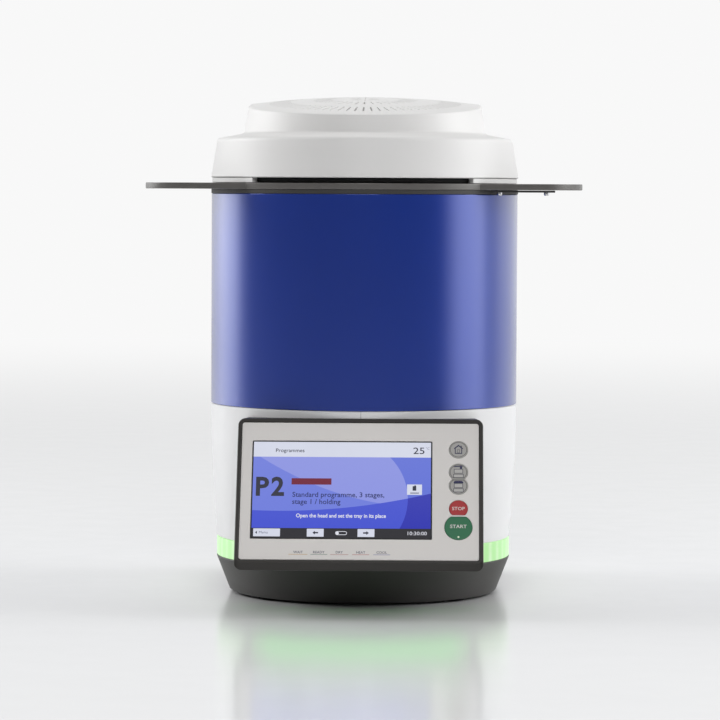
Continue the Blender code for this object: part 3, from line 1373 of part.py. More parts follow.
def make_lift_spindle():
    bottom = coupling_z() + COUPLING_HEIGHT / 2 + RUNNING_GAP
    mesh = new_disc((0, 0), SPINDLE_RADIUS, bottom, FRAME_TOP_Z)
    add_piece("lift_spindle", mesh, STEEL, location=(0, LIFT_AXIS_Y, 0))


def make_motor_coupling():
    """A sleeve that grips the spindle above, with the motor's shaft below."""
    bottom = coupling_z()
    middle = bottom + COUPLING_HEIGHT / 2
    top = bottom + COUPLING_HEIGHT
    profile = [
        (MOTOR_SHAFT_RADIUS, SHELF_Z - MOTOR_BOSS_HEIGHT),
        (MOTOR_SHAFT_RADIUS, bottom),
        (COUPLING_RADIUS, bottom),
        (COUPLING_RADIUS, top),
        (SPINDLE_RADIUS + SEAT_GAP, top),
        (SPINDLE_RADIUS + SEAT_GAP, middle),
    ]
    mesh = add_turned(bmesh.new(), (0, 0), profile)
    add_piece("motor_coupling", mesh, STEEL, location=(0, LIFT_AXIS_Y, 0))


def make_lift_motor():
    """A square stepper motor hung under the shelf, its centring boss in the shelf's hole."""
    top = SHELF_Z - SEAT_GAP
    low = (-MOTOR_HALF_WIDTH, LIFT_AXIS_Y - MOTOR_HALF_WIDTH)
    high = (MOTOR_HALF_WIDTH, LIFT_AXIS_Y + MOTOR_HALF_WIDTH)
    outline = rounded_rectangle(low, high, MOTOR_CORNER, 1)
    motor = add_piece("lift_motor", new_prism(outline, top - MOTOR_HEIGHT, top), BLACK_PLASTIC)
    boss_top = top + MOTOR_BOSS_HEIGHT
    combine(motor, new_disc(lift_axis(), MOTOR_BOSS_RADIUS, top - MOTOR_BOSS_HEIGHT, boss_top), "UNION")
    bore_bottom = top - MOTOR_HEIGHT / 2
    cut(motor, new_disc(lift_axis(), MOTOR_SHAFT_BORE, bore_bottom, boss_top + CUT_OVERRUN, SMALL_ROUND_STEPS))


def make_lift_carriage():
    half_depth = CARRIAGE_HALF_DEPTH
    low = (-CARRIAGE_HALF_WIDTH, LIFT_AXIS_Y - half_depth, CARRIAGE_Z)
    high = (CARRIAGE_HALF_WIDTH, LIFT_AXIS_Y + half_depth, CARRIAGE_Z + CARRIAGE_HEIGHT)
    carriage = add_piece("lift_carriage", new_box(low, high), GALVANISED)
    bottom = CARRIAGE_Z - CUT_OVERRUN
    top = CARRIAGE_Z + CARRIAGE_HEIGHT + CUT_OVERRUN
    bores = bmesh.new()
    for place in rod_places():
        add_turned(bores, place, [(BUSH_BORE_RADIUS, bottom), (BUSH_BORE_RADIUS, top)])
    add_turned(bores, lift_axis(), [(NUT_RADIUS + SEAT_GAP, bottom), (NUT_RADIUS + SEAT_GAP, top)])
    cut(carriage, bores)


def make_guide_bushes():
    inner = ROD_RADIUS + RUNNING_GAP
    for name, place in zip(("guide_bush_left", "guide_bush_right"), rod_places()):
        mesh = add_tube(bmesh.new(), place, inner, inner + BUSH_WALL, CARRIAGE_Z, CARRIAGE_Z + CARRIAGE_HEIGHT)
        add_piece(name, mesh, BRONZE)


def make_spindle_nut():
    """A flanged nut in the carriage, its flange against the carriage's underside."""
    bore = SPINDLE_RADIUS + RUNNING_GAP
    flange_top = CARRIAGE_Z - SEAT_GAP
    profile = [
        (NUT_FLANGE_RADIUS, flange_top - NUT_FLANGE),
        (NUT_FLANGE_RADIUS, flange_top),
        (NUT_RADIUS, flange_top),
        (NUT_RADIUS, CARRIAGE_Z + CARRIAGE_HEIGHT * 2 / 3),
        (bore, CARRIAGE_Z + CARRIAGE_HEIGHT * 2 / 3),
        (bore, flange_top - NUT_FLANGE),
    ]
    add_piece("spindle_nut", add_turned(bmesh.new(), lift_axis(), profile, looped=True), BRONZE)


def make_lift_column():
    """A channel that stands on the carriage's front and reaches up to the head's carrier."""
    half = COLUMN_HALF_WIDTH
    outline = [
        (-half, COLUMN_FRONT_Y),
        (half, COLUMN_FRONT_Y),
        (half, COLUMN_REAR_Y),
        (half - COLUMN_WALL, COLUMN_REAR_Y),
        (half - COLUMN_WALL, COLUMN_FRONT_Y + COLUMN_WALL),
        (-half + COLUMN_WALL, COLUMN_FRONT_Y + COLUMN_WALL),
        (-half + COLUMN_WALL, COLUMN_REAR_Y),
        (-half, COLUMN_REAR_Y),
    ]
    add_piece("lift_column", new_prism(outline, CARRIAGE_Z, HEAD_Z - SEAT_GAP), STEEL)


# Head


def make_head_base_ring():
    """A ring that is open at the front, where the seal behind it shows."""
    outer = plan_outline(HEAD_RING_INSET)
    inner = plan_outline(HEAD_RING_INSET + HEAD_RING_WIDTH)
    levels = (HEAD_RING_Z, HEAD_RING_TOP_Z)
    ring = add_piece(
        "head_base_ring", new_shell([(outer, z) for z in levels], [(inner, z) for z in levels]), WHITE_PAINT
    )
    inner_radius = BODY_RADIUS - HEAD_RING_INSET - HEAD_RING_WIDTH - CUT_OVERRUN
    gap = arc((0, 0), inner_radius, *slot_angles(), FRONT_STEPS // 2)
    gap += arc((0, 0), BODY_RADIUS + CUT_OVERRUN, *reversed(slot_angles()), FRONT_STEPS // 2)
    cut(ring, new_prism(gap, HEAD_RING_Z - CUT_OVERRUN, HEAD_RING_TOP_Z + CUT_OVERRUN))


def slot_angles():
    """Start and end of the ring's open front, as angles round the chamber axis."""
    half = math.asin(RING_SLOT_HALF_WIDTH / BODY_RADIUS)
    return 1.5 * math.pi - half, 1.5 * math.pi + half


def make_head_gasket():
    inset = HEAD_RING_INSET + HEAD_RING_WIDTH + SEAT_GAP
    outer = plan_outline(inset)
    inner = plan_outline(inset + GASKET_WIDTH)
    levels = (HEAD_RING_Z, HEAD_RING_TOP_Z)
    mesh = new_shell([(outer, z) for z in levels], [(inner, z) for z in levels])
    add_piece("head_gasket", mesh, BLACK_RUBBER)


def dome_height(x, y):
    """Height of the head's tilted, shallow dome above a point in plan."""
    fall = (x * x + y * y) / (2 * DOME_CURVE_RADIUS)
    return DOME_CENTRE_Z + DOME_TILT_SHARE * y - fall


def head_rings(wall):
    """Sections of the head's surface from its bottom edge to the dome, drawn in by a wall."""
    drum_top = HEAD_Z + DRUM_HEIGHT
    ledge_top = drum_top + LEDGE_RISE
    shoulder = SHOULDER_RADIUS
    half = shoulder * math.sqrt(0.5)
    rows = [
        (-DRUM_BOTTOM_FLARE, HEAD_Z),
        (DRUM_TAPER - DRUM_BOTTOM_FLARE, drum_top - shoulder),
        (DRUM_TAPER + shoulder - half, drum_top - shoulder + half),
        (DRUM_TAPER + shoulder, drum_top + LEDGE_FILLET / 6),
        (LEDGE_INSET - 2 * LEDGE_FILLET, ledge_top - LEDGE_FILLET),
        (LEDGE_INSET - LEDGE_FILLET / 2, ledge_top - LEDGE_FILLET / 2),
        (LEDGE_INSET, ledge_top + LEDGE_FILLET / 2),
    ]
    rings = []
    for index, (inset, z) in enumerate(rows):
        lowered = z if index == 0 else z - wall
        rings.append(at_height(plan_outline(inset + wall), lowered))
    top_inset = LEDGE_INSET + RAISED_TAPER
    rim_rows = ((0, RIM_RADIUS), (RIM_RADIUS / 3, RIM_RADIUS / 3), (RIM_RADIUS, 0))
    for inward, drop in rim_rows:
        outline = plan_outline(top_inset + inward + wall)
        rings.append([(x, y, dome_height(x, y) - drop - wall) for x, y in outline])
    rim = plan_outline(top_inset + RIM_RADIUS + wall)
    for share in DOME_RING_SHARES:
        ring = []
        for x, y in rim:
            near_x = x * share
            near_y = DOME_CENTRE_Y + (y - DOME_CENTRE_Y) * share
            ring.append((near_x, near_y, dome_height(near_x, near_y) - wall))
        rings.append(ring)
    return rings


def vent_slots():
    """Radial cooling slots of the dome, in three rings round the chamber axis."""
    mesh = bmesh.new()
    patterns = (
        (OUTER_VENT_COUNT, OUTER_VENT_SHARES),
        (MIDDLE_VENT_COUNT, MIDDLE_VENT_SHARES),
        (CENTRE_VENT_COUNT, CENTRE_VENT_SHARES),
    )
    bottom = HEAD_Z + DRUM_HEIGHT
    top = dome_height(0, DOME_CENTRE_Y) + DRUM_HEIGHT
    for count, shares in patterns:
        start, end = (DOME_RIM_RADIUS * share for share in shares)
        corners = rectangle((start, -VENT_SLOT_WIDTH / 2), (end, VENT_SLOT_WIDTH / 2))
        for index in range(count):
            angle = 2 * math.pi * index / count
            outline = []
            for along, across in corners:
                x = along * math.cos(angle) - across * math.sin(angle)
                y = along * math.sin(angle) + across * math.cos(angle)
                outline.append((x, y))
            add_prism(mesh, outline, bottom, top)
    return mesh


def boss_positions():
    """Places of the screw bosses under the head's ledge: two on its round front, two at its sides."""
    reach = BODY_RADIUS - HEAD_BOSS_INSET
    front_x = reach * math.cos(HEAD_BOSS_ANGLE)
    front_y = -reach * math.sin(HEAD_BOSS_ANGLE)
    return [(-front_x, front_y), (front_x, front_y), (-reach, HEAD_BOSS_REAR_Y), (reach, HEAD_BOSS_REAR_Y)]


def make_head_shell():
    """A moulded shell: drum, ledge, raised wall and tilted dome, with vents and screw bosses."""
    outer = head_rings(0)
    inner = head_rings(SHELL_WALL)
    shell = add_piece("head_shell", add_rings(bmesh.new(), list(reversed(outer)) + inner), WHITE_PAINT)
    bosses = bmesh.new()
    pilots = bmesh.new()
    bottom = CARRIER_TOP_Z + SEAT_GAP
    for place in boss_positions():
        roof = HEAD_Z + DRUM_HEIGHT
        add_turned(bosses, place, [(HEAD_BOSS_RADIUS, bottom), (HEAD_BOSS_RADIUS, roof)], SMALL_ROUND_STEPS)
        pilot = HEAD_SCREW_RADIUS + SEAT_GAP
        top = bottom + HEAD_SCREW_REACH
        add_turned(pilots, place, [(pilot, bottom - CUT_OVERRUN), (pilot, top)], SMALL_ROUND_STEPS)
    combine(shell, bosses, "UNION")
    cut(shell, pilots)
    cut(shell, vent_slots())


def make_head_carrier():
    """The plate that carries the whole head, with its four screws up into the shell's bosses."""
    inset = SHELL_WALL + SEAT_GAP
    carrier = add_piece("head_carrier", new_prism(plan_outline(inset), HEAD_Z, CARRIER_TOP_Z), GALVANISED)
    screws = bmesh.new()
    for place in boss_positions():
        profile = [
            (HEAD_SCREW_HEAD_RADIUS, HEAD_Z - HEAD_SCREW_HEAD_HEIGHT),
            (HEAD_SCREW_HEAD_RADIUS, HEAD_Z + CARRIER_THICKNESS / 2),
            (HEAD_SCREW_RADIUS, HEAD_Z + CARRIER_THICKNESS / 2),
            (HEAD_SCREW_RADIUS, CARRIER_TOP_Z + HEAD_SCREW_REACH - SEAT_GAP),
        ]
        add_turned(screws, place, profile, SMALL_ROUND_STEPS)
    combine(carrier, screws, "UNION")


def make_head_insulation_plug():
    """The stepped plug that closes the chamber's mouth."""
    bottom = PLATE_TOP_Z - PLUG_DEPTH
    flange_z = PLATE_TOP_Z + RUNNING_GAP
    profile = [
        (PLUG_RADIUS - PLUG_CHAMFER, bottom),
        (PLUG_RADIUS, bottom + PLUG_CHAMFER),
        (PLUG_RADIUS, flange_z),
        (PLUG_FLANGE_RADIUS, flange_z),
        (PLUG_FLANGE_RADIUS, HEAD_Z - SEAT_GAP),
    ]
    mesh = add_turned(bmesh.new(), (0, 0), profile, 2 * ROUND_STEPS)
    add_piece("head_insulation_plug", mesh, CERAMIC_FIBRE)


def make_head_baffle():
    """A pressed sheet hood over the plug that keeps its heat off the shell."""
    sheet = BAFFLE_SHEET
    bottom = CARRIER_TOP_Z + SEAT_GAP
    top = bottom + BAFFLE_HEIGHT
    rim = BAFFLE_RADIUS
    wall = rim - BAFFLE_FLANGE
    profile = [
        (wall - 2 * sheet, top),
        (wall, top - 2 * sheet),
        (wall, bottom + sheet),
        (rim, bottom + sheet),
        (rim, bottom),
        (wall - sheet, bottom),
        (wall - sheet, top - 3 * sheet),
        (wall - 3 * sheet, top - sheet),
    ]
    add_piece("head_baffle", add_turned(bmesh.new(), (0, 0), profile, 2 * ROUND_STEPS), GALVANISED)


# Control panel


def panel_matrix():
    """Frame of the panel's face: its foot line at the origin, X across, Y up the slope, Z outward."""
    foot = Matrix.Translation((0, PANEL_FOOT_Y, PANEL_FOOT_Z))
    return foot @ Matrix.Rotation(math.pi / 2 - PANEL_LEAN, 4, "X")


def on_panel(outline, depth):
    """World points of an outline on the panel's face, sunk by a depth."""
    frame = panel_matrix()
    return [tuple((frame @ Matrix.Translation((u, v, -depth))).to_translation()) for u, v in outline]


def panel_face_outline(inset):
    """The panel's face drawn in by an inset."""
    half = PANEL_WIDTH / 2 - inset
    radius = max(PANEL_CORNER_RADIUS - inset, PANEL_EDGE)
    return rounded_rectangle((-half, inset), (half, PANEL_LENGTH - inset), radius)


def panel_root_y():
    """Where the panel's side walls end, just behind the place where they meet the round housing."""
    radius = BODY_RADIUS - LOWER_TAPER
    half = min(PANEL_WIDTH / 2, radius)
    return -math.sqrt(radius * radius - half * half) + PANEL_ROOT_OVERLAP


def make_panel_housing():
    """A moulded frame whose walls run back, drawn in a little, to the round housing that trims them."""
    slope_y = math.tan(PANEL_LEAN)
    top_z = PANEL_FOOT_Z + PANEL_LENGTH * math.cos(PANEL_LEAN)
    skirt_z = PANEL_FOOT_Z - PANEL_SKIRT_DROP
    half = PANEL_WIDTH / 2
    outline = rounded_rectangle((-half, skirt_z), (half, top_z), PANEL_CORNER_RADIUS)
    root_half = half - PANEL_WALL_DRAFT
    root = rounded_rectangle((-root_half, skirt_z), (root_half, top_z - PANEL_WALL_DRAFT), PANEL_CORNER_RADIUS)
    front = []
    for x, z in outline:
        above = z - PANEL_FOOT_Z
        setback = above * slope_y if above > 0 else -above * PANEL_SKIRT_SETBACK / PANEL_SKIRT_DROP
        front.append((x, PANEL_FOOT_Y + setback + PANEL_EDGE, z))
    face = [(u, max(v, PANEL_EDGE)) for u, v in panel_face_outline(PANEL_EDGE)]
    pocket = panel_face_outline(PANEL_RIM)
    ledge = panel_face_outline(PANEL_RIM + PANEL_LEDGE)
    pocket_depth = FASCIA_SINK + FASCIA_THICKNESS + SEAT_GAP
    ledge_front = on_panel(ledge, pocket_depth)
    rings = [
        facing_rear(root, panel_root_y()),
        front,
        on_panel(face, 0),
        on_panel(pocket, 0),
        on_panel(pocket, pocket_depth),
        ledge_front,
        [(x, panel_root_y(), z) for x, y, z in ledge_front],
    ]
    housing = add_piece("panel_housing", add_rings(bmesh.new(), rings, looped=True), DARK_GREY)
    light = plan_outline(LIGHT_INSET - SEAT_GAP)
    body_rings = [at_height(light, skirt_z - CUT_OVERRUN), at_height(light, LIGHT_TOP_Z)]
    body_rings += [at_height(points, z) for points, z in lower_profile(-SEAT_GAP)[1:]]
    cut(housing, add_rings(bmesh.new(), body_rings))


def key_outline(radius, flat_side, flat, growth):
    """A round key outline, cut straight on one side where it meets its partner.

    flat_side is 0 for a plain round key, 1 for a flat at the top and -1 for one at the bottom.
    """
    grown = radius + growth
    if not flat_side:
        return circle((0, 0), grown, KEY_STEPS)
    reach = math.asin(min(flat + growth, grown) / grown)
    start = math.pi - reach if flat_side > 0 else -reach
    end = 2 * math.pi + reach if flat_side > 0 else math.pi + reach
    return arc((0, 0), grown, start, end, KEY_STEPS - 1)


def key_table():
    """Every key: name, place up the panel, radius, flat side, distance to the flat, finish."""
    head_flat = HEAD_KEY_RISE - HEAD_KEY_SPLIT_GAP / 2
    start_to_stop = START_KEY_FLAT + STOP_START_GAP + STOP_KEY_FLAT
    stop_to_close = STOP_KEY_RADIUS + KEY_GAP + HEAD_KEY_RADIUS
    open_to_home = 2 * HEAD_KEY_RADIUS + KEY_GAP
    first_to_last = start_to_stop + stop_to_close + 2 * HEAD_KEY_RISE + open_to_home
    stack = START_KEY_RADIUS + first_to_last + HEAD_KEY_RADIUS
    start_up = GLASS_BOTTOM + GLASS_LENGTH / 2 - stack / 2 + START_KEY_RADIUS
    stop_up = start_up + start_to_stop
    close_up = stop_up + stop_to_close
    open_up = close_up + 2 * HEAD_KEY_RISE
    return (
        ("home_key", open_up + open_to_home, HEAD_KEY_RADIUS, 0, 0, GREY_KEY),
        ("head_open_key", open_up, HEAD_KEY_RADIUS, -1, head_flat, GREY_KEY),
        ("head_close_key", close_up, HEAD_KEY_RADIUS, 1, head_flat, GREY_KEY),
        ("stop_key", stop_up, STOP_KEY_RADIUS, -1, STOP_KEY_FLAT, RED_KEY),
        ("start_key", start_up, START_KEY_RADIUS, 1, START_KEY_FLAT, GREEN_KEY),
    )


def shifted(outline, across, up):
    """Move a plane outline."""
    return [(x + across, y + up) for x, y in outline]


def glass_outline(inset):
    low = (GLASS_LEFT + inset, GLASS_BOTTOM + inset)
    high = (GLASS_LEFT + GLASS_WIDTH - inset, GLASS_BOTTOM + GLASS_LENGTH - inset)
    return rounded_rectangle(low, high, GLASS_CORNER, 2)


def make_panel_fascia(parent):
    outline = panel_face_outline(PANEL_RIM + FASCIA_GAP)
    back = -FASCIA_SINK - FASCIA_THICKNESS
    fascia = add_piece("panel_fascia", new_prism(outline, back, -FASCIA_SINK), PALE_FASCIA, parent)
    low = back - CUT_OVERRUN
    high = CUT_OVERRUN
    cut(fascia, new_prism(glass_outline(-SEAT_GAP), low, high))
    for _, up, radius, flat_side, flat, _ in key_table():
        hole = shifted(key_outline(radius, flat_side, flat, KEY_CLEARANCE), KEY_COLUMN, up)
        cut(fascia, new_prism(hole, low, high))


def make_display(parent):
    glass_top = -FASCIA_SINK - GLASS_SINK
    glass_back = glass_top - GLASS_THICKNESS
    add_piece("display_glass", new_prism(glass_outline(0), glass_back, glass_top), DARK_GLASS, parent)
    module_top = -FASCIA_SINK - FASCIA_THICKNESS - SEAT_GAP
    outline = glass_outline(-MODULE_MARGIN)
    mesh = new_prism(outline, module_top - MODULE_THICKNESS, module_top)
    raised = glass_outline(GLASS_CORNER)
    module = add_piece("display_module", mesh, GALVANISED, parent)
    combine(module, new_prism(raised, module_top - MODULE_THICKNESS / 2, glass_back - SEAT_GAP), "UNION")


def make_keys(parent):
    """Flush caps that reach through the fascia, each held by a flange behind it."""
    face = -FASCIA_SINK + KEY_PROUD
    shoulder = -FASCIA_SINK - FASCIA_THICKNESS - KEY_TAIL
    for name, up, radius, flat_side, flat, finish in key_table():
        cap = key_outline(radius, flat_side, flat, 0)
        flange = key_outline(radius + KEY_FLANGE, flat_side, flat, 0)
        rings = [
            at_height(flange, shoulder - KEY_FLANGE_THICKNESS),
            at_height(flange, shoulder),
            at_height(cap, shoulder),
            at_height(cap, face),
        ]
        add_piece(name, add_rings(bmesh.new(), rings), finish, parent, (KEY_COLUMN, up, 0))


def make_key_switch_board(parent):
    """A narrow board behind the keys with one small switch under each."""
    key_back = -FASCIA_SINK - FASCIA_THICKNESS - KEY_TAIL - KEY_FLANGE_THICKNESS
    button_top = key_back - KEY_TRAVEL - SWITCH_GAP
    body_top = button_top - SWITCH_BODY_HEIGHT
    board_top = body_top - 2 * SWITCH_BODY_HEIGHT
    keys = key_table()
    low_up = keys[-1][1] - KEY_BOARD_MARGIN
    high_up = keys[0][1] + KEY_BOARD_MARGIN
    half = KEY_BOARD_MARGIN
    board = [(KEY_COLUMN - half, low_up), (KEY_COLUMN + half, high_up)]
    mesh = new_prism(rectangle(*board), board_top - KEY_BOARD_THICKNESS, board_top)
    piece = add_piece("key_switch_board", mesh, GREEN_BOARD, parent)
    bodies = bmesh.new()
    buttons = bmesh.new()
    for _, up, _, _, _, _ in keys:
        half_body = SWITCH_BODY / 2
        low = (KEY_COLUMN - half_body, up - half_body, board_top - KEY_BOARD_THICKNESS / 2)
        add_box(bodies, low, (KEY_COLUMN + half_body, up + half_body, body_top))
        profile = [(SWITCH_RADIUS, body_top - SWITCH_BODY_HEIGHT / 2), (SWITCH_RADIUS, button_top)]
        add_turned(buttons, (KEY_COLUMN, up), profile, SMALL_ROUND_STEPS)
    combine(piece, bodies, "UNION")
    combine(piece, buttons, "UNION")


def make_control_panel():
    make_panel_housing()
    frame = bpy.data.objects.new("panel_frame", None)
    bpy.context.scene.collection.objects.link(frame)
    frame.matrix_world = panel_matrix()
    make_panel_fascia(frame)
    make_display(frame)
    make_keys(frame)
    make_key_switch_board(frame)


def main():
    clear_scene()
    make_rubber_feet()
    make_base_tray()
    make_status_light_ring()
    make_led_strip()
    make_lower_housing()
    make_rear_panel()
    make_power_inlet()
    make_power_switch_rocker()
    make_vacuum_connector()
    make_service_port()
    make_fan_housing()
    make_fan_rotor()
    make_chassis_plate()
    make_power_supply()
    make_power_board()
    make_control_board()
    make_upper_jacket()
    make_chamber_shelf()
    make_insulation()
    make_heating_element()
    make_firing_table()
    make_thermocouple()
    make_body_collar()
    make_cooling_plate()
    make_tray_bracket()
    make_chamber_mouth_ring()
    make_lift_frame()
    make_spindle_bearing()
    make_guide_rods()
    make_lift_spindle()
    make_motor_coupling()
    make_lift_motor()
    make_lift_carriage()
    make_guide_bushes()
    make_spindle_nut()
    make_lift_column()
    make_head_base_ring()
    make_head_gasket()
    make_head_shell()
    make_head_carrier()
    make_head_insulation_plug()
    make_head_baffle()
    make_control_panel()
    bpy.context.view_layer.update()


main()
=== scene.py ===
# %% [markdown]
# # A bench-top dental furnace, dressed for its portrait
#
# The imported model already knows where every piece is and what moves. This script keeps that
# frame as it is and gives the furnace its looks: finer shells, real slots and screws, printed
# keys, a lit display and a finish for every surface. Everything is in metres, the front of the
# furnace faces -Y, and the origin lies on the bench under the middle of the firing chamber.

import math

import bmesh
import bpy
from mathutils import Matrix, Vector


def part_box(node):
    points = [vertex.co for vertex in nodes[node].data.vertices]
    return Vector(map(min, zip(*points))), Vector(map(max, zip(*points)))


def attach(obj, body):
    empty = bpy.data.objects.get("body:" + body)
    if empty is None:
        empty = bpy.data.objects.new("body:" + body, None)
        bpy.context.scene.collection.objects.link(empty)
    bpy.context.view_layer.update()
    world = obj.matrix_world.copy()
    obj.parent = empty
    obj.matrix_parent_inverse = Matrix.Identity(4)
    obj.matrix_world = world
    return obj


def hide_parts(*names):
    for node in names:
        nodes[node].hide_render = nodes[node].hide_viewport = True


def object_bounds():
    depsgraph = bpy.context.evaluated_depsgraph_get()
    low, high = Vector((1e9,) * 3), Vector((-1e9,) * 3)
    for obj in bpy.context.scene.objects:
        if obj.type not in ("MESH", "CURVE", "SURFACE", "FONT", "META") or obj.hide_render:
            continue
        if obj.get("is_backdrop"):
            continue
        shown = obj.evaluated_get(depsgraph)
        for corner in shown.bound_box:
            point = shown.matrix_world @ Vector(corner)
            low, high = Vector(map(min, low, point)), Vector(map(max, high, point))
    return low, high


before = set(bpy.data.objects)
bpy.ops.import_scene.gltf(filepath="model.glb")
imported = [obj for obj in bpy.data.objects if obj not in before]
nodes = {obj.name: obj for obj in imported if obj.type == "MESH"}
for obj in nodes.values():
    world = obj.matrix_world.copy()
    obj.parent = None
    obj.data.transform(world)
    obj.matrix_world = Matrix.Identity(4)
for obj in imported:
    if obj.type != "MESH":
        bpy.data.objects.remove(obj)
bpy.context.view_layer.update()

# %% [markdown]
# ## Camera
#
# A product photographer stands well back with a long lens, so that the walls stay nearly
# parallel, and keeps the camera at the height of the cooling plate. The plate then shows only
# its front edge. The camera looks down by less than three degrees and leans by a quarter of a
# degree, as a hand-levelled tripod does.

# %% Place the camera
CAMERA_PLACE = Vector((0.0568, -3.255, 0.3685))
CAMERA_AIM = Vector((-0.00355, 0.0, 0.2126))
CAMERA_LENS = 177.5
CAMERA_ROLL = math.radians(0.28)

scene = bpy.context.scene


def add_object(name, data):
    """Put a mesh, lamp, camera or text into the scene."""
    thing = bpy.data.objects.new(name, data)
    scene.collection.objects.link(thing)
    return thing


camera_data = bpy.data.cameras.new("portrait_camera")
camera_data.lens = CAMERA_LENS
camera_data.sensor_width = 36.0
camera_data.clip_end = 60.0
camera = add_object("portrait_camera", camera_data)
looking = (CAMERA_AIM - CAMERA_PLACE).to_track_quat("-Z", "Y").to_matrix().to_4x4()
camera.matrix_world = Matrix.Translation(CAMERA_PLACE) @ looking @ Matrix.Rotation(CAMERA_ROLL, 4, "Z")
scene.camera = camera
scene.view_settings.view_transform = "Standard"
print("camera:", round((CAMERA_AIM - CAMERA_PLACE).length, 3), "m from the furnace")

# %% [markdown]
# ## A small kit for node trees
#
# Materials, shader groups and Geometry Nodes trees are all made of nodes and links. A few helpers
# keep that readable: they add a node and fill its inputs with plain values or with links, do one
# step of arithmetic, noise or mixing, and open a group with named inputs.


# %% Helpers for node trees
def add_node(tree, kind, inputs=None, **settings):
    """Add a node; each input takes a plain value or the output socket that feeds it."""
    node = tree.nodes.new(kind)
    for name, value in settings.items():
        setattr(node, name, value)
    for key, value in (inputs or {}).items():
        if isinstance(value, bpy.types.NodeSocket):
            tree.links.new(value, node.inputs[key])
        else:
            node.inputs[key].default_value = value
    return node


def math_node(tree, operation, *values, clamp=False):
    """One step of arithmetic; gives back its output."""
    inputs = {index: value for index, value in enumerate(values)}
    return add_node(tree, "ShaderNodeMath", inputs, operation=operation, use_clamp=clamp).outputs[0]


def times(tree, first, second, clamp=False):
    """One value times another."""
    return math_node(tree, "MULTIPLY", first, second, clamp=clamp)


def noise(tree, place, scale, detail, roughness=0.5):
    """Fractal noise; gives back its even value."""
    inputs = {"Vector": place, "Scale": scale, "Detail": detail, "Roughness": roughness}
    return add_node(tree, "ShaderNodeTexNoise", inputs).outputs["Fac"]


def remap(tree, value, low, high, to_low=0.0, to_high=1.0, **settings):
    """Stretch the values from low to high over a new range and clamp them to it."""
    inputs = {"Value": value, "From Min": low, "From Max": high, "To Min": to_low, "To Max": to_high}
    return add_node(tree, "ShaderNodeMapRange", inputs, **settings).outputs[0]


def object_place(tree):
    """A point's place on the object, in metres."""
    return add_node(tree, "ShaderNodeTexCoord").outputs["Object"]


def mix_colour(tree, factor, first, second):
    """Mix two colours; gives back the mixed colour's output."""
    node = add_node(tree, "ShaderNodeMix", data_type="RGBA", blend_type="MIX")
    for key, value in (("Factor", factor), ("A", first), ("B", second)):
        sockets = [s for s in node.inputs if s.name == key and s.enabled]
        if isinstance(value, bpy.types.NodeSocket):
            tree.links.new(value, sockets[0])
        else:
            sockets[0].default_value = value
    return [s for s in node.outputs if s.enabled][0]


def open_group(name, kind, inputs, outputs):
    """A node group with named sockets, given as (name, socket type, starting value)."""
    tree = bpy.data.node_groups.new(name, kind)
    for label, socket_type, value in inputs:
        socket = tree.interface.new_socket(label, in_out="INPUT", socket_type=socket_type)
        if value is not None:
            socket.default_value = value
    for label, socket_type in outputs:
        tree.interface.new_socket(label, in_out="OUTPUT", socket_type=socket_type)
    start = tree.nodes.new("NodeGroupInput")
    end = tree.nodes.new("NodeGroupOutput")
    return tree, start.outputs, end.inputs


def hand_over(group, result, *values):
    """Link values to a group's outputs in their order."""
    for value, socket in zip(values, result):
        group.links.new(value, socket)
    print("group:", group.name)

# %% [markdown]
# ## Shared surface effects
#
# A real surface is never one flat value. Five small groups say how: the fine orange-peel of
# paint and moulded plastic, slow changes in colour and gloss from the process and from hands,
# straight brush lines on rolled metal, a little dust on what faces up, and edges rubbed bright.
# They read Object coordinates, which here are real metres, so every pattern has its real size on
# every piece.

# %% Group: fine grain of paint and moulded plastic
FLOAT = "NodeSocketFloat"
SPECKS_PER_GRAIN = 2.7

grain_group, given, result = open_group(
    "fine_grain",
    "ShaderNodeTree",
    [("Grains per metre", FLOAT, 900.0), ("Sharpness", FLOAT, 0.5)],
    [("Height", FLOAT), ("Speck", FLOAT)],
)
place = object_place(grain_group)
fine_scale = times(grain_group, given[0], SPECKS_PER_GRAIN)
specks = add_node(grain_group, "ShaderNodeTexVoronoi", {"Vector": place, "Scale": fine_scale})
grains = noise(grain_group, place, given[0], 3.0, given[1])
hand_over(grain_group, result, grains, specks.outputs["Distance"])

# %% Group: slow changes in colour and gloss
cast_group, given, result = open_group(
    "slow_change",
    "ShaderNodeTree",
    [("Patches per metre", FLOAT, 14.0), ("Amount", FLOAT, 0.04), ("Middle", FLOAT, 0.4)],
    [("Value", FLOAT), ("Mask", FLOAT)],
)
patches = noise(cast_group, object_place(cast_group), given[0], 4.0, 0.6)
swing = times(cast_group, math_node(cast_group, "SUBTRACT", patches, 0.5), given[1])
value = math_node(cast_group, "ADD", times(cast_group, swing, 2.0), given[2])
hand_over(cast_group, result, value, patches)

# %% Group: brush lines of rolled or turned metal
VECTOR = "NodeSocketVector"
brush_group, given, result = open_group(
    "brush_lines",
    "ShaderNodeTree",
    [("Stretch", VECTOR, (40.0, 2500.0, 2500.0)), ("Middle", FLOAT, 0.35), ("Amount", FLOAT, 0.08)],
    [("Roughness", FLOAT), ("Height", FLOAT)],
)
stretched = {0: object_place(brush_group), 1: given[0]}
stretched = add_node(brush_group, "ShaderNodeVectorMath", stretched, operation="MULTIPLY").outputs[0]
lines = noise(brush_group, stretched, 1.0, 2.0)
swing = times(brush_group, math_node(brush_group, "SUBTRACT", lines, 0.5), given[2])
hand_over(brush_group, result, math_node(brush_group, "ADD", swing, given[1]), lines)

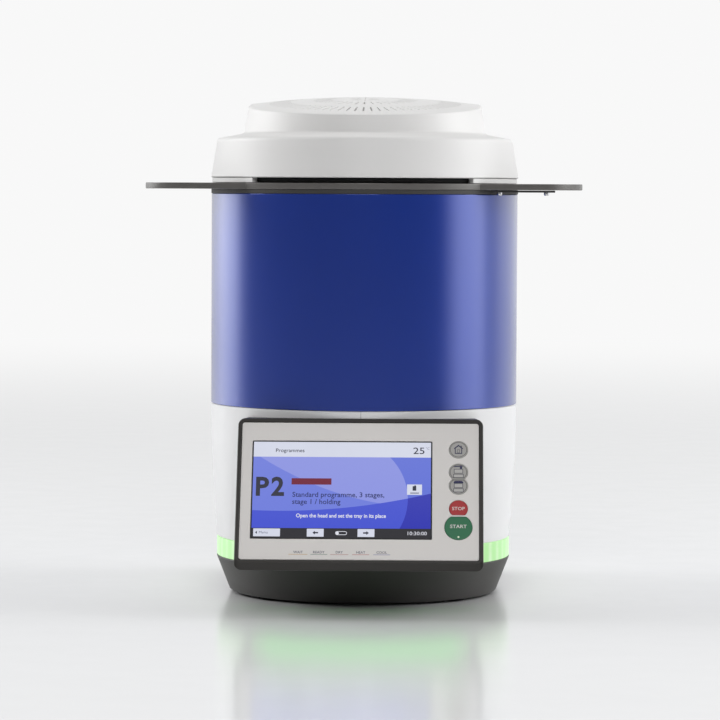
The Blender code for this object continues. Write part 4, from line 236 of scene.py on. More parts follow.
# %% Group: dust that settles on what faces up
dust_group, given, result = open_group(
    "settled_dust",
    "ShaderNodeTree",
    [("Amount", FLOAT, 0.1), ("Specks per metre", FLOAT, 260.0)],
    [("Mask", FLOAT)],
)
facing = add_node(dust_group, "ShaderNodeNewGeometry").outputs["Normal"]
upward = add_node(dust_group, "ShaderNodeSeparateXYZ", {0: facing}).outputs["Z"]
film = noise(dust_group, object_place(dust_group), given[1], 5.0, 0.7)
lying, spread = remap(dust_group, upward, 0.75, 1.0), remap(dust_group, film, 0.35, 0.75)
both = times(dust_group, lying, spread)
hand_over(dust_group, result, times(dust_group, both, given[0], clamp=True))

# %% Group: edges that handling has rubbed bright
wear_group, given, result = open_group(
    "rubbed_edges",
    "ShaderNodeTree",
    [("Amount", FLOAT, 0.5), ("Patches per metre", FLOAT, 90.0)],
    [("Mask", FLOAT)],
)
crease = add_node(wear_group, "ShaderNodeNewGeometry").outputs["Pointiness"]
patchy = noise(wear_group, object_place(wear_group), given[1], 4.0)
edge, broken = remap(wear_group, crease, 0.52, 0.62), remap(wear_group, patchy, 0.35, 0.65)
both = times(wear_group, edge, broken)
hand_over(wear_group, result, times(wear_group, both, given[0], clamp=True))

# %% [markdown]
# ## Finishes
#
# Most pieces are paint, moulded plastic or sheet metal, so one function builds such a finish
# from its colour, gloss and grain, and puts the shared groups in with this finish's own values.
# What is the same all over, such as the metallic value or the coat, is set on the shader itself.

# %% Build a painted, moulded or metal finish
GLOSS_PATCHES = 22.0
TONE_PATCHES = 9.0
METAL_PATCHES = 30.0
DUST_COLOUR = (0.62, 0.61, 0.59, 1.0)


def open_material(name, shader_values):
    """A new material with plain values on its shader; gives back it, its tree and its shader."""
    material = bpy.data.materials.new(name)
    material.use_nodes = True
    tree = material.node_tree
    shader = tree.nodes["Principled BSDF"]
    for label, number in shader_values.items():
        shader.inputs[label.replace("_", " ")].default_value = number
    return material, tree, shader


def group_node(tree, group, inputs):
    """Put a shared group into a material."""
    node = add_node(tree, "ShaderNodeGroup", node_tree=group)
    for key, value in inputs.items():
        node.inputs[key].default_value = value
    return node


def shade(colour, factor):
    """A colour made lighter or darker."""
    return (*[min(channel * factor, 1.0) for channel in colour], 1.0)


def drift(tree, middle, amount, patches=14.0):
    """A value that changes slowly round its middle."""
    inputs = {"Middle": middle, "Amount": amount, "Patches per metre": patches}
    return group_node(tree, cast_group, inputs).outputs["Value"]


def add_bump(tree, shader, height, depth):
    """Let a height stand out of the surface by a depth in metres."""
    bump = add_node(tree, "ShaderNodeBump", {"Height": height, "Distance": depth, "Strength": 1.0})
    tree.links.new(bump.outputs[0], shader.inputs["Normal"])


def new_finish(
    name, colour, gloss, swing=0.03, grain=900.0, depth=0.00002, tone=0.04, dust=0.0, wear=None, **shader_values
):
    """A finish with slow changes in tone and gloss, a fine grain, dust and rubbed edges."""
    material, tree, shader = open_material(name, shader_values)
    rough = drift(tree, gloss, swing, GLOSS_PATCHES)
    lightness = drift(tree, 0.5, 0.5, TONE_PATCHES)
    grain_node = group_node(tree, grain_group, {"Grains per metre": grain})
    base = mix_colour(tree, lightness, shade(colour, 1 - tone), shade(colour, 1 + tone))
    speck = times(tree, grain_node.outputs["Speck"], tone)
    base = mix_colour(tree, speck, base, shade(colour, 1 - 4 * tone))
    if wear:
        rubbed = group_node(tree, wear_group, {"Amount": wear[0]}).outputs["Mask"]
        base = mix_colour(tree, rubbed, base, (*wear[1], 1.0))
    if dust:
        settled = group_node(tree, dust_group, {"Amount": dust}).outputs["Mask"]
        base = mix_colour(tree, settled, base, DUST_COLOUR)
        rough = math_node(tree, "ADD", rough, times(tree, settled, 0.5))
    tree.links.new(base, shader.inputs["Base Color"])
    tree.links.new(rough, shader.inputs["Roughness"])
    add_bump(tree, shader, grain_node.outputs["Height"], depth)
    return material


def new_metal(name, colour, gloss, stretch, amount=0.12, depth=0.000012, tone=0.08):
    """Bare metal with brush lines along one direction."""
    material, tree, shader = open_material(name, {"Metallic": 1.0})
    brush = group_node(tree, brush_group, {"Stretch": stretch, "Middle": gloss, "Amount": amount})
    lightness = drift(tree, 0.5, 0.6, METAL_PATCHES)
    base = mix_colour(tree, lightness, shade(colour, 1 - tone), shade(colour, 1 + tone))
    tree.links.new(base, shader.inputs["Base Color"])
    tree.links.new(brush.outputs["Roughness"], shader.inputs["Roughness"])
    add_bump(tree, shader, brush.outputs["Height"], depth)
    return material


head_white = new_finish("head_white", (0.83, 0.822, 0.812), 0.42, tone=0.012, dust=0.05)
white_paint = new_finish("housing_white", (0.87, 0.87, 0.875), 0.36, tone=0.012)
dark_tray = new_finish("tray_dark", (0.05, 0.048, 0.045), 0.5, grain=1500.0, depth=0.00004, dust=0.04)
panel_dark = new_finish(
    "panel_frame_dark", (0.044, 0.041, 0.038), 0.42, grain=1500.0, depth=0.00003, Specular_IOR_Level=0.25
)
collar_dark = new_finish("collar_dark", (0.04, 0.038, 0.036), 0.55, grain=1200.0)
rubber = new_finish("black_rubber", (0.016, 0.016, 0.016), 0.78, grain=1800.0, depth=0.00005, dust=0.05)
black_plastic = new_finish("black_plastic", (0.02, 0.02, 0.021), 0.42, grain=1600.0, depth=0.00003)
fascia_pale = new_finish("fascia_pale", (0.84, 0.811, 0.783), 0.52, grain=2200.0, depth=0.00002, tone=0.015)
galvanised = new_metal("galvanised_sheet", (0.48, 0.49, 0.5), 0.42, (220.0, 220.0, 220.0), amount=0.25)
steel = new_metal("bright_steel", (0.6, 0.6, 0.61), 0.24, (2500.0, 2500.0, 120.0))
bronze = new_metal("bearing_bronze", (0.5, 0.31, 0.11), 0.32, (2500.0, 2500.0, 160.0))
print("finishes:", len(bpy.data.materials))

# %% [markdown]
# The plate is cast aluminium with a dark, heat-proof coat that trays and tongs rub bright along
# its edges. The jacket is metallic paint: fine flakes under a clear coat. The flakes are the
# metal part, tinted blue, and the coat adds the pale, untinted sheen that runs down both sides.

# %% Plate, jacket and chamber finishes
plate_grey = new_finish(
    "plate_coat", (0.13, 0.124, 0.117), 0.33, grain=1300.0, depth=0.00005, tone=0.06, dust=0.08,
    wear=(0.35, (0.34, 0.33, 0.32)), Metallic=0.15,
)
blue_paint = new_finish(
    "jacket_blue", (0.002, 0.034, 0.32), 0.3, swing=0.02, grain=2600.0, depth=0.000006, tone=0.05,
    Metallic=0.35, Coat_Weight=1.0, Coat_Roughness=0.18,
)
ceramic = new_finish("ceramic_fibre", (0.78, 0.76, 0.71), 0.92, grain=700.0, depth=0.00025, tone=0.05)
element_grey = new_finish(
    "element_grey", (0.16, 0.145, 0.135), 0.5, grain=1400.0, depth=0.00006, tone=0.15, Metallic=0.5
)
steel_grey = new_finish(
    "cast_zinc", (0.3, 0.3, 0.31), 0.42, grain=1100.0, depth=0.00005, tone=0.08, Metallic=0.8
)
board_green = new_finish("board_green", (0.022, 0.15, 0.065), 0.38, grain=500.0, tone=0.1, Coat_Weight=0.4)
print("finishes:", len(bpy.data.materials))

# %% [markdown]
# ## Light
#
# The furnace stands in a white room with a bright side at its right and at its left, a pale wall
# behind and a dim part behind the camera. The sky of the scene is that room, painted once as a
# panorama round the upright axis. Its stops are directions round the furnace, from the front (0)
# by its right side (0.25), its back (0.5) and its left side (0.75) to the front again. The camera
# and rays through glass see the plain white backdrop. Mirrored rays see the room, whose wall
# behind the furnace is as white: the long sheens down both sides of the jacket come from there.

# %% Paint the room as the world's panorama
# place round the room, brightness
ROOM_STOPS = (
    (0.00, 0.04), (0.17, 0.06), (0.212, 2.7), (0.272, 2.9), (0.294, 0.95), (0.325, 0.9),
    (0.345, 1.25), (0.42, 1.00), (0.5, 0.8), (0.56, 0.75), (0.6, 1.3), (0.64, 2.7),
    (0.69, 2.7), (0.714, 0.8), (0.74, 0.16), (1.00, 0.04),
)
WINDOW_LIGHT = 3.0
CEILING = 0.45
CEILING_EDGE = (0.35, 0.75)
BACKDROP = 0.94

world = bpy.data.worlds.new("white_room")
scene.world = world
world.use_nodes = True
tree = world.node_tree
tree.nodes.clear()
towards = add_node(tree, "ShaderNodeTexCoord").outputs["Generated"]
turned = {"Vector": towards, "Rotation": (0.0, 0.0, math.radians(-90))}
turned = add_node(tree, "ShaderNodeMapping", turned, vector_type="POINT")
round_room = add_node(tree, "ShaderNodeTexGradient", {"Vector": turned.outputs[0]}, gradient_type="RADIAL")
panorama = add_node(tree, "ShaderNodeValToRGB", {"Fac": round_room.outputs["Fac"]})
ramp = panorama.color_ramp
for index, (position, _) in enumerate(ROOM_STOPS):
    stop = ramp.elements[index] if index < 2 else ramp.elements.new(position)
    stop.position = position
for (position, light), stop in zip(ROOM_STOPS, sorted(ramp.elements, key=lambda item: item.position)):
    share = light / WINDOW_LIGHT
    stop.color = (share * 0.99, share, share * 1.01, 1.0)
height = add_node(tree, "ShaderNodeSeparateXYZ", {0: towards}).outputs["Z"]
top_share = CEILING / WINDOW_LIGHT
ceiling_colour = (top_share, top_share, top_share, 1.0)
room = mix_colour(tree, remap(tree, height, *CEILING_EDGE), panorama.outputs["Color"], ceiling_colour)
seen_room = add_node(tree, "ShaderNodeBackground", {"Color": room, "Strength": WINDOW_LIGHT})
backdrop = add_node(tree, "ShaderNodeBackground", {"Color": (1.0, 1.0, 1.0, 1.0), "Strength": BACKDROP})
path = add_node(tree, "ShaderNodeLightPath").outputs
direct = math_node(tree, "MAXIMUM", path["Is Camera Ray"], path["Is Transmission Ray"])
chosen = add_node(tree, "ShaderNodeMixShader", {0: direct, 1: seen_room.outputs[0], 2: backdrop.outputs[0]})
add_node(tree, "ShaderNodeOutputWorld", {"Surface": chosen.outputs[0]})
print("room stops:", len(ROOM_STOPS))

# %% [markdown]
# Four large soft boxes model the form. One hangs overhead and behind. One stands in front, above
# the camera, so far up that the panel and the upright walls don't mirror it. The two at the sides
# stand a little behind the furnace, so that the head is lighter at its sides than in its middle.
# The bench is a white, polished top. It keeps the shadow under the tray and mirrors the green glow
# softly. Seen by the camera it fades into the backdrop with distance, so it ends in no line.

# %% Soft boxes and the bench
BENCH_SIZE = 14.0
FADE_START = 0.5
FADE_END = 5.5
# name, place, point it is turned to, size, power
SOFT_BOXES = (
    ("overhead_box", (0.1, 0.7, 2.4), (0.0, 0.0, 0.3), 1.8, 3.0),
    ("front_box", (0.0, -2.7, 1.9), (0.0, 0.0, 0.25), 1.2, 20.5),
    ("left_box", (-2.4, 0.5, 1.5), (0.0, 0.0, 0.25), 1.3, 26.0),
    ("right_box", (2.4, 0.5, 1.5), (0.0, 0.0, 0.25), 1.3, 20.0),
)


def soft_box(name, place, aim, size, power):
    """A square area lamp turned towards a point."""
    lamp = bpy.data.lights.new(name, "AREA")
    lamp.energy = power
    lamp.shape = "SQUARE"
    lamp.size = size
    thing = add_object(name, lamp)
    facing = (Vector(aim) - Vector(place)).to_track_quat("-Z", "Y").to_matrix().to_4x4()
    thing.matrix_world = Matrix.Translation(place) @ facing


for settings in SOFT_BOXES:
    soft_box(*settings)
bench_mesh = bpy.data.meshes.new("bench_top")
half = BENCH_SIZE / 2
corners = [(-half, -half, 0), (half, -half, 0), (half, half, 0), (-half, half, 0)]
bench_mesh.from_pydata(corners, [], [(0, 1, 2, 3)])
bench = add_object("bench_top", bench_mesh)
bench_white = new_finish(
    "bench_white", (0.88, 0.88, 0.885), 0.17, swing=0.02, grain=60.0, depth=0.0, tone=0.01, Specular_IOR_Level=0.35
)
bench_mesh.materials.append(bench_white)
tree = bench_white.node_tree
distance = add_node(tree, "ShaderNodeVectorMath", {0: object_place(tree)}, operation="LENGTH").outputs["Value"]
far_off = remap(tree, distance, FADE_START, FADE_END, interpolation_type="SMOOTHSTEP")
seen = times(tree, far_off, add_node(tree, "ShaderNodeLightPath").outputs["Is Camera Ray"])
same_white = add_node(tree, "ShaderNodeEmission", {"Color": (1.0, 1.0, 1.0, 1.0), "Strength": BACKDROP})
table_top = tree.nodes["Principled BSDF"]
faded = add_node(tree, "ShaderNodeMixShader", {0: seen, 1: table_top.outputs[0], 2: same_white.outputs[0]})
tree.links.new(faded.outputs[0], tree.nodes["Material Output"].inputs["Surface"])
bench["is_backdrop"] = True
print("bench:", BENCH_SIZE, "m square")

# %% [markdown]
# ## A small kit for shapes
#
# Every large piece of the furnace has the same plan: a half-round front, straight sides and a
# flat back with round corners. One function draws that plan, drawn in by an inset. Rings of
# points are then skinned into closed shells, and a last helper gives the finished mesh its
# smooth shading, material and body, and hides the CAD nodes that it stands for.

# %% Plan of the body
jacket_low, jacket_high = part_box("upper_jacket")
BODY_RADIUS = jacket_high.x
REAR_Y = jacket_high.y
REAR_CORNER = 0.06
FRONT_STEPS = 144
CORNER_STEPS = 20
SIDE_STEPS = 6


def arc(centre, radius, start, end, steps):
    """Points of an arc in a plane, both ends included."""
    angles = [start + (end - start) * index / steps for index in range(steps + 1)]
    return [(centre[0] + radius * math.cos(angle), centre[1] + radius * math.sin(angle)) for angle in angles]


def between(first, last, steps):
    """Points strictly between two points of a plane."""
    shares = [index / steps for index in range(1, steps)]
    return [(first[0] + (last[0] - first[0]) * s, first[1] + (last[1] - first[1]) * s) for s in shares]


def plan(inset, rear_inset=None):
    """The body's plan drawn in by an inset, anticlockwise from the right side."""
    rear_inset = inset if rear_inset is None else rear_inset
    radius = BODY_RADIUS - inset
    corner = max(REAR_CORNER - inset, 0.004)
    corner_x = radius - corner
    corner_y = REAR_Y - rear_inset - corner
    right = arc((corner_x, corner_y), corner, 0, math.pi / 2, CORNER_STEPS)
    left = arc((-corner_x, corner_y), corner, math.pi / 2, math.pi, CORNER_STEPS)
    front = arc((0, 0), radius, math.pi, 2 * math.pi, FRONT_STEPS)
    points = right + between(right[-1], left[0], SIDE_STEPS) + left + between(left[-1], front[0], SIDE_STEPS)
    return points + front + between(front[-1], right[0], SIDE_STEPS)


def circle(centre, radius, steps=96):
    """Points of a full circle in a plane."""
    return arc(centre, radius, 0, 2 * math.pi, steps)[:-1]


def rounded(low, high, radius, steps=12):
    """Outline of a rectangle with round corners, anticlockwise."""
    quarter = math.pi / 2
    points = arc((high[0] - radius, low[1] + radius), radius, -quarter, 0, steps)
    points += arc((high[0] - radius, high[1] - radius), radius, 0, quarter, steps)
    points += arc((low[0] + radius, high[1] - radius), radius, quarter, 2 * quarter, steps)
    return points + arc((low[0] + radius, low[1] + radius), radius, 2 * quarter, 3 * quarter, steps)


def level(outline, z):
    """Lift a plane outline to a height."""
    return [(x, y, z) for x, y in outline]


def upright(outline, y):
    """Stand an outline of (x, z) points upright at a place along Y."""
    return [(x, y, z) for x, z in outline]


def skin(mesh, rings, looped=False):
    """Skin rings of points into a closed body, capped or joined end to end."""
    loops = [[mesh.verts.new(point) for point in ring] for ring in rings]
    pairs = list(zip(loops, loops[1:])) + ([(loops[-1], loops[0])] if looped else [])
    for near, far in pairs:
        for index, corner in enumerate(near):
            after = (index + 1) % len(near)
            mesh.faces.new((corner, near[after], far[after], far[index]))
    if not looped:
        mesh.faces.new(loops[0])
        mesh.faces.new(loops[-1])
    return mesh


def turned_body(centre, profile, steps=96, looped=False):
    """Turn a profile of (radius, height) points about an upright axis."""
    return skin(bmesh.new(), [level(circle(centre, radius, steps), z) for radius, z in profile], looped)


def prism(outline, bottom, top):
    """An outline extruded upward."""
    return skin(bmesh.new(), [level(outline, bottom), level(outline, top)])


def box_mesh(low, high):
    """A box between two corners, used as a cutter."""
    return prism([(low[0], low[1]), (high[0], low[1]), (high[0], high[1]), (low[0], high[1])], low[2], high[2])


print("plan:", len(plan(0)), "points round, radius", round(BODY_RADIUS, 4), "rear", round(REAR_Y, 4))

# %% Helpers that carve, shade and place a piece
SMOOTH_ANGLE = math.radians(32)


def as_mesh(source, name="work"):
    """A bmesh or mesh as mesh data with its faces pointing out."""
    if isinstance(source, bpy.types.Mesh):
        return source
    bmesh.ops.recalc_face_normals(source, faces=source.faces)
    mesh = bpy.data.meshes.new(name)
    source.to_mesh(mesh)
    source.free()
    return mesh


def evaluated(thing):
    """The mesh that an object's modifiers make, as plain data."""
    bpy.context.view_layer.update()
    mesh = bpy.data.meshes.new_from_object(thing.evaluated_get(bpy.context.evaluated_depsgraph_get()))
    bpy.data.objects.remove(thing)
    return mesh


def worked(source, *modifiers):
    """Run modifiers, given as (type, settings), over a mesh and give back plain data."""
    thing = add_object("work", as_mesh(source))
    for kind, settings in modifiers:
        modifier = thing.modifiers.new(kind.lower(), kind)
        for label, value in settings.items():
            setattr(modifier, label, value)
    return evaluated(thing)


def carved(source, *cutters, operation="DIFFERENCE"):
    """Take cutters out of a solid, or join or keep their shape, with exact Booleans."""
    tools = [add_object("cutter", as_mesh(cutter, "cutter")) for cutter in cutters]
    settings = [("BOOLEAN", {"object": tool, "operation": operation, "solver": "EXACT"}) for tool in tools]
    mesh = worked(source, *settings)
    for tool in tools:
        bpy.data.objects.remove(tool)
    return mesh


def new_piece(name, source, material, body="furnace_body", stands_for=(), angle=SMOOTH_ANGLE):
    """Shade a mesh, give it its material and body, and hide the CAD nodes that it stands for."""
    mesh = as_mesh(source, name)
    mesh.name = name
    mesh.materials.clear()
    mesh.materials.append(material)
    mesh.polygons.foreach_set("material_index", [0] * len(mesh.polygons))
    mesh.shade_smooth()
    mesh.set_sharp_from_angle(angle=angle)
    mesh = worked(mesh, ("WEIGHTED_NORMAL", {"keep_sharp": True, "weight": 70}))
    mesh.name = name
    piece = add_object(name, mesh)
    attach(piece, body)
    if stands_for:
        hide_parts(*stands_for)
    print(name, len(mesh.polygons), "faces")
    return piece


print("shape helpers ready")

# %% [markdown]
# ## Bands that follow the plan
#
# The jacket, the light ring, the head's ring and its seal are all the same thing: a narrow wall
# with eased edges that runs once round the plan. That is a rule, so a Geometry Nodes tree makes
# them: it takes the plan's outline, sweeps a rounded rectangle along it and sets the material.
# The inset, height, wall and edge are inputs, so four pieces come from one tree. Every tree ends
# in the same two nodes: one makes real geometry of all copies, one sets the material.

# %% Geometry Nodes: a wall swept round an outline
GEOMETRY = "NodeSocketGeometry"
MATERIAL = "NodeSocketMaterial"


def eased_rectangle(tree, width, height, radius):
    """A rectangle whose corners are rounded in four steps, as a curve."""
    plain = {"Width": width, "Height": height}
    plain = add_node(tree, "GeometryNodeCurvePrimitiveQuadrilateral", plain, mode="RECTANGLE").outputs[0]
    rounding = {"Curve": plain, "Radius": radius, "Count": 4, "Limit Radius": True}
    return add_node(tree, "GeometryNodeFilletCurve", rounding, mode="POLY").outputs[0]


def end_tree(tree, geometry, finish, result):
    """Make real geometry of all copies, set the material and hand the result over."""
    real = add_node(tree, "GeometryNodeRealizeInstances", {"Geometry": geometry}).outputs[0]
    finished = add_node(tree, "GeometryNodeSetMaterial", {"Geometry": real, "Material": finish})
    tree.links.new(finished.outputs[0], result[0])
    print("tree:", tree.name, len(tree.nodes), "nodes")


band_tree, given, result = open_group(
    "band_round_outline",
    "GeometryNodeTree",
    [
        ("Outline", GEOMETRY, None), ("Inset", FLOAT, 0.0), ("Bottom", FLOAT, 0.0), ("Height", FLOAT, 0.02),
        ("Wall", FLOAT, 0.003), ("Edge", FLOAT, 0.0006), ("Finish", MATERIAL, None),
    ],
    [("Geometry", GEOMETRY)],
)
line = add_node(band_tree, "GeometryNodeMeshToCurve", {"Mesh": given["Outline"]}).outputs[0]
line = add_node(band_tree, "GeometryNodeSetCurveNormal", {"Curve": line}, mode="Z_UP").outputs[0]
section = eased_rectangle(band_tree, given["Wall"], given["Height"], given["Edge"])
half_wall = times(band_tree, given["Wall"], 0.5)
half_height = times(band_tree, given["Height"], 0.5)
middle = math_node(band_tree, "ADD", given["Bottom"], half_height)
inward = times(band_tree, math_node(band_tree, "ADD", given["Inset"], half_wall), -1.0)
offset = add_node(band_tree, "ShaderNodeCombineXYZ", {"X": inward}).outputs[0]
placed = add_node(band_tree, "GeometryNodeTransform", {"Geometry": section, "Translation": offset})
swept = add_node(band_tree, "GeometryNodeCurveToMesh", {"Curve": line, "Profile Curve": placed.outputs[0]})
lift = add_node(band_tree, "ShaderNodeCombineXYZ", {"Z": middle}).outputs[0]
raised = add_node(band_tree, "GeometryNodeSetPosition", {"Geometry": swept.outputs[0], "Offset": lift})
end_tree(band_tree, raised.outputs[0], given["Finish"], result)


# %% Run a Geometry Nodes tree
def grown(tree, points, edges=(), **inputs):
    """Run a tree over points and edges, with its named inputs, and give back a plain mesh."""
    start = bpy.data.meshes.new("start")
    start.from_pydata([tuple(point) for point in points], list(edges), [])
    carrier = add_object("start", start)
    modifier = carrier.modifiers.new("grow", "NODES")
    modifier.node_group = tree
    sockets = [item for item in tree.interface.items_tree if item.item_type == "SOCKET" and item.in_out == "INPUT"]
    identifiers = {item.name.replace(" ", "_").lower(): item.identifier for item in sockets}
    for label, value in inputs.items():
        modifier[identifiers[label]] = value
    mesh = evaluated(carrier)
    bpy.data.meshes.remove(start)
    return mesh


def band(finish, inset, bottom, height, wall, edge=0.0006):
    """A wall round the body's plan."""
    outline = level(plan(0), 0.0)
    edges = [(index, (index + 1) % len(outline)) for index in range(len(outline))]
    size = {"inset": inset, "bottom": bottom, "height": height, "wall": wall, "edge": edge}
    return grown(band_tree, outline, edges, finish=finish, **size)


print("band tree runs round", len(plan(0)), "points")

# %% [markdown]
# ## Feet and base tray
#
# The tray is a dark structural foam moulding that draws in towards the bench, on four moulded
# rubber feet. Its flat bottom has a field of intake slots, because the fan behind draws its air
# from below. The slots are a row of one shape, so a tree makes the cutters for them.

# %% Geometry Nodes: cutters in a row or round an axis
# a rounding of exactly half the width would leave the ends with double points
ALMOST_HALF = 0.499

slot_tree, given, result = open_group(
    "slot_cutters",
    "GeometryNodeTree",
    [
        ("Start", GEOMETRY, None), ("Count", "NodeSocketInt", 9), ("Length", FLOAT, 0.05), ("Width", FLOAT, 0.004),
        ("Height", FLOAT, 0.01), ("Step", VECTOR, (0.01, 0.0, 0.0)), ("Turn", FLOAT, 0.0), ("Reach", FLOAT, 0.0),
        ("Finish", MATERIAL, None),
    ],
    [("Geometry", GEOMETRY)],
)
half_width = times(slot_tree, given["Width"], ALMOST_HALF)
ends = eased_rectangle(slot_tree, given["Length"], given["Width"], half_width)
top = add_node(slot_tree, "ShaderNodeCombineXYZ", {"Z": given["Height"]}).outputs[0]
shaft = add_node(slot_tree, "GeometryNodeCurvePrimitiveLine", {"End": top}).outputs[0]
sweep = {"Curve": shaft, "Profile Curve": ends, "Fill Caps": True}
cutter = add_node(slot_tree, "GeometryNodeCurveToMesh", sweep)
away = add_node(slot_tree, "ShaderNodeCombineXYZ", {"X": given["Reach"]}).outputs[0]
moved = add_node(slot_tree, "GeometryNodeTransform", {"Geometry": cutter.outputs[0], "Translation": away})
seats = add_node(slot_tree, "GeometryNodePoints", {"Count": given["Count"]})
order = add_node(slot_tree, "GeometryNodeInputIndex").outputs[0]
along = add_node(slot_tree, "ShaderNodeVectorMath", {0: given["Step"], "Scale": order}, operation="SCALE").outputs[0]
row = add_node(slot_tree, "GeometryNodeSetPosition", {"Geometry": seats.outputs[0], "Offset": along})
angle = times(slot_tree, given["Turn"], order)
facing = add_node(slot_tree, "ShaderNodeCombineXYZ", {"Z": angle}).outputs[0]
copies = {"Points": row.outputs[0], "Instance": moved.outputs[0], "Rotation": facing}
copies = add_node(slot_tree, "GeometryNodeInstanceOnPoints", copies).outputs[0]
end_tree(slot_tree, copies, given["Finish"], result)


def slot_cutters(count, length, width, height, step=(0.0, 0.0, 0.0), turn=0.0, reach=0.0, place=(0.0, 0.0, 0.0)):
    """Round-ended cutters in a row, or round the upright axis at a reach."""
    values = {"count": count, "length": length, "width": width, "height": height, "finish": dark_tray}
    mesh = grown(slot_tree, [(0, 0, 0)], step=step, turn=turn, reach=reach, **values)
    mesh.transform(Matrix.Translation(place))
    return mesh


# %% Feet and base tray
tray_low, tray_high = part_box("base_tray")
TRAY_BOTTOM_INSET = 0.018
TRAY_TOP_INSET = 0.0054
TRAY_EDGE = 0.0012
INTAKE_COUNT = 9
INTAKE_PITCH = 0.01

for name in ("foot_front_left", "foot_front_right", "foot_rear_left", "foot_rear_right"):
    low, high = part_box(name)
    centre = ((low.x + high.x) / 2, (low.y + high.y) / 2)
    radius = (high.x - low.x) / 2
    profile = [
        (radius - 0.003, 0.0), (radius - 0.0006, 0.0002), (radius, 0.0007),
        (radius - 0.0014, high.z - 0.0002), (radius - 0.002, high.z), (0.004, high.z), (0.003, high.z - 0.001),
    ]
    new_piece(name + "_pad", turned_body(centre, profile, 64), rubber, stands_for=[name])


# the wall ends just under the light ring; only the four screw bosses reach into it
TRAY_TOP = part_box("status_light_ring")[0].z - 0.0003


def tray_row(share):
    """The tray's plan at a share of its height, on its straight tapering wall."""
    inset = TRAY_BOTTOM_INSET + (TRAY_TOP_INSET - TRAY_BOTTOM_INSET) * share
    return level(plan(inset), tray_low.z + (TRAY_TOP - tray_low.z) * share)


WALL = 0.003
BOSS_RADIUS = 0.005
BOSS_INSET = 0.034
outside = [level(plan(TRAY_BOTTOM_INSET + TRAY_EDGE), tray_low.z)]
outside += [tray_row(share) for share in (0.045, 0.3, 0.7, 0.97)]
outside.append(level(plan(TRAY_TOP_INSET + 0.0006), TRAY_TOP))
inside = [level(plan(TRAY_TOP_INSET + WALL), TRAY_TOP)]
inside.append(level(plan(TRAY_BOTTOM_INSET + WALL + 0.001), tray_low.z + WALL))
tray = skin(bmesh.new(), outside + inside)
boss_reach = BODY_RADIUS - BOSS_INSET
boss_places = arc((0, 0), boss_reach, math.radians(215), math.radians(325), 2)
boss_places += [(x, REAR_Y - BOSS_INSET) for x in (BOSS_INSET - boss_reach, boss_reach - BOSS_INSET)]
bosses = bmesh.new()
for place in boss_places:
    skin(bosses, [level(circle(place, BOSS_RADIUS, 32), z) for z in (tray_low.z + 0.001, tray_high.z)])
intake = slot_cutters(
    INTAKE_COUNT, 0.004, 0.0499, 0.02, step=(INTAKE_PITCH, 0.0, 0.0),
    place=(-INTAKE_PITCH * (INTAKE_COUNT - 1) / 2, 0.055, tray_low.z - 0.01),
)
tray = carved(carved(tray, bosses, operation="UNION"), intake)
new_piece("base_tray_shell", tray, dark_tray, stands_for=["base_tray"])

# %% [markdown]
# ## Status light
#
# A diffusing strip runs round the furnace between the tray and the white housing. LEDs sit
# behind it every few centimetres, so it glows green with a paler patch over each one. The glow
# changes along the strip, so it feeds the emission colour. Under the panel the strip is not seen
# itself, only its light on the bench, which is a purer and stronger green.

# %% Status light ring
ring_low, ring_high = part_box("status_light_ring")
LIGHT_WALL = 0.003
LED_COUNT = 60
LED_PATCHES = 26.0
UNDER_PANEL = (0.15, 1.45, 0.1, 1.0)
PANEL_REACH = (0.08, 0.1)

glow, tree, shader = open_material("status_green", {"Emission_Strength": 0.88})
parts = add_node(tree, "ShaderNodeSeparateXYZ", {0: object_place(tree)}).outputs
round_angle = math_node(tree, "ARCTAN2", parts["Y"], parts["X"])
wave = math_node(tree, "COSINE", times(tree, round_angle, float(LED_COUNT)))
spot = math_node(tree, "POWER", math_node(tree, "MULTIPLY_ADD", wave, 0.5, 0.5), 2.0)
spot = times(tree, spot, drift(tree, 0.5, 0.9, LED_PATCHES), clamp=True)
green = mix_colour(tree, spot, (0.4, 0.78, 0.3, 1.0), (0.68, 0.86, 0.6, 1.0))
within = remap(tree, math_node(tree, "ABSOLUTE", parts["X"]), *PANEL_REACH, 1.0, 0.0)
behind_panel = times(tree, within, math_node(tree, "LESS_THAN", parts["Y"], 0.0))
tree.links.new(mix_colour(tree, behind_panel, green, UNDER_PANEL), shader.inputs["Emission Color"])
base = mix_colour(tree, spot, (0.08, 0.12, 0.07, 1.0), (0.13, 0.16, 0.12, 1.0))
tree.links.new(base, shader.inputs["Base Color"])
tree.links.new(drift(tree, 0.28, 0.04), shader.inputs["Roughness"])
RING_INSET = BODY_RADIUS - ring_high.x
strip = band(glow, RING_INSET, ring_low.z, ring_high.z - ring_low.z, LIGHT_WALL, 0.0004)
new_piece("status_light", strip, glow, stands_for=["status_light_ring"])

# %% [markdown]
# ## Lower housing
#
# Two white mouldings meet on the centre line with a hair-thin parting line. The wall leans in
# towards the light ring on a smooth curve. The shell is lofted from a dozen sections of the
# plan, split on the centre line, and opened for the rear panel and for the panel's cables.

# %% Lower housing halves
left_low, left_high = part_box("lower_housing_left")
right_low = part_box("lower_housing_right")[0]
LOWER_Z = left_low.z
LOWER_TOP_Z = left_high.z
LOWER_TAPER = 0.006
LOWER_REAR_INSET = REAR_Y - left_high.y
SEAM_HALF = right_low.x
LOWER_EDGE = 0.0007
HEIGHT_SHARES = (0.0, 0.2, 0.45, 0.72, 1.0)
TAPER_SHARES = (1.0, 0.66, 0.34, 0.1, 0.0)


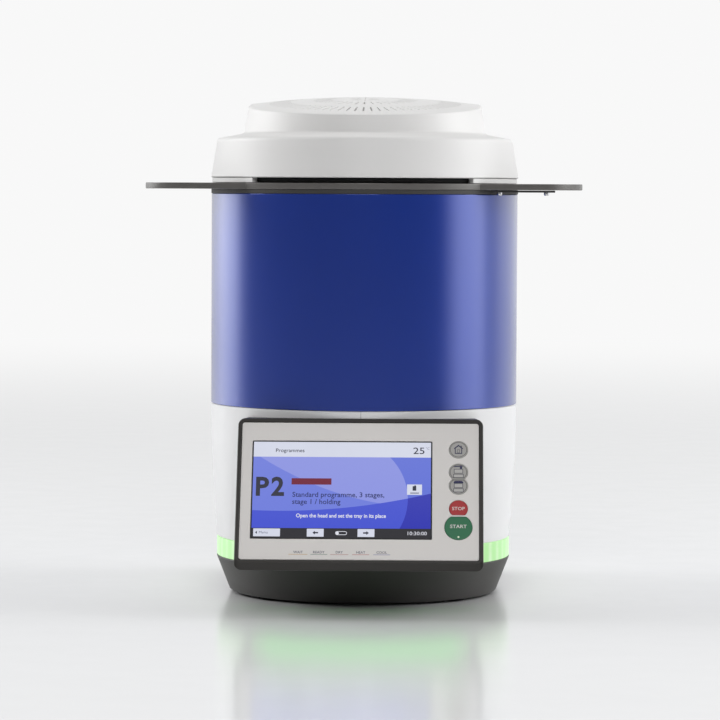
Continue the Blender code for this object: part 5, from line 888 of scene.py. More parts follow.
def lower_taper(share):
    """How far the housing's wall leans in at a share of its height."""
    for index in range(len(HEIGHT_SHARES) - 1):
        first, last = HEIGHT_SHARES[index], HEIGHT_SHARES[index + 1]
        if share <= last:
            step = (share - first) / (last - first)
            return LOWER_TAPER * (TAPER_SHARES[index] + (TAPER_SHARES[index + 1] - TAPER_SHARES[index]) * step)
    return 0.0


def lower_section(share, wall):
    """The housing's plan at a share of its height, drawn in by a wall."""
    return plan(lower_taper(share) + wall, LOWER_REAR_INSET + wall)


def lower_shell():
    """The whole housing wall with eased top and bottom edges."""
    tall = LOWER_TOP_Z - LOWER_Z
    shares = [index / 20 for index in range(21)]
    outer = [level(lower_section(0, LOWER_EDGE), LOWER_Z)]
    for share in shares:
        rise = max(LOWER_EDGE, min(tall * share, tall - LOWER_EDGE))
        outer.append(level(lower_section(share, 0.0), LOWER_Z + rise))
    outer.append(level(lower_section(1, LOWER_EDGE), LOWER_TOP_Z))
    inner = [level(lower_section(share, WALL), LOWER_Z + tall * share) for share in shares]
    return skin(bmesh.new(), outer + list(reversed(inner)), looped=True)


panel_low, panel_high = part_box("rear_panel")
OPENING = 0.0004
rear_opening = [(panel_low.x - OPENING, 0.185, panel_low.z - OPENING)]
rear_opening.append((panel_high.x + OPENING, 0.21, panel_high.z + OPENING))
cable_opening = [(-0.06, -0.15, LOWER_Z + 0.028), (0.06, -0.08, LOWER_Z + 0.088)]
for name, side in (("lower_housing_left", -1), ("lower_housing_right", 1)):
    keep = [(SEAM_HALF, -0.3, 0.0), (0.3, 0.3, 0.5)] if side > 0 else [(-0.3, -0.3, 0.0), (-SEAM_HALF, 0.3, 0.5)]
    half_shell = carved(lower_shell(), box_mesh(*keep), operation="INTERSECT")
    half_shell = carved(half_shell, box_mesh(*rear_opening), box_mesh(*cable_opening))
    new_piece(name + "_shell", half_shell, white_paint, stands_for=[name])

# %% [markdown]
# ## Jacket
#
# The upper jacket is one sheet of steel rolled to the plan, closed with a seam behind, and
# sprayed with metallic paint. Its top and bottom edges are eased, which gives the thin bright
# line where it stands on the white housing.

# %% Jacket
jacket = band(blue_paint, 0.0, jacket_low.z, jacket_high.z - jacket_low.z, 0.002, 0.0007)
seam = box_mesh((-0.00015, REAR_Y - 0.0006, jacket_low.z - 0.001), (0.00015, REAR_Y + 0.01, jacket_high.z + 0.001))
new_piece("upper_jacket_shell", carved(jacket, seam), blue_paint, stands_for=["upper_jacket"])

# %% [markdown]
# ## Collar, cooling plate and tray bracket
#
# The collar closes the jacket. The cooling plate lies on it and reaches out as two wings, where
# hot work is set down to cool. Both plates have the round mouth of the chamber and the slot of
# the lift column. Their edges are eased in mesh code: two or three insets at top and bottom.

# %% Collar and cooling plate
collar_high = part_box("body_collar")[1]
plate_low, plate_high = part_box("cooling_plate")
mouth_low, mouth_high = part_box("chamber_mouth_ring")
column_low, column_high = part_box("lift_column")
WING_CORNER = 0.052
WING_HALF_DEPTH = 0.095
MOUTH_HOLE = mouth_high.x + 0.0003
COLUMN_GAP = 0.0005
TOUCH = 0.00005


def eased_plate(outline_at, bottom, top, edge):
    """A flat plate whose outline, a function of its inset, is eased at both faces."""
    rows = [(edge, bottom), (edge * 0.29, bottom + edge * 0.29), (0.0, bottom + edge)]
    rows += [(0.0, top - edge), (edge * 0.29, top - edge * 0.29), (edge, top)]
    return skin(bmesh.new(), [level(outline_at(inset), z) for inset, z in rows])


def plate_outline(inset):
    """The plate's plan with its two wings, drawn in by an inset."""
    radius = plate_high.y - REAR_Y + BODY_RADIUS - inset
    corner = REAR_CORNER + plate_high.y - REAR_Y - inset
    corner_x = radius - corner
    corner_y = plate_high.y - inset - corner
    half_depth = WING_HALF_DEPTH - inset
    round_corner = WING_CORNER - inset
    tip_x = plate_high.x - inset - round_corner
    tip_y = half_depth - round_corner
    meet = math.asin(half_depth / radius)
    quarter = math.pi / 2
    right = arc((tip_x, -tip_y), round_corner, -quarter, 0, 32)
    right += arc((tip_x, tip_y), round_corner, 0, quarter, 32)
    right += [(radius, half_depth)]
    right += arc((corner_x, corner_y), corner, 0, quarter, CORNER_STEPS)
    left = [(-x, y) for x, y in reversed(right)]
    return right + left + arc((0, 0), radius, math.pi + meet, 2 * math.pi - meet, FRONT_STEPS // 2)


def top_holes(bottom, top):
    """Cutters for the chamber's mouth and the lift column."""
    mouth = turned_body((0, 0), [(MOUTH_HOLE, bottom - 0.002), (MOUTH_HOLE, top + 0.002)], 128)
    low = (column_low.x - COLUMN_GAP, column_low.y - COLUMN_GAP, bottom - 0.002)
    high = (column_high.x + COLUMN_GAP, column_high.y + COLUMN_GAP, top + 0.002)
    return mouth, box_mesh(low, high)


overhang = collar_high.x - BODY_RADIUS
collar_bottom, collar_top = jacket_high.z + TOUCH, plate_low.z - TOUCH
collar = eased_plate(lambda inset: plan(inset - overhang), collar_bottom, collar_top, 0.0005)
collar = carved(collar, *top_holes(collar_bottom, collar_top))
new_piece("body_collar_plate", collar, collar_dark, stands_for=["body_collar"])
plate = eased_plate(plate_outline, plate_low.z, plate_high.z, 0.0006)
plate = carved(plate, *top_holes(plate_low.z, plate_high.z))
new_piece("cooling_plate_cast", plate, plate_grey, stands_for=["cooling_plate"])

# %% Tray bracket
bracket_low, bracket_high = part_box("tray_bracket")
BRACKET_THICKNESS = 0.0018
strip_reach = math.hypot(bracket_low.x, bracket_low.y)
strip_angles = [math.asin(y / strip_reach) for y in (bracket_high.y, bracket_low.y)]
strip = [(bracket_high.x, bracket_low.y), (bracket_high.x, bracket_high.y)]
strip += arc((0, 0), strip_reach, *strip_angles, 16)
strip_z = bracket_high.z - BRACKET_THICKNESS
strip = worked(prism(strip, strip_z, bracket_high.z), ("BEVEL", {"width": 0.0003, "segments": 2}))
new_piece("tray_bracket_strip", strip, collar_dark, stands_for=["tray_bracket"])

# %% [markdown]
# ## Screws
#
# All screws here are small machine screws with a rounded head and a socket. A tree makes one
# head from a disc that is extruded and drawn in step by step, sinks the socket into it, and puts
# a copy on every point that it is given. The points come in their own plane; the mesh is turned
# afterwards to face down from the wing and from the head, or out of the rear wall.

# %% Geometry Nodes: screw heads on points
screw_tree, given, result = open_group(
    "socket_screws",
    "GeometryNodeTree",
    [
        ("Places", GEOMETRY, None), ("Head Radius", FLOAT, 0.0028), ("Head Height", FLOAT, 0.002),
        ("Socket Radius", FLOAT, 0.0013), ("Socket Depth", FLOAT, 0.0012), ("Finish", MATERIAL, None),
    ],
    [("Geometry", GEOMETRY)],
)
disc = {"Vertices": 36, "Radius": given["Head Radius"]}
disc = add_node(screw_tree, "GeometryNodeMeshCircle", disc, fill_type="NGON").outputs[0]
under = add_node(screw_tree, "GeometryNodeFlipFaces", {"Mesh": disc}).outputs[0]


def push_up(mesh, selection, share):
    """Extrude the top face by a share of the head's height."""
    distance = times(screw_tree, given["Head Height"], share)
    inputs = {"Mesh": mesh, "Offset Scale": distance, "Individual": False}
    if selection is not None:
        inputs["Selection"] = selection
    node = add_node(screw_tree, "GeometryNodeExtrudeMesh", inputs, mode="FACES")
    return node.outputs["Mesh"], node.outputs["Top"]


def draw_in(mesh, selection, scale):
    """Scale the selected face about its own middle."""
    inputs = {"Geometry": mesh, "Selection": selection, "Scale": scale}
    return add_node(screw_tree, "GeometryNodeScaleElements", inputs, domain="FACE").outputs[0]


STRAIGHT_SHARE = 0.55
# share of the height that a step rises, and how far it is drawn in
CROWN_STEPS = ((0.25, 0.93), (0.2, 0.78))
head, top = push_up(disc, None, STRAIGHT_SHARE)
for share, scale in CROWN_STEPS:
    head, top = push_up(head, top, share)
    head = draw_in(head, top, scale)
head, top = push_up(head, top, 0.0)
crown_share = math.prod(scale for _, scale in CROWN_STEPS)
crown_radius = times(screw_tree, given["Head Radius"], crown_share)
socket_scale = math_node(screw_tree, "DIVIDE", given["Socket Radius"], crown_radius)
head = draw_in(head, top, socket_scale)
sink = times(screw_tree, given["Socket Depth"], -1.0)
sunk = {"Mesh": head, "Selection": top, "Offset Scale": sink, "Individual": False}
sunk = add_node(screw_tree, "GeometryNodeExtrudeMesh", sunk, mode="FACES")
both = add_node(screw_tree, "GeometryNodeJoinGeometry")
screw_tree.links.new(under, both.inputs[0])
screw_tree.links.new(sunk.outputs["Mesh"], both.inputs[0])
closed = {"Geometry": both.outputs[0], "Distance": 0.000001}
closed = add_node(screw_tree, "GeometryNodeMergeByDistance", closed).outputs[0]
copies = {"Points": given["Places"], "Instance": closed}
copies = add_node(screw_tree, "GeometryNodeInstanceOnPoints", copies).outputs[0]
end_tree(screw_tree, copies, given["Finish"], result)


def screws(name, places, turn, finish, body="furnace_body", **sizes):
    """Screw heads at world places, their tops turned from +Z by a rotation."""
    back = turn.inverted()
    mesh = grown(screw_tree, [back @ Vector(place) for place in places], finish=finish, **sizes)
    mesh.transform(turn)
    return new_piece(name, mesh, finish, body=body)


FACE_DOWN = Matrix.Rotation(math.pi, 4, "X")
FACE_REAR = Matrix.Rotation(-math.pi / 2, 4, "X")
SCREW_INSET = 0.0075
middle_y = (bracket_low.y + bracket_high.y) / 2
seats = [(x, middle_y, strip_z) for x in (bracket_low.x + SCREW_INSET, bracket_high.x - SCREW_INSET)]
screws("bracket_screws", seats, FACE_DOWN, steel, head_radius=0.0024, head_height=strip_z - bracket_low.z)

# %% [markdown]
# ## Head
#
# The head is the sculpted piece of the furnace: a plain drum, a ledge that dips all round, and a
# raised middle whose top is a shallow dome, tilted forward. The height of the dome is a formula
# of the place in plan, so the loft only has to follow it: rows of the plan for the drum and the
# ledge, then rows lifted onto the dome, drawn in to its middle.

# %% Head shell: sections
HEAD_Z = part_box("head_shell")[0].z
DRUM_HEIGHT = 0.036
DRUM_TAPER = 0.0051
SHOULDER = 0.004
LEDGE_RISE = 0.005
LEDGE_INSET = 0.0297
LEDGE_FILLET = 0.0012
RAISED_TAPER = 0.0038
RIM = 0.0015
DOME_CENTRE_RISE = 0.0311
DOME_CURVE = 0.857
DOME_TILT = 0.091
DOME_CENTRE_Y = (REAR_Y - BODY_RADIUS) / 2
DOME_Z = HEAD_Z + DRUM_HEIGHT + LEDGE_RISE + DOME_CENTRE_RISE
# shares of the way from the dome's middle to its rim, and inset and drop of the ledge's round edge
DOME_SHARES = (0.985, 0.93, 0.86, 0.78, 0.7, 0.62, 0.54, 0.46, 0.38, 0.3, 0.22, 0.14, 0.07, 0.02)
LEDGE_ROUND = ((1.4, 0.72), (0.75, 0.3), (0.25, -0.2), (0.0, -0.9))


def dome_height(x, y):
    """Height of the tilted, shallow dome above a point in plan."""
    return DOME_Z + DOME_TILT * y - (x * x + y * y) / (2 * DOME_CURVE)


def head_rows(wall):
    """Sections of the head from its bottom edge to the middle of its dome, drawn in by a wall."""
    drum_top = HEAD_Z + DRUM_HEIGHT
    ledge_top = drum_top + LEDGE_RISE
    rows = [(0.0001 + wall, HEAD_Z), (-0.0005 + wall, HEAD_Z + 0.0008)]
    for share in (0.3, 0.65, 1.0):
        rows.append((-0.0005 + DRUM_TAPER * share + wall, HEAD_Z + (DRUM_HEIGHT - SHOULDER) * share))
    for step in range(1, 7):
        turn = math.radians(15 * step)
        inset = DRUM_TAPER - 0.0005 + (SHOULDER + 0.0005) * (1 - math.cos(turn))
        rows.append((inset + wall, drum_top - SHOULDER + (SHOULDER + 0.0003) * math.sin(turn) - wall))
    inset, z = rows[-1]
    across = LEDGE_INSET - 2.2 * LEDGE_FILLET + wall - inset
    rise = ledge_top - LEDGE_FILLET - wall - z
    rows += [(inset + across * share, z + rise * share) for share in (0.35, 0.7, 1.0)]
    for inset, drop in LEDGE_ROUND:
        rows.append((LEDGE_INSET - inset * LEDGE_FILLET + wall, ledge_top - drop * LEDGE_FILLET - wall))
    return rows


def head_sections(wall):
    """The head's rings of points."""
    rings = [level(plan(inset), z) for inset, z in head_rows(wall)]
    top_inset = LEDGE_INSET + RAISED_TAPER
    first = rings[-1]
    rim_rows = [(0.0, RIM)]
    for step in range(1, 7):
        turn = math.radians(15 * step)
        rim_rows.append((RIM * (1 - math.cos(turn)), RIM * (1 - math.sin(turn))))
    wall_top = plan(top_inset + wall)
    for share in (0.33, 0.66):
        ring = []
        for (x0, y0, z0), (x1, y1) in zip(first, wall_top):
            z1 = dome_height(x1, y1) - RIM - wall
            ring.append((x0 + (x1 - x0) * share, y0 + (y1 - y0) * share, z0 + (z1 - z0) * share))
        rings.append(ring)
    for inward, drop in rim_rows:
        rings.append([(x, y, dome_height(x, y) - drop - wall) for x, y in plan(top_inset + inward + wall)])
    rim = plan(top_inset + RIM + wall)
    for share in DOME_SHARES:
        ring = []
        for x, y in rim:
            near_x, near_y = x * share, DOME_CENTRE_Y + (y - DOME_CENTRE_Y) * share
            ring.append((near_x, near_y, dome_height(near_x, near_y) - wall))
        rings.append(ring)
    return rings


print("head sections:", len(head_sections(0)))

# %% [markdown]
# The dome lets the heat out through three rings of narrow radial slots. The slot tree makes all
# the cutters of a ring at once: it stands one round-ended cutter off the axis and turns copies
# of it by equal steps. An exact Boolean then takes them out of the finished shell.

# %% Head shell: vents and shell
# slots in the ring, inner radius, outer radius
VENT_RINGS = ((72, 0.0677, 0.0882), (36, 0.0305, 0.0478), (12, 0.0061, 0.0143))
VENT_WIDTH = 0.0016
shell_mesh = as_mesh(skin(bmesh.new(), list(reversed(head_sections(0))) + head_sections(WALL)))
vent_foot = (0.0, 0.0, HEAD_Z + DRUM_HEIGHT)
vents = []
for count, inner, outer in VENT_RINGS:
    size = {"reach": (inner + outer) / 2, "turn": 2 * math.pi / count}
    vents.append(slot_cutters(count, outer - inner, VENT_WIDTH, 0.06, place=vent_foot, **size))
new_piece(
    "head_shell_moulded", carved(shell_mesh, *vents), head_white, body="lifting_head",
    stands_for=["head_shell"], angle=math.radians(28),
)

# %% [markdown]
# Under the shell lie the white base ring with its dark slot at the front, the black silicone
# seal that shows through that slot, and the carrier plate with its screws, which is what one
# sees from below when the head is up.

# %% Head ring, seal, carrier and plug
base_low, base_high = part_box("head_base_ring")
seal_low, seal_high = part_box("head_gasket")
carrier_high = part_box("head_carrier")[1]
plug_low, plug_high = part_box("head_insulation_plug")
SLOT_HALF_WIDTH = 0.0987
CARRIER_TOP_Z = HEAD_Z + 0.003
RING_WIDTH = 0.006
BOSS_LEAN = math.radians(29)
BOSS_REAR_Y = 0.11

ring_inset = BODY_RADIUS - base_high.x
ring_band = band(head_white, ring_inset, base_low.z, base_high.z - base_low.z, RING_WIDTH, 0.0005)
slot_half = math.asin(SLOT_HALF_WIDTH / BODY_RADIUS)
slot_from, slot_to = 1.5 * math.pi - slot_half, 1.5 * math.pi + slot_half
front_cut = arc((0, 0), base_high.x - RING_WIDTH - 0.001, slot_from, slot_to, 90)
front_cut += arc((0, 0), 0.16, slot_to, slot_from, 90)
ring_band = carved(ring_band, prism(front_cut, base_low.z - 0.002, base_high.z + 0.002))
new_piece("head_ring", ring_band, head_white, body="lifting_head", stands_for=["head_base_ring"])
seal_inset = BODY_RADIUS - seal_high.x
seal_band = band(rubber, seal_inset, seal_low.z, seal_high.z - seal_low.z, 0.005, 0.0012)
new_piece("head_seal", seal_band, rubber, body="lifting_head", stands_for=["head_gasket"])
carrier_inset = BODY_RADIUS - carrier_high.x
carrier = eased_plate(lambda inset: plan(inset + carrier_inset), HEAD_Z, CARRIER_TOP_Z, 0.0004)
new_piece(
    "head_carrier_plate", carrier, galvanised, body="lifting_head", stands_for=["head_carrier"]
)
boss_reach = BODY_RADIUS - 0.02
boss_x, boss_y = boss_reach * math.cos(BOSS_LEAN), -boss_reach * math.sin(BOSS_LEAN)
boss_places = [(-boss_x, boss_y), (boss_x, boss_y), (-boss_reach, BOSS_REAR_Y), (boss_reach, BOSS_REAR_Y)]
seats = [(x, y, HEAD_Z) for x, y in boss_places]
size = {"head_radius": 0.0035, "head_height": 0.0024, "socket_radius": 0.0016}
screws("carrier_screws", seats, FACE_DOWN, steel, body="lifting_head", **size)
plug_r, flange_r = plug_high.x - 0.013, plug_high.x
flange_z = plate_high.z + 0.0005
profile = [
    (plug_r - 0.004, plug_low.z), (plug_r - 0.0015, plug_low.z + 0.0006), (plug_r - 0.0004, plug_low.z + 0.002),
    (plug_r, plug_low.z + 0.0045), (plug_r, flange_z), (flange_r - 0.0008, flange_z),
    (flange_r, flange_z + 0.0008), (flange_r, plug_high.z - 0.0004), (flange_r - 0.0004, plug_high.z),
]
new_piece(
    "head_plug", turned_body((0, 0), profile, 128), ceramic, body="lifting_head",
    stands_for=["head_insulation_plug"],
)

# %% [markdown]
# ## Control panel
#
# The panel leans back from the foot of the furnace. It has a frame of its own: across (u) runs
# to the right, up (v) runs up the slope and out (w) leaves the face. Everything on it is drawn
# flat in that frame and then stood up by one matrix.

# %% The panel's own frame
housing_low, housing_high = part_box("panel_housing")
LEAN = math.radians(30.8)
SKIRT_DROP = 0.0066
PANEL_EDGE = 0.0008
PANEL_CORNER = 0.0062
PANEL_RIM = 0.0033
FASCIA_SINK = 0.0006
FASCIA_THICKNESS = 0.0025
foot_z = housing_low.z + SKIRT_DROP
foot_y = housing_low.y - PANEL_EDGE * math.sin(LEAN)
panel_length = (housing_high.z - foot_z) / math.cos(LEAN)
panel_half = housing_high.x
panel_matrix = Matrix.Translation((0, foot_y, foot_z)) @ Matrix.Rotation(math.pi / 2 - LEAN, 4, "X")


def panel_reach(node):
    """Lowest and highest corners of a CAD node in the panel's own frame."""
    back = panel_matrix.inverted()
    points = [back @ vertex.co for vertex in nodes[node].data.vertices]
    low = Vector([min(point[axis] for point in points) for axis in range(3)])
    high = Vector([max(point[axis] for point in points) for axis in range(3)])
    return low, high


def on_panel(outline, depth):
    """World points of an outline on the panel's face, sunk by a depth."""
    return [tuple(panel_matrix @ Vector((u, v, -depth))) for u, v in outline]


def face_outline(inset):
    """The panel's face drawn in by an inset."""
    radius = max(PANEL_CORNER - inset, PANEL_EDGE)
    return rounded((-panel_half + inset, inset), (panel_half - inset, panel_length - inset), radius)


print("panel:", round(foot_y, 5), round(foot_z, 5), round(panel_length, 5))

# %% Panel housing
ROOT_RADIUS = BODY_RADIUS - LOWER_TAPER
ROOT_Y = 0.0103 - math.sqrt(ROOT_RADIUS ** 2 - panel_half ** 2)
WALL_DRAFT = 0.003
LEDGE = 0.003
SKIRT_SETBACK = 0.002
POCKET_DEPTH = FASCIA_SINK + FASCIA_THICKNESS + 0.0003


def front_edge(outline, forward, lift=0.0):
    """The outline of the panel's side walls where they end, a little behind the sloping face."""
    points = []
    for x, z in outline:
        above = z - foot_z
        setback = above * math.tan(LEAN) if above > 0 else -above * SKIRT_SETBACK / SKIRT_DROP
        points.append((x, foot_y + setback + forward, z))
    return points


def wall_outline(inset, draft=0.0):
    """The panel's walls seen from the front, drawn in by an inset, and by a draft but at the bottom."""
    low = (-panel_half + inset + draft, foot_z - SKIRT_DROP + inset)
    high = (panel_half - inset - draft, housing_high.z - inset - draft)
    return rounded(low, high, PANEL_CORNER - inset)


def raised_face(inset):
    """The face outline kept above the foot line, so that the skirt has an edge of its own."""
    return [(u, max(v, inset)) for u, v in face_outline(inset)]


rings = [upright(wall_outline(0.0, WALL_DRAFT), ROOT_Y), front_edge(wall_outline(0.0), PANEL_EDGE)]
rings.append(front_edge(wall_outline(PANEL_EDGE * 0.3), PANEL_EDGE * 0.3))
rings += [on_panel(raised_face(PANEL_EDGE), 0.0), on_panel(face_outline(PANEL_RIM - 0.0004), 0.0)]
rings += [on_panel(face_outline(PANEL_RIM), 0.0004), on_panel(face_outline(PANEL_RIM), POCKET_DEPTH)]
ledge = on_panel(face_outline(PANEL_RIM + LEDGE), POCKET_DEPTH)
rings += [ledge, [(x, ROOT_Y, z) for x, y, z in ledge]]
frame_mesh = skin(bmesh.new(), rings, looped=True)
CLEAR = 0.0003
body_rings = [level(plan(RING_INSET - CLEAR), housing_low.z - 0.002), level(plan(RING_INSET - CLEAR), ring_high.z)]
for share in (0.1, 0.2, 0.45, 0.72, 1.0):
    z = LOWER_Z + (LOWER_TOP_Z - LOWER_Z) * share
    body_rings.append(level(plan(lower_taper(share) - CLEAR, LOWER_REAR_INSET - CLEAR), z))
# a hollow under the panel lets the light ring shine down on the bench
RECESS_TOP = 0.048
recess_low = (0.01 - panel_half, foot_y + 0.006, housing_low.z - 0.002)
recess = box_mesh(recess_low, (panel_half - 0.01, ROOT_Y - CLEAR, RECESS_TOP))
frame_mesh = carved(frame_mesh, skin(bmesh.new(), body_rings), recess)
new_piece("panel_frame", frame_mesh, panel_dark, stands_for=["panel_housing"])

# %% [markdown]
# The fascia is a light, warm grey plate with a printed overlay. The display sits in its window
# and five caps come through it. Each key outline is a circle, and where two keys meet it is cut
# off straight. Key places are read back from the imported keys, so they can't drift.

# %% Key outlines and fascia
KEY_FLANGE = 0.0007
KEY_GAP = 0.00035
# key node: radius, side of the straight cut (1 top, -1 bottom, 0 none), distance to that cut
KEYS = {
    "home_key": (0.0081, 0, 0.0),
    "head_open_key": (0.0081, -1, 0.0064),
    "head_close_key": (0.0081, 1, 0.0064),
    "stop_key": (0.008, -1, 0.006),
    "start_key": (0.01195, 1, 0.01005),
}


def key_middle(name):
    """Where a key's circle has its middle on the panel."""
    radius, side = KEYS[name][:2]
    low, high = panel_reach(name)
    up = {0: (low.y + high.y) / 2, 1: low.y + radius + KEY_FLANGE, -1: high.y - radius - KEY_FLANGE}[side]
    return (low.x + high.x) / 2, up


def key_outline(name, growth, steps=64, flange=0.0):
    """A key's outline on the panel, grown all round, and by a flange on its round side alone."""
    radius, side, flat = KEYS[name]
    middle = key_middle(name)
    grown_radius = radius + growth + flange
    if side == 0:
        return circle(middle, grown_radius, steps)
    reach = math.asin(min(flat + growth, grown_radius) / grown_radius)
    if side > 0:
        return arc(middle, grown_radius, math.pi - reach, 2 * math.pi + reach, steps)
    return arc(middle, grown_radius, -reach, math.pi + reach, steps)


def panel_prism(outline, low, high):
    """A plate drawn on the panel between two heights over its face."""
    return skin(bmesh.new(), [on_panel(outline, -low), on_panel(outline, -high)])


fascia_low, fascia_high = panel_reach("panel_fascia")
glass_low, glass_high = panel_reach("display_glass")
face = fascia_high.z
fascia_inset = fascia_low.y
rows = [(0.0, fascia_low.z), (0.0, face - 0.0003), (0.0003, face)]
fascia = skin(bmesh.new(), [on_panel(face_outline(fascia_inset + inset), -w) for inset, w in rows])
window = rounded((glass_low.x - CLEAR, glass_low.y - CLEAR), (glass_high.x + CLEAR, glass_high.y + CLEAR), 0.0012, 6)
holes = [panel_prism(window, fascia_low.z - 0.001, 0.001)]
holes += [panel_prism(key_outline(name, KEY_GAP), fascia_low.z - 0.001, 0.001) for name in KEYS]
new_piece("panel_fascia_plate", carved(fascia, *holes), fascia_pale, stands_for=["panel_fascia"])

# %% [markdown]
# The caps are pressed from the same plastic and printed. Each has a crown a tenth of a
# millimetre high and an eased edge, and a flange below that stops it from falling out.

# %% Key caps
PRINT_GRAIN = 2400.0


def ink(name, colour, tone, gloss=0.45):
    """Printing ink: no grain that one could feel."""
    return new_finish(name, colour, gloss, grain=PRINT_GRAIN, depth=0.0, tone=tone)


grey_key = new_finish("key_grey", (0.45, 0.44, 0.42), 0.4, grain=PRINT_GRAIN, depth=0.00001, tone=0.02)
red_key = new_finish("key_red", (0.46, 0.025, 0.03), 0.36, grain=PRINT_GRAIN, depth=0.00001)
green_key = new_finish("key_green", (0.02, 0.175, 0.075), 0.36, grain=PRINT_GRAIN, depth=0.00001)
key_line = ink("key_outline_print", (0.16, 0.155, 0.15), 0.05)
KEY_FINISH = {"stop_key": red_key, "start_key": green_key}
KEY_BODY = {
    "home_key": "home_button", "head_open_key": "open_button", "head_close_key": "close_button",
    "stop_key": "stop_button", "start_key": "start_button",
}
# inset and drop of the rows from the cap's wall to its top
KEY_CROWN = ((0.0, 0.00025), (0.0001, 0.0001), (0.0003, 0.00003), (0.0006, 0.0))
for name in KEYS:
    low, high = panel_reach(name)
    shoulder = low.z + 0.0008
    rows = [(0.0, shoulder)]
    rows += [(-inset, high.z - drop) for inset, drop in KEY_CROWN]
    rings = [on_panel(key_outline(name, 0.0, flange=KEY_FLANGE), -w) for w in (low.z, shoulder)]
    cap = skin(bmesh.new(), rings + [on_panel(key_outline(name, growth), -w) for growth, w in rows])
    new_piece(
        name + "_cap", cap, KEY_FINISH.get(name, grey_key), body=KEY_BODY[name],
        stands_for=[name],
    )
print("keys:", len(KEYS))

# %% [markdown]
# ## Display
#
# Behind the glass is a lit picture: a pale bar with the temperature, a blue field of broad
# curves with the programme's number, and a dark bar with the soft keys. The field is one
# material. It reads a UV map in millimetres of the panel's own frame, and three simple shapes
# in it (two parabolas and a circle) choose between six blues.

# %% Display glass and its picture
glass_black = new_finish(
    "display_black", (0.006, 0.006, 0.008), 0.12, swing=0.02, grain=400.0, depth=0.0, tone=0.02, Coat_Weight=0.5
)
SCREEN_GLOSS = 0.22
SCREEN_LIGHT = 0.82
top_w = glass_high.z - 0.0001
glass_rows = [(0.0, glass_low.z), (0.0, top_w - 0.0002), (0.0002, top_w)]


def glass_outline(inset):
    """The glass drawn in by an inset."""
    low = (glass_low.x + inset, glass_low.y + inset)
    high = (glass_high.x - inset, glass_high.y - inset)
    return rounded(low, high, 0.001, 6)


glass = skin(bmesh.new(), [on_panel(glass_outline(inset), -w) for inset, w in glass_rows])
new_piece("display_glass_plate", glass, glass_black, stands_for=["display_glass"])

lit_values = {"Roughness": SCREEN_GLOSS, "Emission_Strength": SCREEN_LIGHT}
picture, tree, shader = open_material("display_field", lit_values)
uv = add_node(tree, "ShaderNodeUVMap", uv_map="panel_mm").outputs[0]
parts = add_node(tree, "ShaderNodeSeparateXYZ", {0: uv}).outputs
across, up = parts["X"], parts["Y"]


def above_curve(level_at_zero, slope, bend):
    """1 above a parabola of the picture, 0 below it."""
    steepness = math_node(tree, "MULTIPLY_ADD", across, bend, slope)
    curve = math_node(tree, "MULTIPLY_ADD", steepness, across, level_at_zero)
    return math_node(tree, "GREATER_THAN", up, curve)


falling = above_curve(62.05, -0.2575, 0.00239)
rising = above_curve(55.4, 0.141, 0.001)
BALL_MIDDLE = (-18.4, 62.2, 0.0)
BALL_RADIUS = 60.3
middle = add_node(tree, "ShaderNodeVectorMath", {0: uv, 1: BALL_MIDDLE}, operation="DISTANCE").outputs["Value"]
inside_ball = math_node(tree, "LESS_THAN", middle, BALL_RADIUS)
ball = math_node(tree, "MAXIMUM", inside_ball, math_node(tree, "LESS_THAN", across, BALL_MIDDLE[0]))
dark = mix_colour(tree, ball, (0.02, 0.028, 0.48, 1.0), (0.056, 0.088, 0.7, 1.0))
below_falling = mix_colour(tree, ball, (0.085, 0.12, 0.72, 1.0), (0.165, 0.22, 0.8, 1.0))
over_falling = mix_colour(tree, ball, (0.12, 0.175, 0.76, 1.0), (0.285, 0.325, 0.85, 1.0))
lit = mix_colour(tree, falling, below_falling, over_falling)
lit = mix_colour(tree, rising, dark, lit)
lit = mix_colour(tree, remap(tree, up, 32.0, 104.0, 0.0, 0.05), lit, (0.9, 0.9, 1.0, 1.0))
tree.links.new(lit, shader.inputs["Emission Color"])
tree.links.new(mix_colour(tree, 0.93, lit, (0.0, 0.0, 0.0, 1.0)), shader.inputs["Base Color"])
print("picture:", len(tree.nodes), "nodes")

# %% [markdown]
# Everything printed or shown on the panel is a very thin plate. Shapes are outlines in
# millimetres of the panel's frame. Letters start as Blender's own text objects: each is turned
# into a mesh, welded, scaled to the height and width that it has on the panel, and only then
# laid on the face.

# %% Lettering and thin plates on the panel
SHEET = 0.00002
BACKLIGHT_PATCHES = 18.0
UNLIT_SHARE = 0.06
LAYER_STEP = SHEET * 1.2
MILLIMETRES = 0.001


def text_mesh(words, bold=0.0):
    """Words as a closed, one unit thick mesh in Blender's own font."""
    curve = bpy.data.curves.new("letters", "FONT")
    curve.body = words
    curve.resolution_u = 3
    curve.offset = bold
    curve.extrude = 0.5
    mesh = evaluated(add_object("letters", curve))
    bpy.data.curves.remove(curve)
    return mesh


capital = text_mesh("H")
CAPITAL = max(vertex.co.y for vertex in capital.vertices)
bpy.data.meshes.remove(capital)


def add_words(mesh, base_w, thick, words, left, foot, tall, wide=None, bold=0.0, centred=False):
    """Lay words on the panel: left end or middle, foot line, a capital's height and width, in millimetres."""
    letters = text_mesh(words, bold)
    across = [vertex.co.x for vertex in letters.vertices]
    first, length = min(across), max(across) - min(across)
    scale_y = tall / CAPITAL
    scale_x = wide / length if wide else scale_y
    start = left - length * scale_x / 2 if centred else left
    work = bmesh.new()
    work.from_mesh(letters)
    bmesh.ops.remove_doubles(work, verts=work.verts, dist=0.0001)
    for vertex in work.verts:
        u = start + (vertex.co.x - first) * scale_x
        v = foot + vertex.co.y * scale_y
        vertex.co = panel_matrix @ Vector((u * MILLIMETRES, v * MILLIMETRES, base_w + (vertex.co.z + 0.5) * thick))
    work.to_mesh(letters)
    work.free()
    mesh.from_mesh(letters)
    bpy.data.meshes.remove(letters)


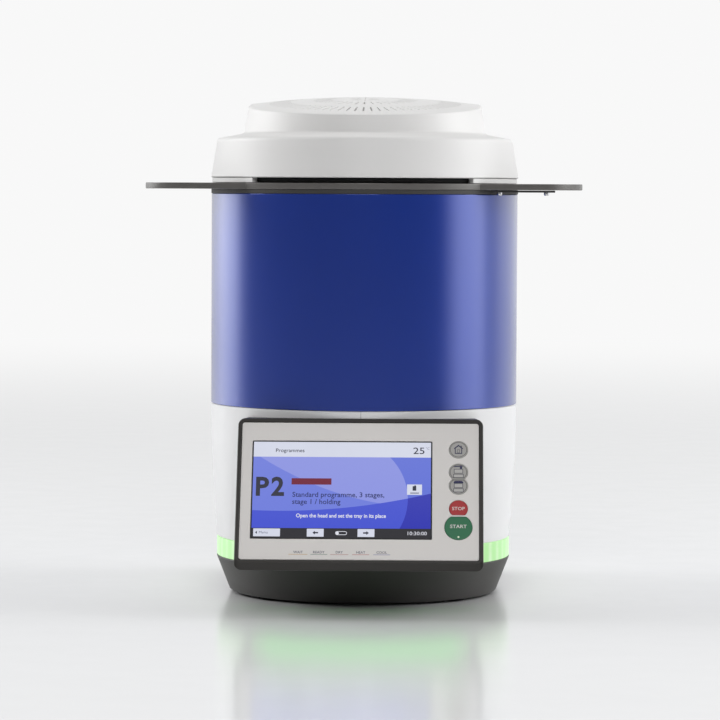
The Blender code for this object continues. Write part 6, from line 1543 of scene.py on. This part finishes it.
def print_on(name, material, outlines=(), words=(), layer=1, base=None, body="furnace_body"):
    """One printed piece: plates, rings (an outline and its hole) and words over a base height."""
    base_w = (top_w if base is None else base) + LAYER_STEP * (layer - 1)
    mesh = bmesh.new()
    for outline in outlines:
        loops = outline if isinstance(outline[0][0], (tuple, list)) else [outline]
        flat = [[(u * MILLIMETRES, v * MILLIMETRES) for u, v in loop] for loop in loops]
        rings = [on_panel(flat[0], -base_w), on_panel(flat[0], -base_w - SHEET)]
        if len(flat) > 1:
            rings += [on_panel(flat[1], -base_w - SHEET), on_panel(flat[1], -base_w)]
        skin(mesh, rings, looped=len(flat) > 1)
    for entry in words:
        add_words(mesh, base_w, SHEET, *entry[0], **entry[1])
    data = as_mesh(mesh, name)
    layer_uv = data.uv_layers.new(name="panel_mm")
    back = panel_matrix.inverted()
    for loop in data.loops:
        point = back @ data.vertices[loop.vertex_index].co
        layer_uv.data[loop.index].uv = (point.x / MILLIMETRES, point.y / MILLIMETRES)
    return new_piece(name, data, material, body=body)


def tile(left, bottom, right, top, radius=0.3):
    """A rectangle of the picture with slightly round corners."""
    return rounded((left, bottom), (right, top), radius, 3)


def lit_colour(name, colour):
    """A part of the picture in one colour, made uneven by the backlight."""
    material, nodes_tree, face_shader = open_material(name, lit_values)
    uneven = drift(nodes_tree, 0.5, 0.8, BACKLIGHT_PATCHES)
    shown = mix_colour(nodes_tree, uneven, shade(colour, 0.96), shade(colour, 1.04))
    nodes_tree.links.new(shown, face_shader.inputs["Emission Color"])
    face_shader.inputs["Base Color"].default_value = shade(colour, UNLIT_SHARE)
    return material


print("capital height of the font:", round(CAPITAL, 3))

# %% The picture's parts
# the picture's edges and its two bars, in millimetres of the panel's frame
LEFT, RIGHT, BOTTOM, TOP = -93.2, 61.9, 24.7, 117.4
LOWER_BAR, UPPER_BAR = 34.0, 102.8
BUTTON_FOOT, BUTTON_TOP = 25.9, 33.4
ROW = (BUTTON_FOOT + BUTTON_TOP) / 2
screen_pale = lit_colour("display_pale", (0.76, 0.79, 0.92))
screen_dark = lit_colour("display_bar", (0.02, 0.019, 0.026))
screen_ink = lit_colour("display_ink", (0.034, 0.036, 0.06))
screen_text = lit_colour("display_text", (0.026, 0.034, 0.15))
screen_white = lit_colour("display_white", (0.86, 0.87, 0.96))
screen_grey = lit_colour("display_grey", (0.17, 0.18, 0.27))
screen_red = lit_colour("display_red", (0.19, 0.018, 0.045))


def slab(left, bottom, right, top):
    """A rectangle with sharp corners."""
    return [(left, bottom), (right, bottom), (right, top), (left, top)]


print_on("screen_field", picture, [slab(LEFT, LOWER_BAR, RIGHT, UPPER_BAR)])
print_on("screen_top_bar", screen_pale, [slab(LEFT, UPPER_BAR, RIGHT, TOP)])
print_on("screen_bottom_bar", screen_dark, [slab(LEFT, BOTTOM, RIGHT, LOWER_BAR)])
soft_keys = ((-91.6, -68.4), (-45.2, -30.6), (-1.3, 13.3))
buttons = [tile(left, BUTTON_FOOT, right, BUTTON_TOP) for left, right in soft_keys]
buttons.append(tile(41.2, 66.6, 54.2, 76.6))
print_on("screen_buttons", screen_pale, buttons, layer=2)
print_on("screen_label", screen_red, [tile(-59.5, 75.9, -24.7, 82.0)], layer=2)


def arrow(tip, direction):
    """A short arrow on a button."""
    shape = [(0.0, 0.0), (2.2, -1.8), (2.2, -0.7), (5.0, -0.7), (5.0, 0.7), (2.2, 0.7), (2.2, 1.8)]
    points = [(tip + direction * x, ROW + y) for x, y in shape]
    return points if direction > 0 else list(reversed(points))


marks = [arrow(-40.4, 1), arrow(8.5, -1), [(-90.0, ROW), (-88.4, ROW - 1.5), (-88.4, ROW + 1.5)]]
marks += [tile(46.0, 70.6, 49.2, 75.0, 0.2), tile(47.6, 73.2, 48.8, 75.8, 0.2)]
print_on(
    "screen_ink", screen_ink, marks, layer=3,
    words=[
        (("P", -90.4, 65.4, 17.0, 11.4), {"bold": 0.03}),
        (("2", -77.0, 65.4, 17.0, 11.2), {"bold": 0.03}),
        (("25", 46.4, 106.3, 6.2, 9.8), {"bold": 0.004}),
        (("Programmes", -73.8, 107.4, 3.4), {"bold": 0.008}),
    ],
)
print_on(
    "screen_small_ink", screen_grey, [tile(44.0, 67.8, 51.6, 68.8, 0.2)], layer=3,
    words=[(("Menu", -86.6, 28.6, 2.4), {}), (("°C", 57.4, 110.6, 2.1), {})],
)
print_on(
    "screen_text", screen_text, layer=3,
    words=[
        (("Standard programme, 3 stages,", -58.5, 64.0, 4.6, 80.0), {"bold": 0.012}),
        (("stage 1 / holding", -58.5, 57.2, 4.6, 42.0), {"bold": 0.012}),
    ],
)
pill = [tile(-20.6, 27.6, -10.4, 31.2, 1.79), tile(-20.1, 28.1, -10.9, 30.7, 1.29)]
print_on(
    "screen_white_text", screen_white, [pill, tile(-20.0, 28.1, -17.4, 30.7, 1.25)], layer=3,
    words=[
        (("Open the head and set the tray in its place", -54.9, 44.3, 3.5, 78.0), {"bold": 0.018}),
        (("10:30:00", 42.0, 27.9, 3.3, 16.6), {"bold": 0.002}),
    ],
)

# %% [markdown]
# The caps carry their signs in ink: a house, the head up and the head down over two boxes, and
# two words. A thin dark line runs round each grey cap. The signs ride on the caps, so they go
# down with them when a key is pressed.

# %% Signs on the keys
navy_ink = ink("navy_ink", (0.01, 0.01, 0.08), 0.08)
pale_ink = ink("pale_ink", (0.82, 0.79, 0.77), 0.03)
grey_ink = ink("grey_ink", (0.1, 0.098, 0.125), 0.05)
box_ink = ink("box_ink", (0.56, 0.55, 0.53), 0.03)
KEY_LINE = 0.0006
KEY_LINE_INSET = 0.00065
KEY_TOP = panel_reach("home_key")[1].z


def frame_of(left, bottom, right, top, line):
    """A rectangle and the hole that leaves only its outline."""
    return [slab(left, bottom, right, top), slab(left + line, bottom + line, right - line, top - line)]


def at_key(name, shapes):
    """Move shapes in millimetres to the middle of a key."""
    u, v = (value / MILLIMETRES for value in key_middle(name))
    moved = []
    for shape in shapes:
        loops = shape if isinstance(shape[0][0], (tuple, list)) else [shape]
        placed = [[(x + u, y + v) for x, y in loop] for loop in loops]
        moved.append(placed if len(placed) > 1 else placed[0])
    return moved


def sign(name, part, material, shapes=(), words=(), layer=1):
    """A sign on a key, riding with it."""
    print_on(
        name + "_" + part, material, at_key(name, shapes), words, layer, KEY_TOP, KEY_BODY[name],
    )


for name in ("home_key", "head_open_key", "head_close_key"):
    line = [key_outline(name, -inset) for inset in (KEY_LINE_INSET, KEY_LINE_INSET + KEY_LINE)]
    line = [[(u / MILLIMETRES, v / MILLIMETRES) for u, v in loop] for loop in line]
    print_on(name + "_line", key_line, [line], base=KEY_TOP, body=KEY_BODY[name])

roof = [(0.0, 4.8), (-4.1, 1.2), (-3.4, 0.5), (0.0, 3.5), (3.4, 0.5), (4.1, 1.2)]
walls = [(-3.2, 0.9), (-3.2, -4.0), (3.2, -4.0), (3.2, 0.9), (2.5, 1.4), (2.5, -3.3), (-2.5, -3.3), (-2.5, 1.4)]
chimney = [(2.0, 3.9), (2.0, 2.6), (2.9, 1.9), (2.9, 3.9)]
sign("home_key", "sign", navy_ink, [roof, walls])
sign("home_key", "door", grey_ink, [frame_of(-1.1, -3.2, 1.1, 0.2, 0.35), chimney])
BOX_LINE = 0.55
CLOSED_DROP = 0.7
LIDS = {
    "head_open_key": [
        [(-4.4, 4.9), (4.2, 5.6), (4.2, 6.7), (-3.4, 6.0)], [(1.2, 3.3), (3.2, 3.3), (3.2, 5.4), (1.2, 5.3)],
    ],
    "head_close_key": [[(-4.2, 2.6), (4.2, 2.6), (4.2, 4.1), (2.6, 4.8), (-2.6, 4.8), (-4.2, 4.1)]],
}
for name, drop in (("head_open_key", 0.0), ("head_close_key", CLOSED_DROP)):
    upper = frame_of(-4.0, -1.2 - drop, 4.0, 3.2 - drop, BOX_LINE)
    lower = frame_of(-4.5, -5.4 - drop, 4.5, -1.7 - drop, BOX_LINE)
    fills = [slab(-3.4, -0.6 - drop, 3.4, 2.6 - drop), slab(-3.9, -4.8 - drop, 3.9, -2.3 - drop)]
    sign(name, "boxes", grey_ink, [upper, lower])
    sign(name, "fills", box_ink, fills)
    sign(name, "lid", navy_ink, LIDS[name])
# key, word, how far it stands above the middle, height of its capitals, width
WORDS = (("stop_key", "STOP", 0.1, 3.0, 11.0), ("start_key", "START", 0.8, 3.1, 14.4))
for name, word, rise, tall, wide in WORDS:
    u, v = (value / MILLIMETRES for value in key_middle(name))
    entry = ((word, u, v + rise - tall / 2, tall, wide), {"bold": 0.01, "centred": True})
    print_on(name + "_word", pale_ink, words=[entry], base=KEY_TOP, body=KEY_BODY[name])
ready_lamp = lit_colour("ready_lamp", (0.75, 0.86, 0.66))
sign("start_key", "lamp", ready_lamp, [circle((0.0, -9.3), 0.85, 24)])

# %% [markdown]
# Below the display the fascia names five states, each over a line in its own pale colour.

# %% State names on the fascia
FASCIA_TOP = fascia_high.z
state_ink = ink("state_ink", (0.1, 0.09, 0.15), 0.06, gloss=0.5)
# word, left and right end, colour of its line
STATES = (
    ("WAIT", -60.6, -44.2, (0.66, 0.46, 0.24)), ("READY", -41.7, -27.1, (0.26, 0.33, 0.28)),
    ("DRY", -24.5, -9.0, (0.58, 0.34, 0.33)), ("HEAT", -5.6, 9.0, (0.6, 0.27, 0.27)),
    ("COOL", 12.5, 27.1, (0.3, 0.28, 0.46)),
)
names = []
for word, left, right, colour in STATES:
    names.append(((word, (left + right) / 2, 9.9, 2.2), {"bold": 0.012, "centred": True}))
    line_ink = ink("line_" + word.lower(), colour, 0.05, gloss=0.5)
    line = [slab(left, 8.6, right, 9.1)]
    print_on("state_line_" + word.lower(), line_ink, line, base=FASCIA_TOP)
print_on("state_names", state_ink, words=names, base=FASCIA_TOP)
print("states:", len(STATES))

# %% [markdown]
# ## Rear wall
#
# A picture of the front cannot show the rear, so it follows what such furnaces need: a zinc-coated
# sheet with a fan grille punched into it, a power inlet with its rocker switch, the connector for
# the vacuum hose and a service socket. The grille's slots are arcs with round ends, because a punch
# with sharp corners would tear the sheet.

# %% Rear panel
fan_low, fan_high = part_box("fan_housing")
inlet_low, inlet_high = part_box("power_inlet")
hose_low, hose_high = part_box("vacuum_connector")
port_low, port_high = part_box("service_port")
FAN_AXIS = ((fan_low.x + fan_high.x) / 2, (fan_low.z + fan_high.z) / 2)
HOSE_AXIS = ((hose_low.x + hose_high.x) / 2, (hose_low.z + hose_high.z) / 2)
FAN_BORE = (fan_high.x - fan_low.x) / 2 - 0.002
GRILLE_INNER = 0.008
GRILLE_RINGS = 3
GRILLE_SLOT = 0.0045
GRILLE_WEB = math.radians(16)
INLET_LIP = 0.003
HOSE_STEM = 0.006
GAP = 0.0003
SCREW_EDGE = 0.005


def inside_box(low, high, inset, radius, steps=6):
    """Outline in (x, z) of a box drawn in by an inset, with round corners."""
    return rounded((low.x + inset, low.z + inset), (high.x - inset, high.z - inset), radius, steps)


def standing(rows, looped=False):
    """A body along Y, skinned from (outline, y) rows."""
    return skin(bmesh.new(), [upright(outline, y) for outline, y in rows], looped)


def corner_places(low, high):
    """Screw places near the four corners of a box's rear face."""
    ends = [(start + SCREW_EDGE, end - SCREW_EDGE) for start, end in ((low.x, high.x), (low.z, high.z))]
    return [(x, panel_high.y, z) for x in ends[0] for z in ends[1]]


def punch(mesh, outline):
    """Add a cutter that goes right through the rear sheet."""
    skin(mesh, [upright(outline, panel_low.y - 0.006), upright(outline, panel_high.y + 0.006)])


def arc_slot(axis, middle, width, start, end):
    """Outline of a slot that follows an arc and has round ends."""
    trim = width / 2 / middle
    start, end = start + trim, end - trim
    points = arc(axis, middle + width / 2, start, end, 16)
    tip = arc(axis, middle, end, end, 1)[0]
    points += arc(tip, width / 2, end, end + math.pi, 8)[1:-1]
    points += arc(axis, middle - width / 2, end, start, 16)
    tip = arc(axis, middle, start, start, 1)[0]
    return points + arc(tip, width / 2, start + math.pi, start + 2 * math.pi, 8)[1:-1]


sheet_rows = ((panel_low.y, 0.0), (panel_high.y - 0.0003, 0.0), (panel_high.y, 0.0003))
sheet = standing([(inside_box(panel_low, panel_high, inset, 0.0015), y) for y, inset in sheet_rows])
holes = bmesh.new()
ring_step = (FAN_BORE - GRILLE_INNER) / GRILLE_RINGS
for ring in range(GRILLE_RINGS):
    ring_middle = GRILLE_INNER + ring_step * (ring + 0.5)
    web = min(GRILLE_WEB * FAN_BORE / (2 * ring_middle), math.pi / 5)
    for quarter in range(4):
        turn_from = quarter * math.pi / 2 + web / 2
        punch(holes, arc_slot(FAN_AXIS, ring_middle, GRILLE_SLOT, turn_from, turn_from + math.pi / 2 - web))
punch(holes, inside_box(inlet_low, inlet_high, INLET_LIP - GAP, 0.001))
punch(holes, inside_box(port_low, port_high, -GAP, 0.0006))
punch(holes, circle(HOSE_AXIS, HOSE_STEM + GAP, 48))
new_piece("rear_sheet", carved(sheet, holes), galvanised, stands_for=["rear_panel"])
size = {"head_radius": 0.0026, "head_height": 0.0015, "socket_radius": 0.0012, "socket_depth": 0.0009}
screws("rear_screws", corner_places(panel_low, panel_high), FACE_REAR, steel, **size)
size = {"head_radius": 0.0023, "head_height": 0.0013, "socket_radius": 0.001, "socket_depth": 0.0008}
screws("fan_screws", corner_places(fan_low, fan_high), FACE_REAR, steel, **size)

# %% [markdown]
# The inlet is one moulding: a flange, a body that reaches in, a recess with two cut corners round
# three flat pins, and a window for the switch. The rocker turns on its own body, so it is built
# about its hinge and tilted there. Its two marks follow the slopes of its face.

# %% Power inlet and switch
INLET_Z = (inlet_low.z + inlet_high.z) / 2
INLET_MIDDLE = (inlet_low.x + inlet_high.x) / 2
SOCKET_X = INLET_MIDDLE - 0.01
SOCKET_HALF = (0.0125, 0.0085)
SOCKET_DEPTH = 0.016
CORNER_CUT = 0.0035
HINGE = Vector((INLET_MIDDLE + 0.0155, inlet_high.y - 0.0025, INLET_Z))
ROCKER_HALF = (0.0055, 0.0095)
ROCKER_PROUD = 0.0025
ROCKER_TILT = math.radians(-7)
MARK_SUNK, MARK_PROUD = -0.0002, 0.00003

INLET_FACE = inlet_high.y
# place along Y, inset, corner radius
flange_rows = (
    (inlet_low.y, INLET_LIP, 0.001), (INLET_FACE - 0.002, INLET_LIP, 0.001), (INLET_FACE - 0.002, 0.0, 0.003),
    (INLET_FACE - 0.0006, 0.0, 0.003), (INLET_FACE - 0.0001, 0.0005, 0.003), (INLET_FACE, 0.001, 0.003),
)
inlet = standing([(inside_box(inlet_low, inlet_high, inset, radius), y) for y, inset, radius in flange_rows])
wide, tall = SOCKET_HALF
mouth = [(-wide, tall), (-wide, CORNER_CUT - tall), (CORNER_CUT - wide, -tall)]
mouth = [(SOCKET_X + x, INLET_Z + z) for x, z in mouth + [(-x, z) for x, z in reversed(mouth)]]
socket = standing([(mouth, INLET_FACE - SOCKET_DEPTH), (mouth, INLET_FACE + 0.002)])
wide, tall = ROCKER_HALF[0] + 0.0005, ROCKER_HALF[1] + 0.001
window = rounded((HINGE.x - wide, INLET_Z - tall), (HINGE.x + wide, INLET_Z + tall), 0.0008, 4)
window = standing([(window, INLET_FACE - 0.012), (window, INLET_FACE + 0.002)])
inlet = carved(inlet, socket, window)
new_piece("inlet_moulding", inlet, black_plastic, stands_for=["power_inlet"])

pins = bmesh.new()
for place, rise in ((-0.007, -0.001), (0.0, 0.002), (0.007, -0.001)):
    blade = [(-0.001, -0.002), (0.001, -0.002), (0.001, 0.002), (-0.001, 0.002)]
    blade = [(SOCKET_X + place + x, INLET_Z + rise + z) for x, z in blade]
    skin(pins, [upright(blade, INLET_FACE - SOCKET_DEPTH - 0.0005), upright(blade, INLET_FACE - 0.002)])
new_piece("inlet_pins", worked(pins, ("BEVEL", {"width": 0.0003, "segments": 2})), steel)


def rocker_face(z):
    """Height of the rocker's shallow V over its hinge."""
    return ROCKER_PROUD / 2 + ROCKER_PROUD * abs(z) / ROCKER_HALF[1]


def on_rocker(outline, lift):
    """An outline of (x, z) points laid on the rocker's face."""
    return [(x, rocker_face(z) + lift, z) for x, z in outline]


half_wide, half_tall = ROCKER_HALF
side = [(-half_tall, rocker_face(half_tall)), (0.0, rocker_face(0.0)), (half_tall, rocker_face(half_tall))]
side += [(half_tall, -0.00125), (half_tall / 2, -0.0065), (-half_tall / 2, -0.0065), (-half_tall, -0.00125)]
rocker = skin(bmesh.new(), [[(x, y, z) for z, y in side] for x in (-half_wide, half_wide)])
easing = {"width": 0.0004, "segments": 2, "limit_method": "ANGLE", "angle_limit": math.radians(40)}
rocker = worked(rocker, ("BEVEL", easing))
marks = bmesh.new()
stroke = rounded((-0.0003, -0.0018), (0.0003, 0.0018), 0.0002, 2)
stroke = [(x, z + half_tall / 2) for x, z in stroke]
skin(marks, [on_rocker(stroke, lift) for lift in (MARK_SUNK, MARK_PROUD)])
outer, inner = [circle((0.0, -half_tall / 2), radius, 32) for radius in (0.0018, 0.0013)]
loops = ((outer, MARK_SUNK), (outer, MARK_PROUD), (inner, MARK_PROUD), (inner, MARK_SUNK))
skin(marks, [on_rocker(loop, lift) for loop, lift in loops], looped=True)
at_hinge = Matrix.Translation(HINGE) @ Matrix.Rotation(ROCKER_TILT, 4, "X")
marks = as_mesh(marks, "marks")
for mesh in (rocker, marks):
    mesh.transform(at_hinge)
new_piece(
    "switch_cap", rocker, black_plastic, body="switch_rocker",
    stands_for=["power_switch_rocker"],
)
new_piece("switch_marks", marks, pale_ink, body="switch_rocker")

# %% [markdown]
# The hose connector is turned from bar: a stem through the sheet, a flange and two barbs, with the
# bore right through. The service socket is a folded shell with a plastic tongue in it.

# %% Hose connector and service socket
FLANGE_FACE = panel_high.y + GAP
HOSE_FLANGE = (hose_high.x - hose_low.x) / 2
HOSE_NECK = 0.0045
HOSE_BORE = 0.0032
HOSE_BARB = 0.0055
# radius, place along Y
hose_rows = [
    (HOSE_STEM, hose_low.y), (HOSE_STEM, FLANGE_FACE), (HOSE_FLANGE - 0.0004, FLANGE_FACE),
    (HOSE_FLANGE, FLANGE_FACE + 0.0004), (HOSE_FLANGE, FLANGE_FACE + 0.0026),
    (HOSE_FLANGE - 0.0004, FLANGE_FACE + 0.003),
]
for index in range(2):
    start = FLANGE_FACE + 0.003 + index * HOSE_BARB
    hose_rows += [(HOSE_NECK, start), (HOSE_BARB - 0.0002, start + 0.001)]
    hose_rows += [(HOSE_BARB, start + 0.0014), (HOSE_BARB - 0.0002, start + 0.0018)]
hose_rows += [(HOSE_NECK, hose_high.y), (HOSE_BORE + 0.0003, hose_high.y)]
hose_rows += [(HOSE_BORE, hose_high.y - 0.0003), (HOSE_BORE, hose_low.y)]
hose = standing([(circle(HOSE_AXIS, radius, 64), y) for radius, y in hose_rows], looped=True)
new_piece("hose_tail", hose, steel, stands_for=["vacuum_connector"])
PORT_WALL = 0.0006
port_rows = [(port_low.y, 0.0), (port_high.y, 0.0)]
port_rows += [(port_high.y, PORT_WALL), (port_low.y + PORT_WALL, PORT_WALL)]
port = standing([(inside_box(port_low, port_high, inset, 0.0009), y) for y, inset in port_rows])
new_piece("service_shell", port, steel, stands_for=["service_port"])
port_z = (port_low.z + port_high.z) / 2
tongue = rounded((port_low.x + 0.0016, port_z + 0.0004), (port_high.x - 0.0016, port_z + 0.0015), 0.0002, 2)
tongue = standing([(tongue, port_low.y + 0.0004), (tongue, port_high.y - 0.001)])
new_piece("service_tongue", tongue, black_plastic)

# %% [markdown]
# ## Firing chamber
#
# With the head up one looks into the chamber: a stepped ceramic mouth, a fibre wall, and a small
# dished table on its stem. One bent element goes up and down along the wall eight times, and its
# two ends pass through the floor to their clamps. The bends are half waves, drawn point by point.

# %% Mouth, wall and table
wall_low, wall_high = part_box("insulation_wall")
table_low, table_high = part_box("firing_table")
sensor_low, sensor_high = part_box("thermocouple")
CHAMBER = 0.05
MOUTH = CHAMBER + 0.002
outer = mouth_high.x
mouth_top = mouth_high.z
mouth_rows = [
    (MOUTH, mouth_low.z), (outer, mouth_low.z), (outer, mouth_top - 0.0005), (outer - 0.0005, mouth_top),
    (MOUTH + 0.0022, mouth_top), (MOUTH + 0.0018, mouth_top - 0.0002),
    (MOUTH + 0.0002, mouth_top - 0.0018), (MOUTH, mouth_top - 0.0022),
]
mouth = turned_body((0, 0), mouth_rows, 128, looped=True)
new_piece("chamber_mouth", mouth, ceramic, stands_for=["chamber_mouth_ring"])
outer = wall_high.x
wall_rows = [
    (CHAMBER, wall_low.z), (outer, wall_low.z), (outer, wall_high.z - 0.001), (outer - 0.001, wall_high.z),
    (CHAMBER + 0.0016, wall_high.z), (CHAMBER + 0.0004, wall_high.z - 0.0005), (CHAMBER, wall_high.z - 0.0016),
]
wall = turned_body((0, 0), wall_rows, 128, looped=True)
sensor_z = (sensor_low.z + sensor_high.z) / 2
sensor_hole = circle((0, sensor_z), 0.0025 + GAP, 32)
sensor_hole = standing([(sensor_hole, CHAMBER / 2), (sensor_hole, outer + 0.002)])
new_piece("chamber_wall", carved(wall, sensor_hole), ceramic, stands_for=["insulation_wall"])
STEM, STEM_BORE = 0.009, 0.005
outer, dish = table_high.x, table_high.x - 0.003
# radius, drop below the table's top
table_rows = (
    (STEM, 0.008), (STEM + 0.002, 0.006), (outer - 0.0008, 0.006), (outer, 0.0052), (outer, 0.0006),
    (outer - 0.0006, 0.0), (dish + 0.0004, 0.0), (dish, 0.0004), (dish - 0.0002, 0.0013),
    (dish - 0.0008, 0.0015), (STEM_BORE, 0.0015),
)
table_rows = [(radius, table_high.z - drop) for radius, drop in table_rows]
table_rows = [(STEM_BORE, table_low.z), (STEM, table_low.z)] + table_rows
table = turned_body((0, 0), table_rows, 96, looped=True)
new_piece("firing_dish", table, ceramic, stands_for=["firing_table"])

# %% Heating element
element_low, element_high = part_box("heating_element")
SHANKS = 8
BEND_STEPS = 16
ROD = 0.002
COIL_RADIUS = CHAMBER - 0.009
BEND = 0.012
CLAMP_RADIUS = 0.0045
ROD_FOOT = 0.004
bend_top = element_high.z - ROD
bend_foot = wall_low.z - GAP + 0.006
clamp_foot = element_low.z
angles = [(index + 0.5) * 2 * math.pi / SHANKS - math.pi / 2 for index in range(SHANKS)]
path = [(angles[0], clamp_foot + ROD_FOOT)]
for index, (here, following) in enumerate(zip(angles, angles[1:])):
    goal, rise = (bend_top, BEND) if index % 2 == 0 else (bend_foot, -BEND)
    for step in range(BEND_STEPS + 1):
        bend = math.pi * step / BEND_STEPS
        angle = (here + following) / 2 - (following - here) / 2 * math.cos(bend)
        path.append((angle, goal - rise + rise * math.sin(bend)))
path.append((angles[-1], clamp_foot + ROD_FOOT))
path = [Vector((COIL_RADIUS * math.cos(angle), COIL_RADIUS * math.sin(angle), z)) for angle, z in path]
rings = []
for index, point in enumerate(path):
    along = (path[min(index + 1, len(path) - 1)] - path[max(index - 1, 0)]).normalized()
    outward = Vector((point.x, point.y, 0.0))
    outward = (outward - outward.dot(along) * along).normalized()
    rings.append([tuple(point + outward * a + along.cross(outward) * b) for a, b in circle((0, 0), ROD, 14)])
element = skin(bmesh.new(), rings)
CLAMP_ROWS = ((0.0, -0.0005), (0.0006, 0.0), (0.0112, 0.0), (0.012, -0.0006))
for angle in (angles[0], angles[-1]):
    centre = (COIL_RADIUS * math.cos(angle), COIL_RADIUS * math.sin(angle))
    skin(element, [level(circle(centre, CLAMP_RADIUS + grow, 32), clamp_foot + up) for up, grow in CLAMP_ROWS])
new_piece("element_coil", element, element_grey, stands_for=["heating_element"])

# %% [markdown]
# ## Pieces that keep their CAD shape
#
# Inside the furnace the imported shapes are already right. They keep their meshes and get the
# finish that the real piece has, so they look true when the head is up or when one looks in
# through the grille.

# %% Finishes of the carried-over pieces
CARRIED = {
    galvanised: [
        "chassis_plate", "chamber_shelf", "power_supply", "lift_frame", "lift_column", "head_baffle",
        "display_module",
    ],
    steel: ["guide_rod_left", "guide_rod_right", "lift_spindle", "motor_coupling", "thermocouple"],
    bronze: ["guide_bush_left", "guide_bush_right", "spindle_nut", "spindle_bearing"],
    black_plastic: ["fan_housing", "fan_rotor", "lift_motor"],
    board_green: ["power_board", "control_board", "key_switch_board"],
    ceramic: ["insulation_floor"],
    white_paint: ["led_strip"],
    steel_grey: ["lift_carriage"],
}
for material, names in CARRIED.items():
    for name in names:
        for material_slot in nodes[name].material_slots:
            material_slot.material = material
print("carried over:", sum(len(names) for names in CARRIED.values()))

# %% [markdown]
# ## Size
#
# The looks must not change the furnace's size, so the last line measures the box of the dressed model.

# %% Measure the dressed model
low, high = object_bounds()
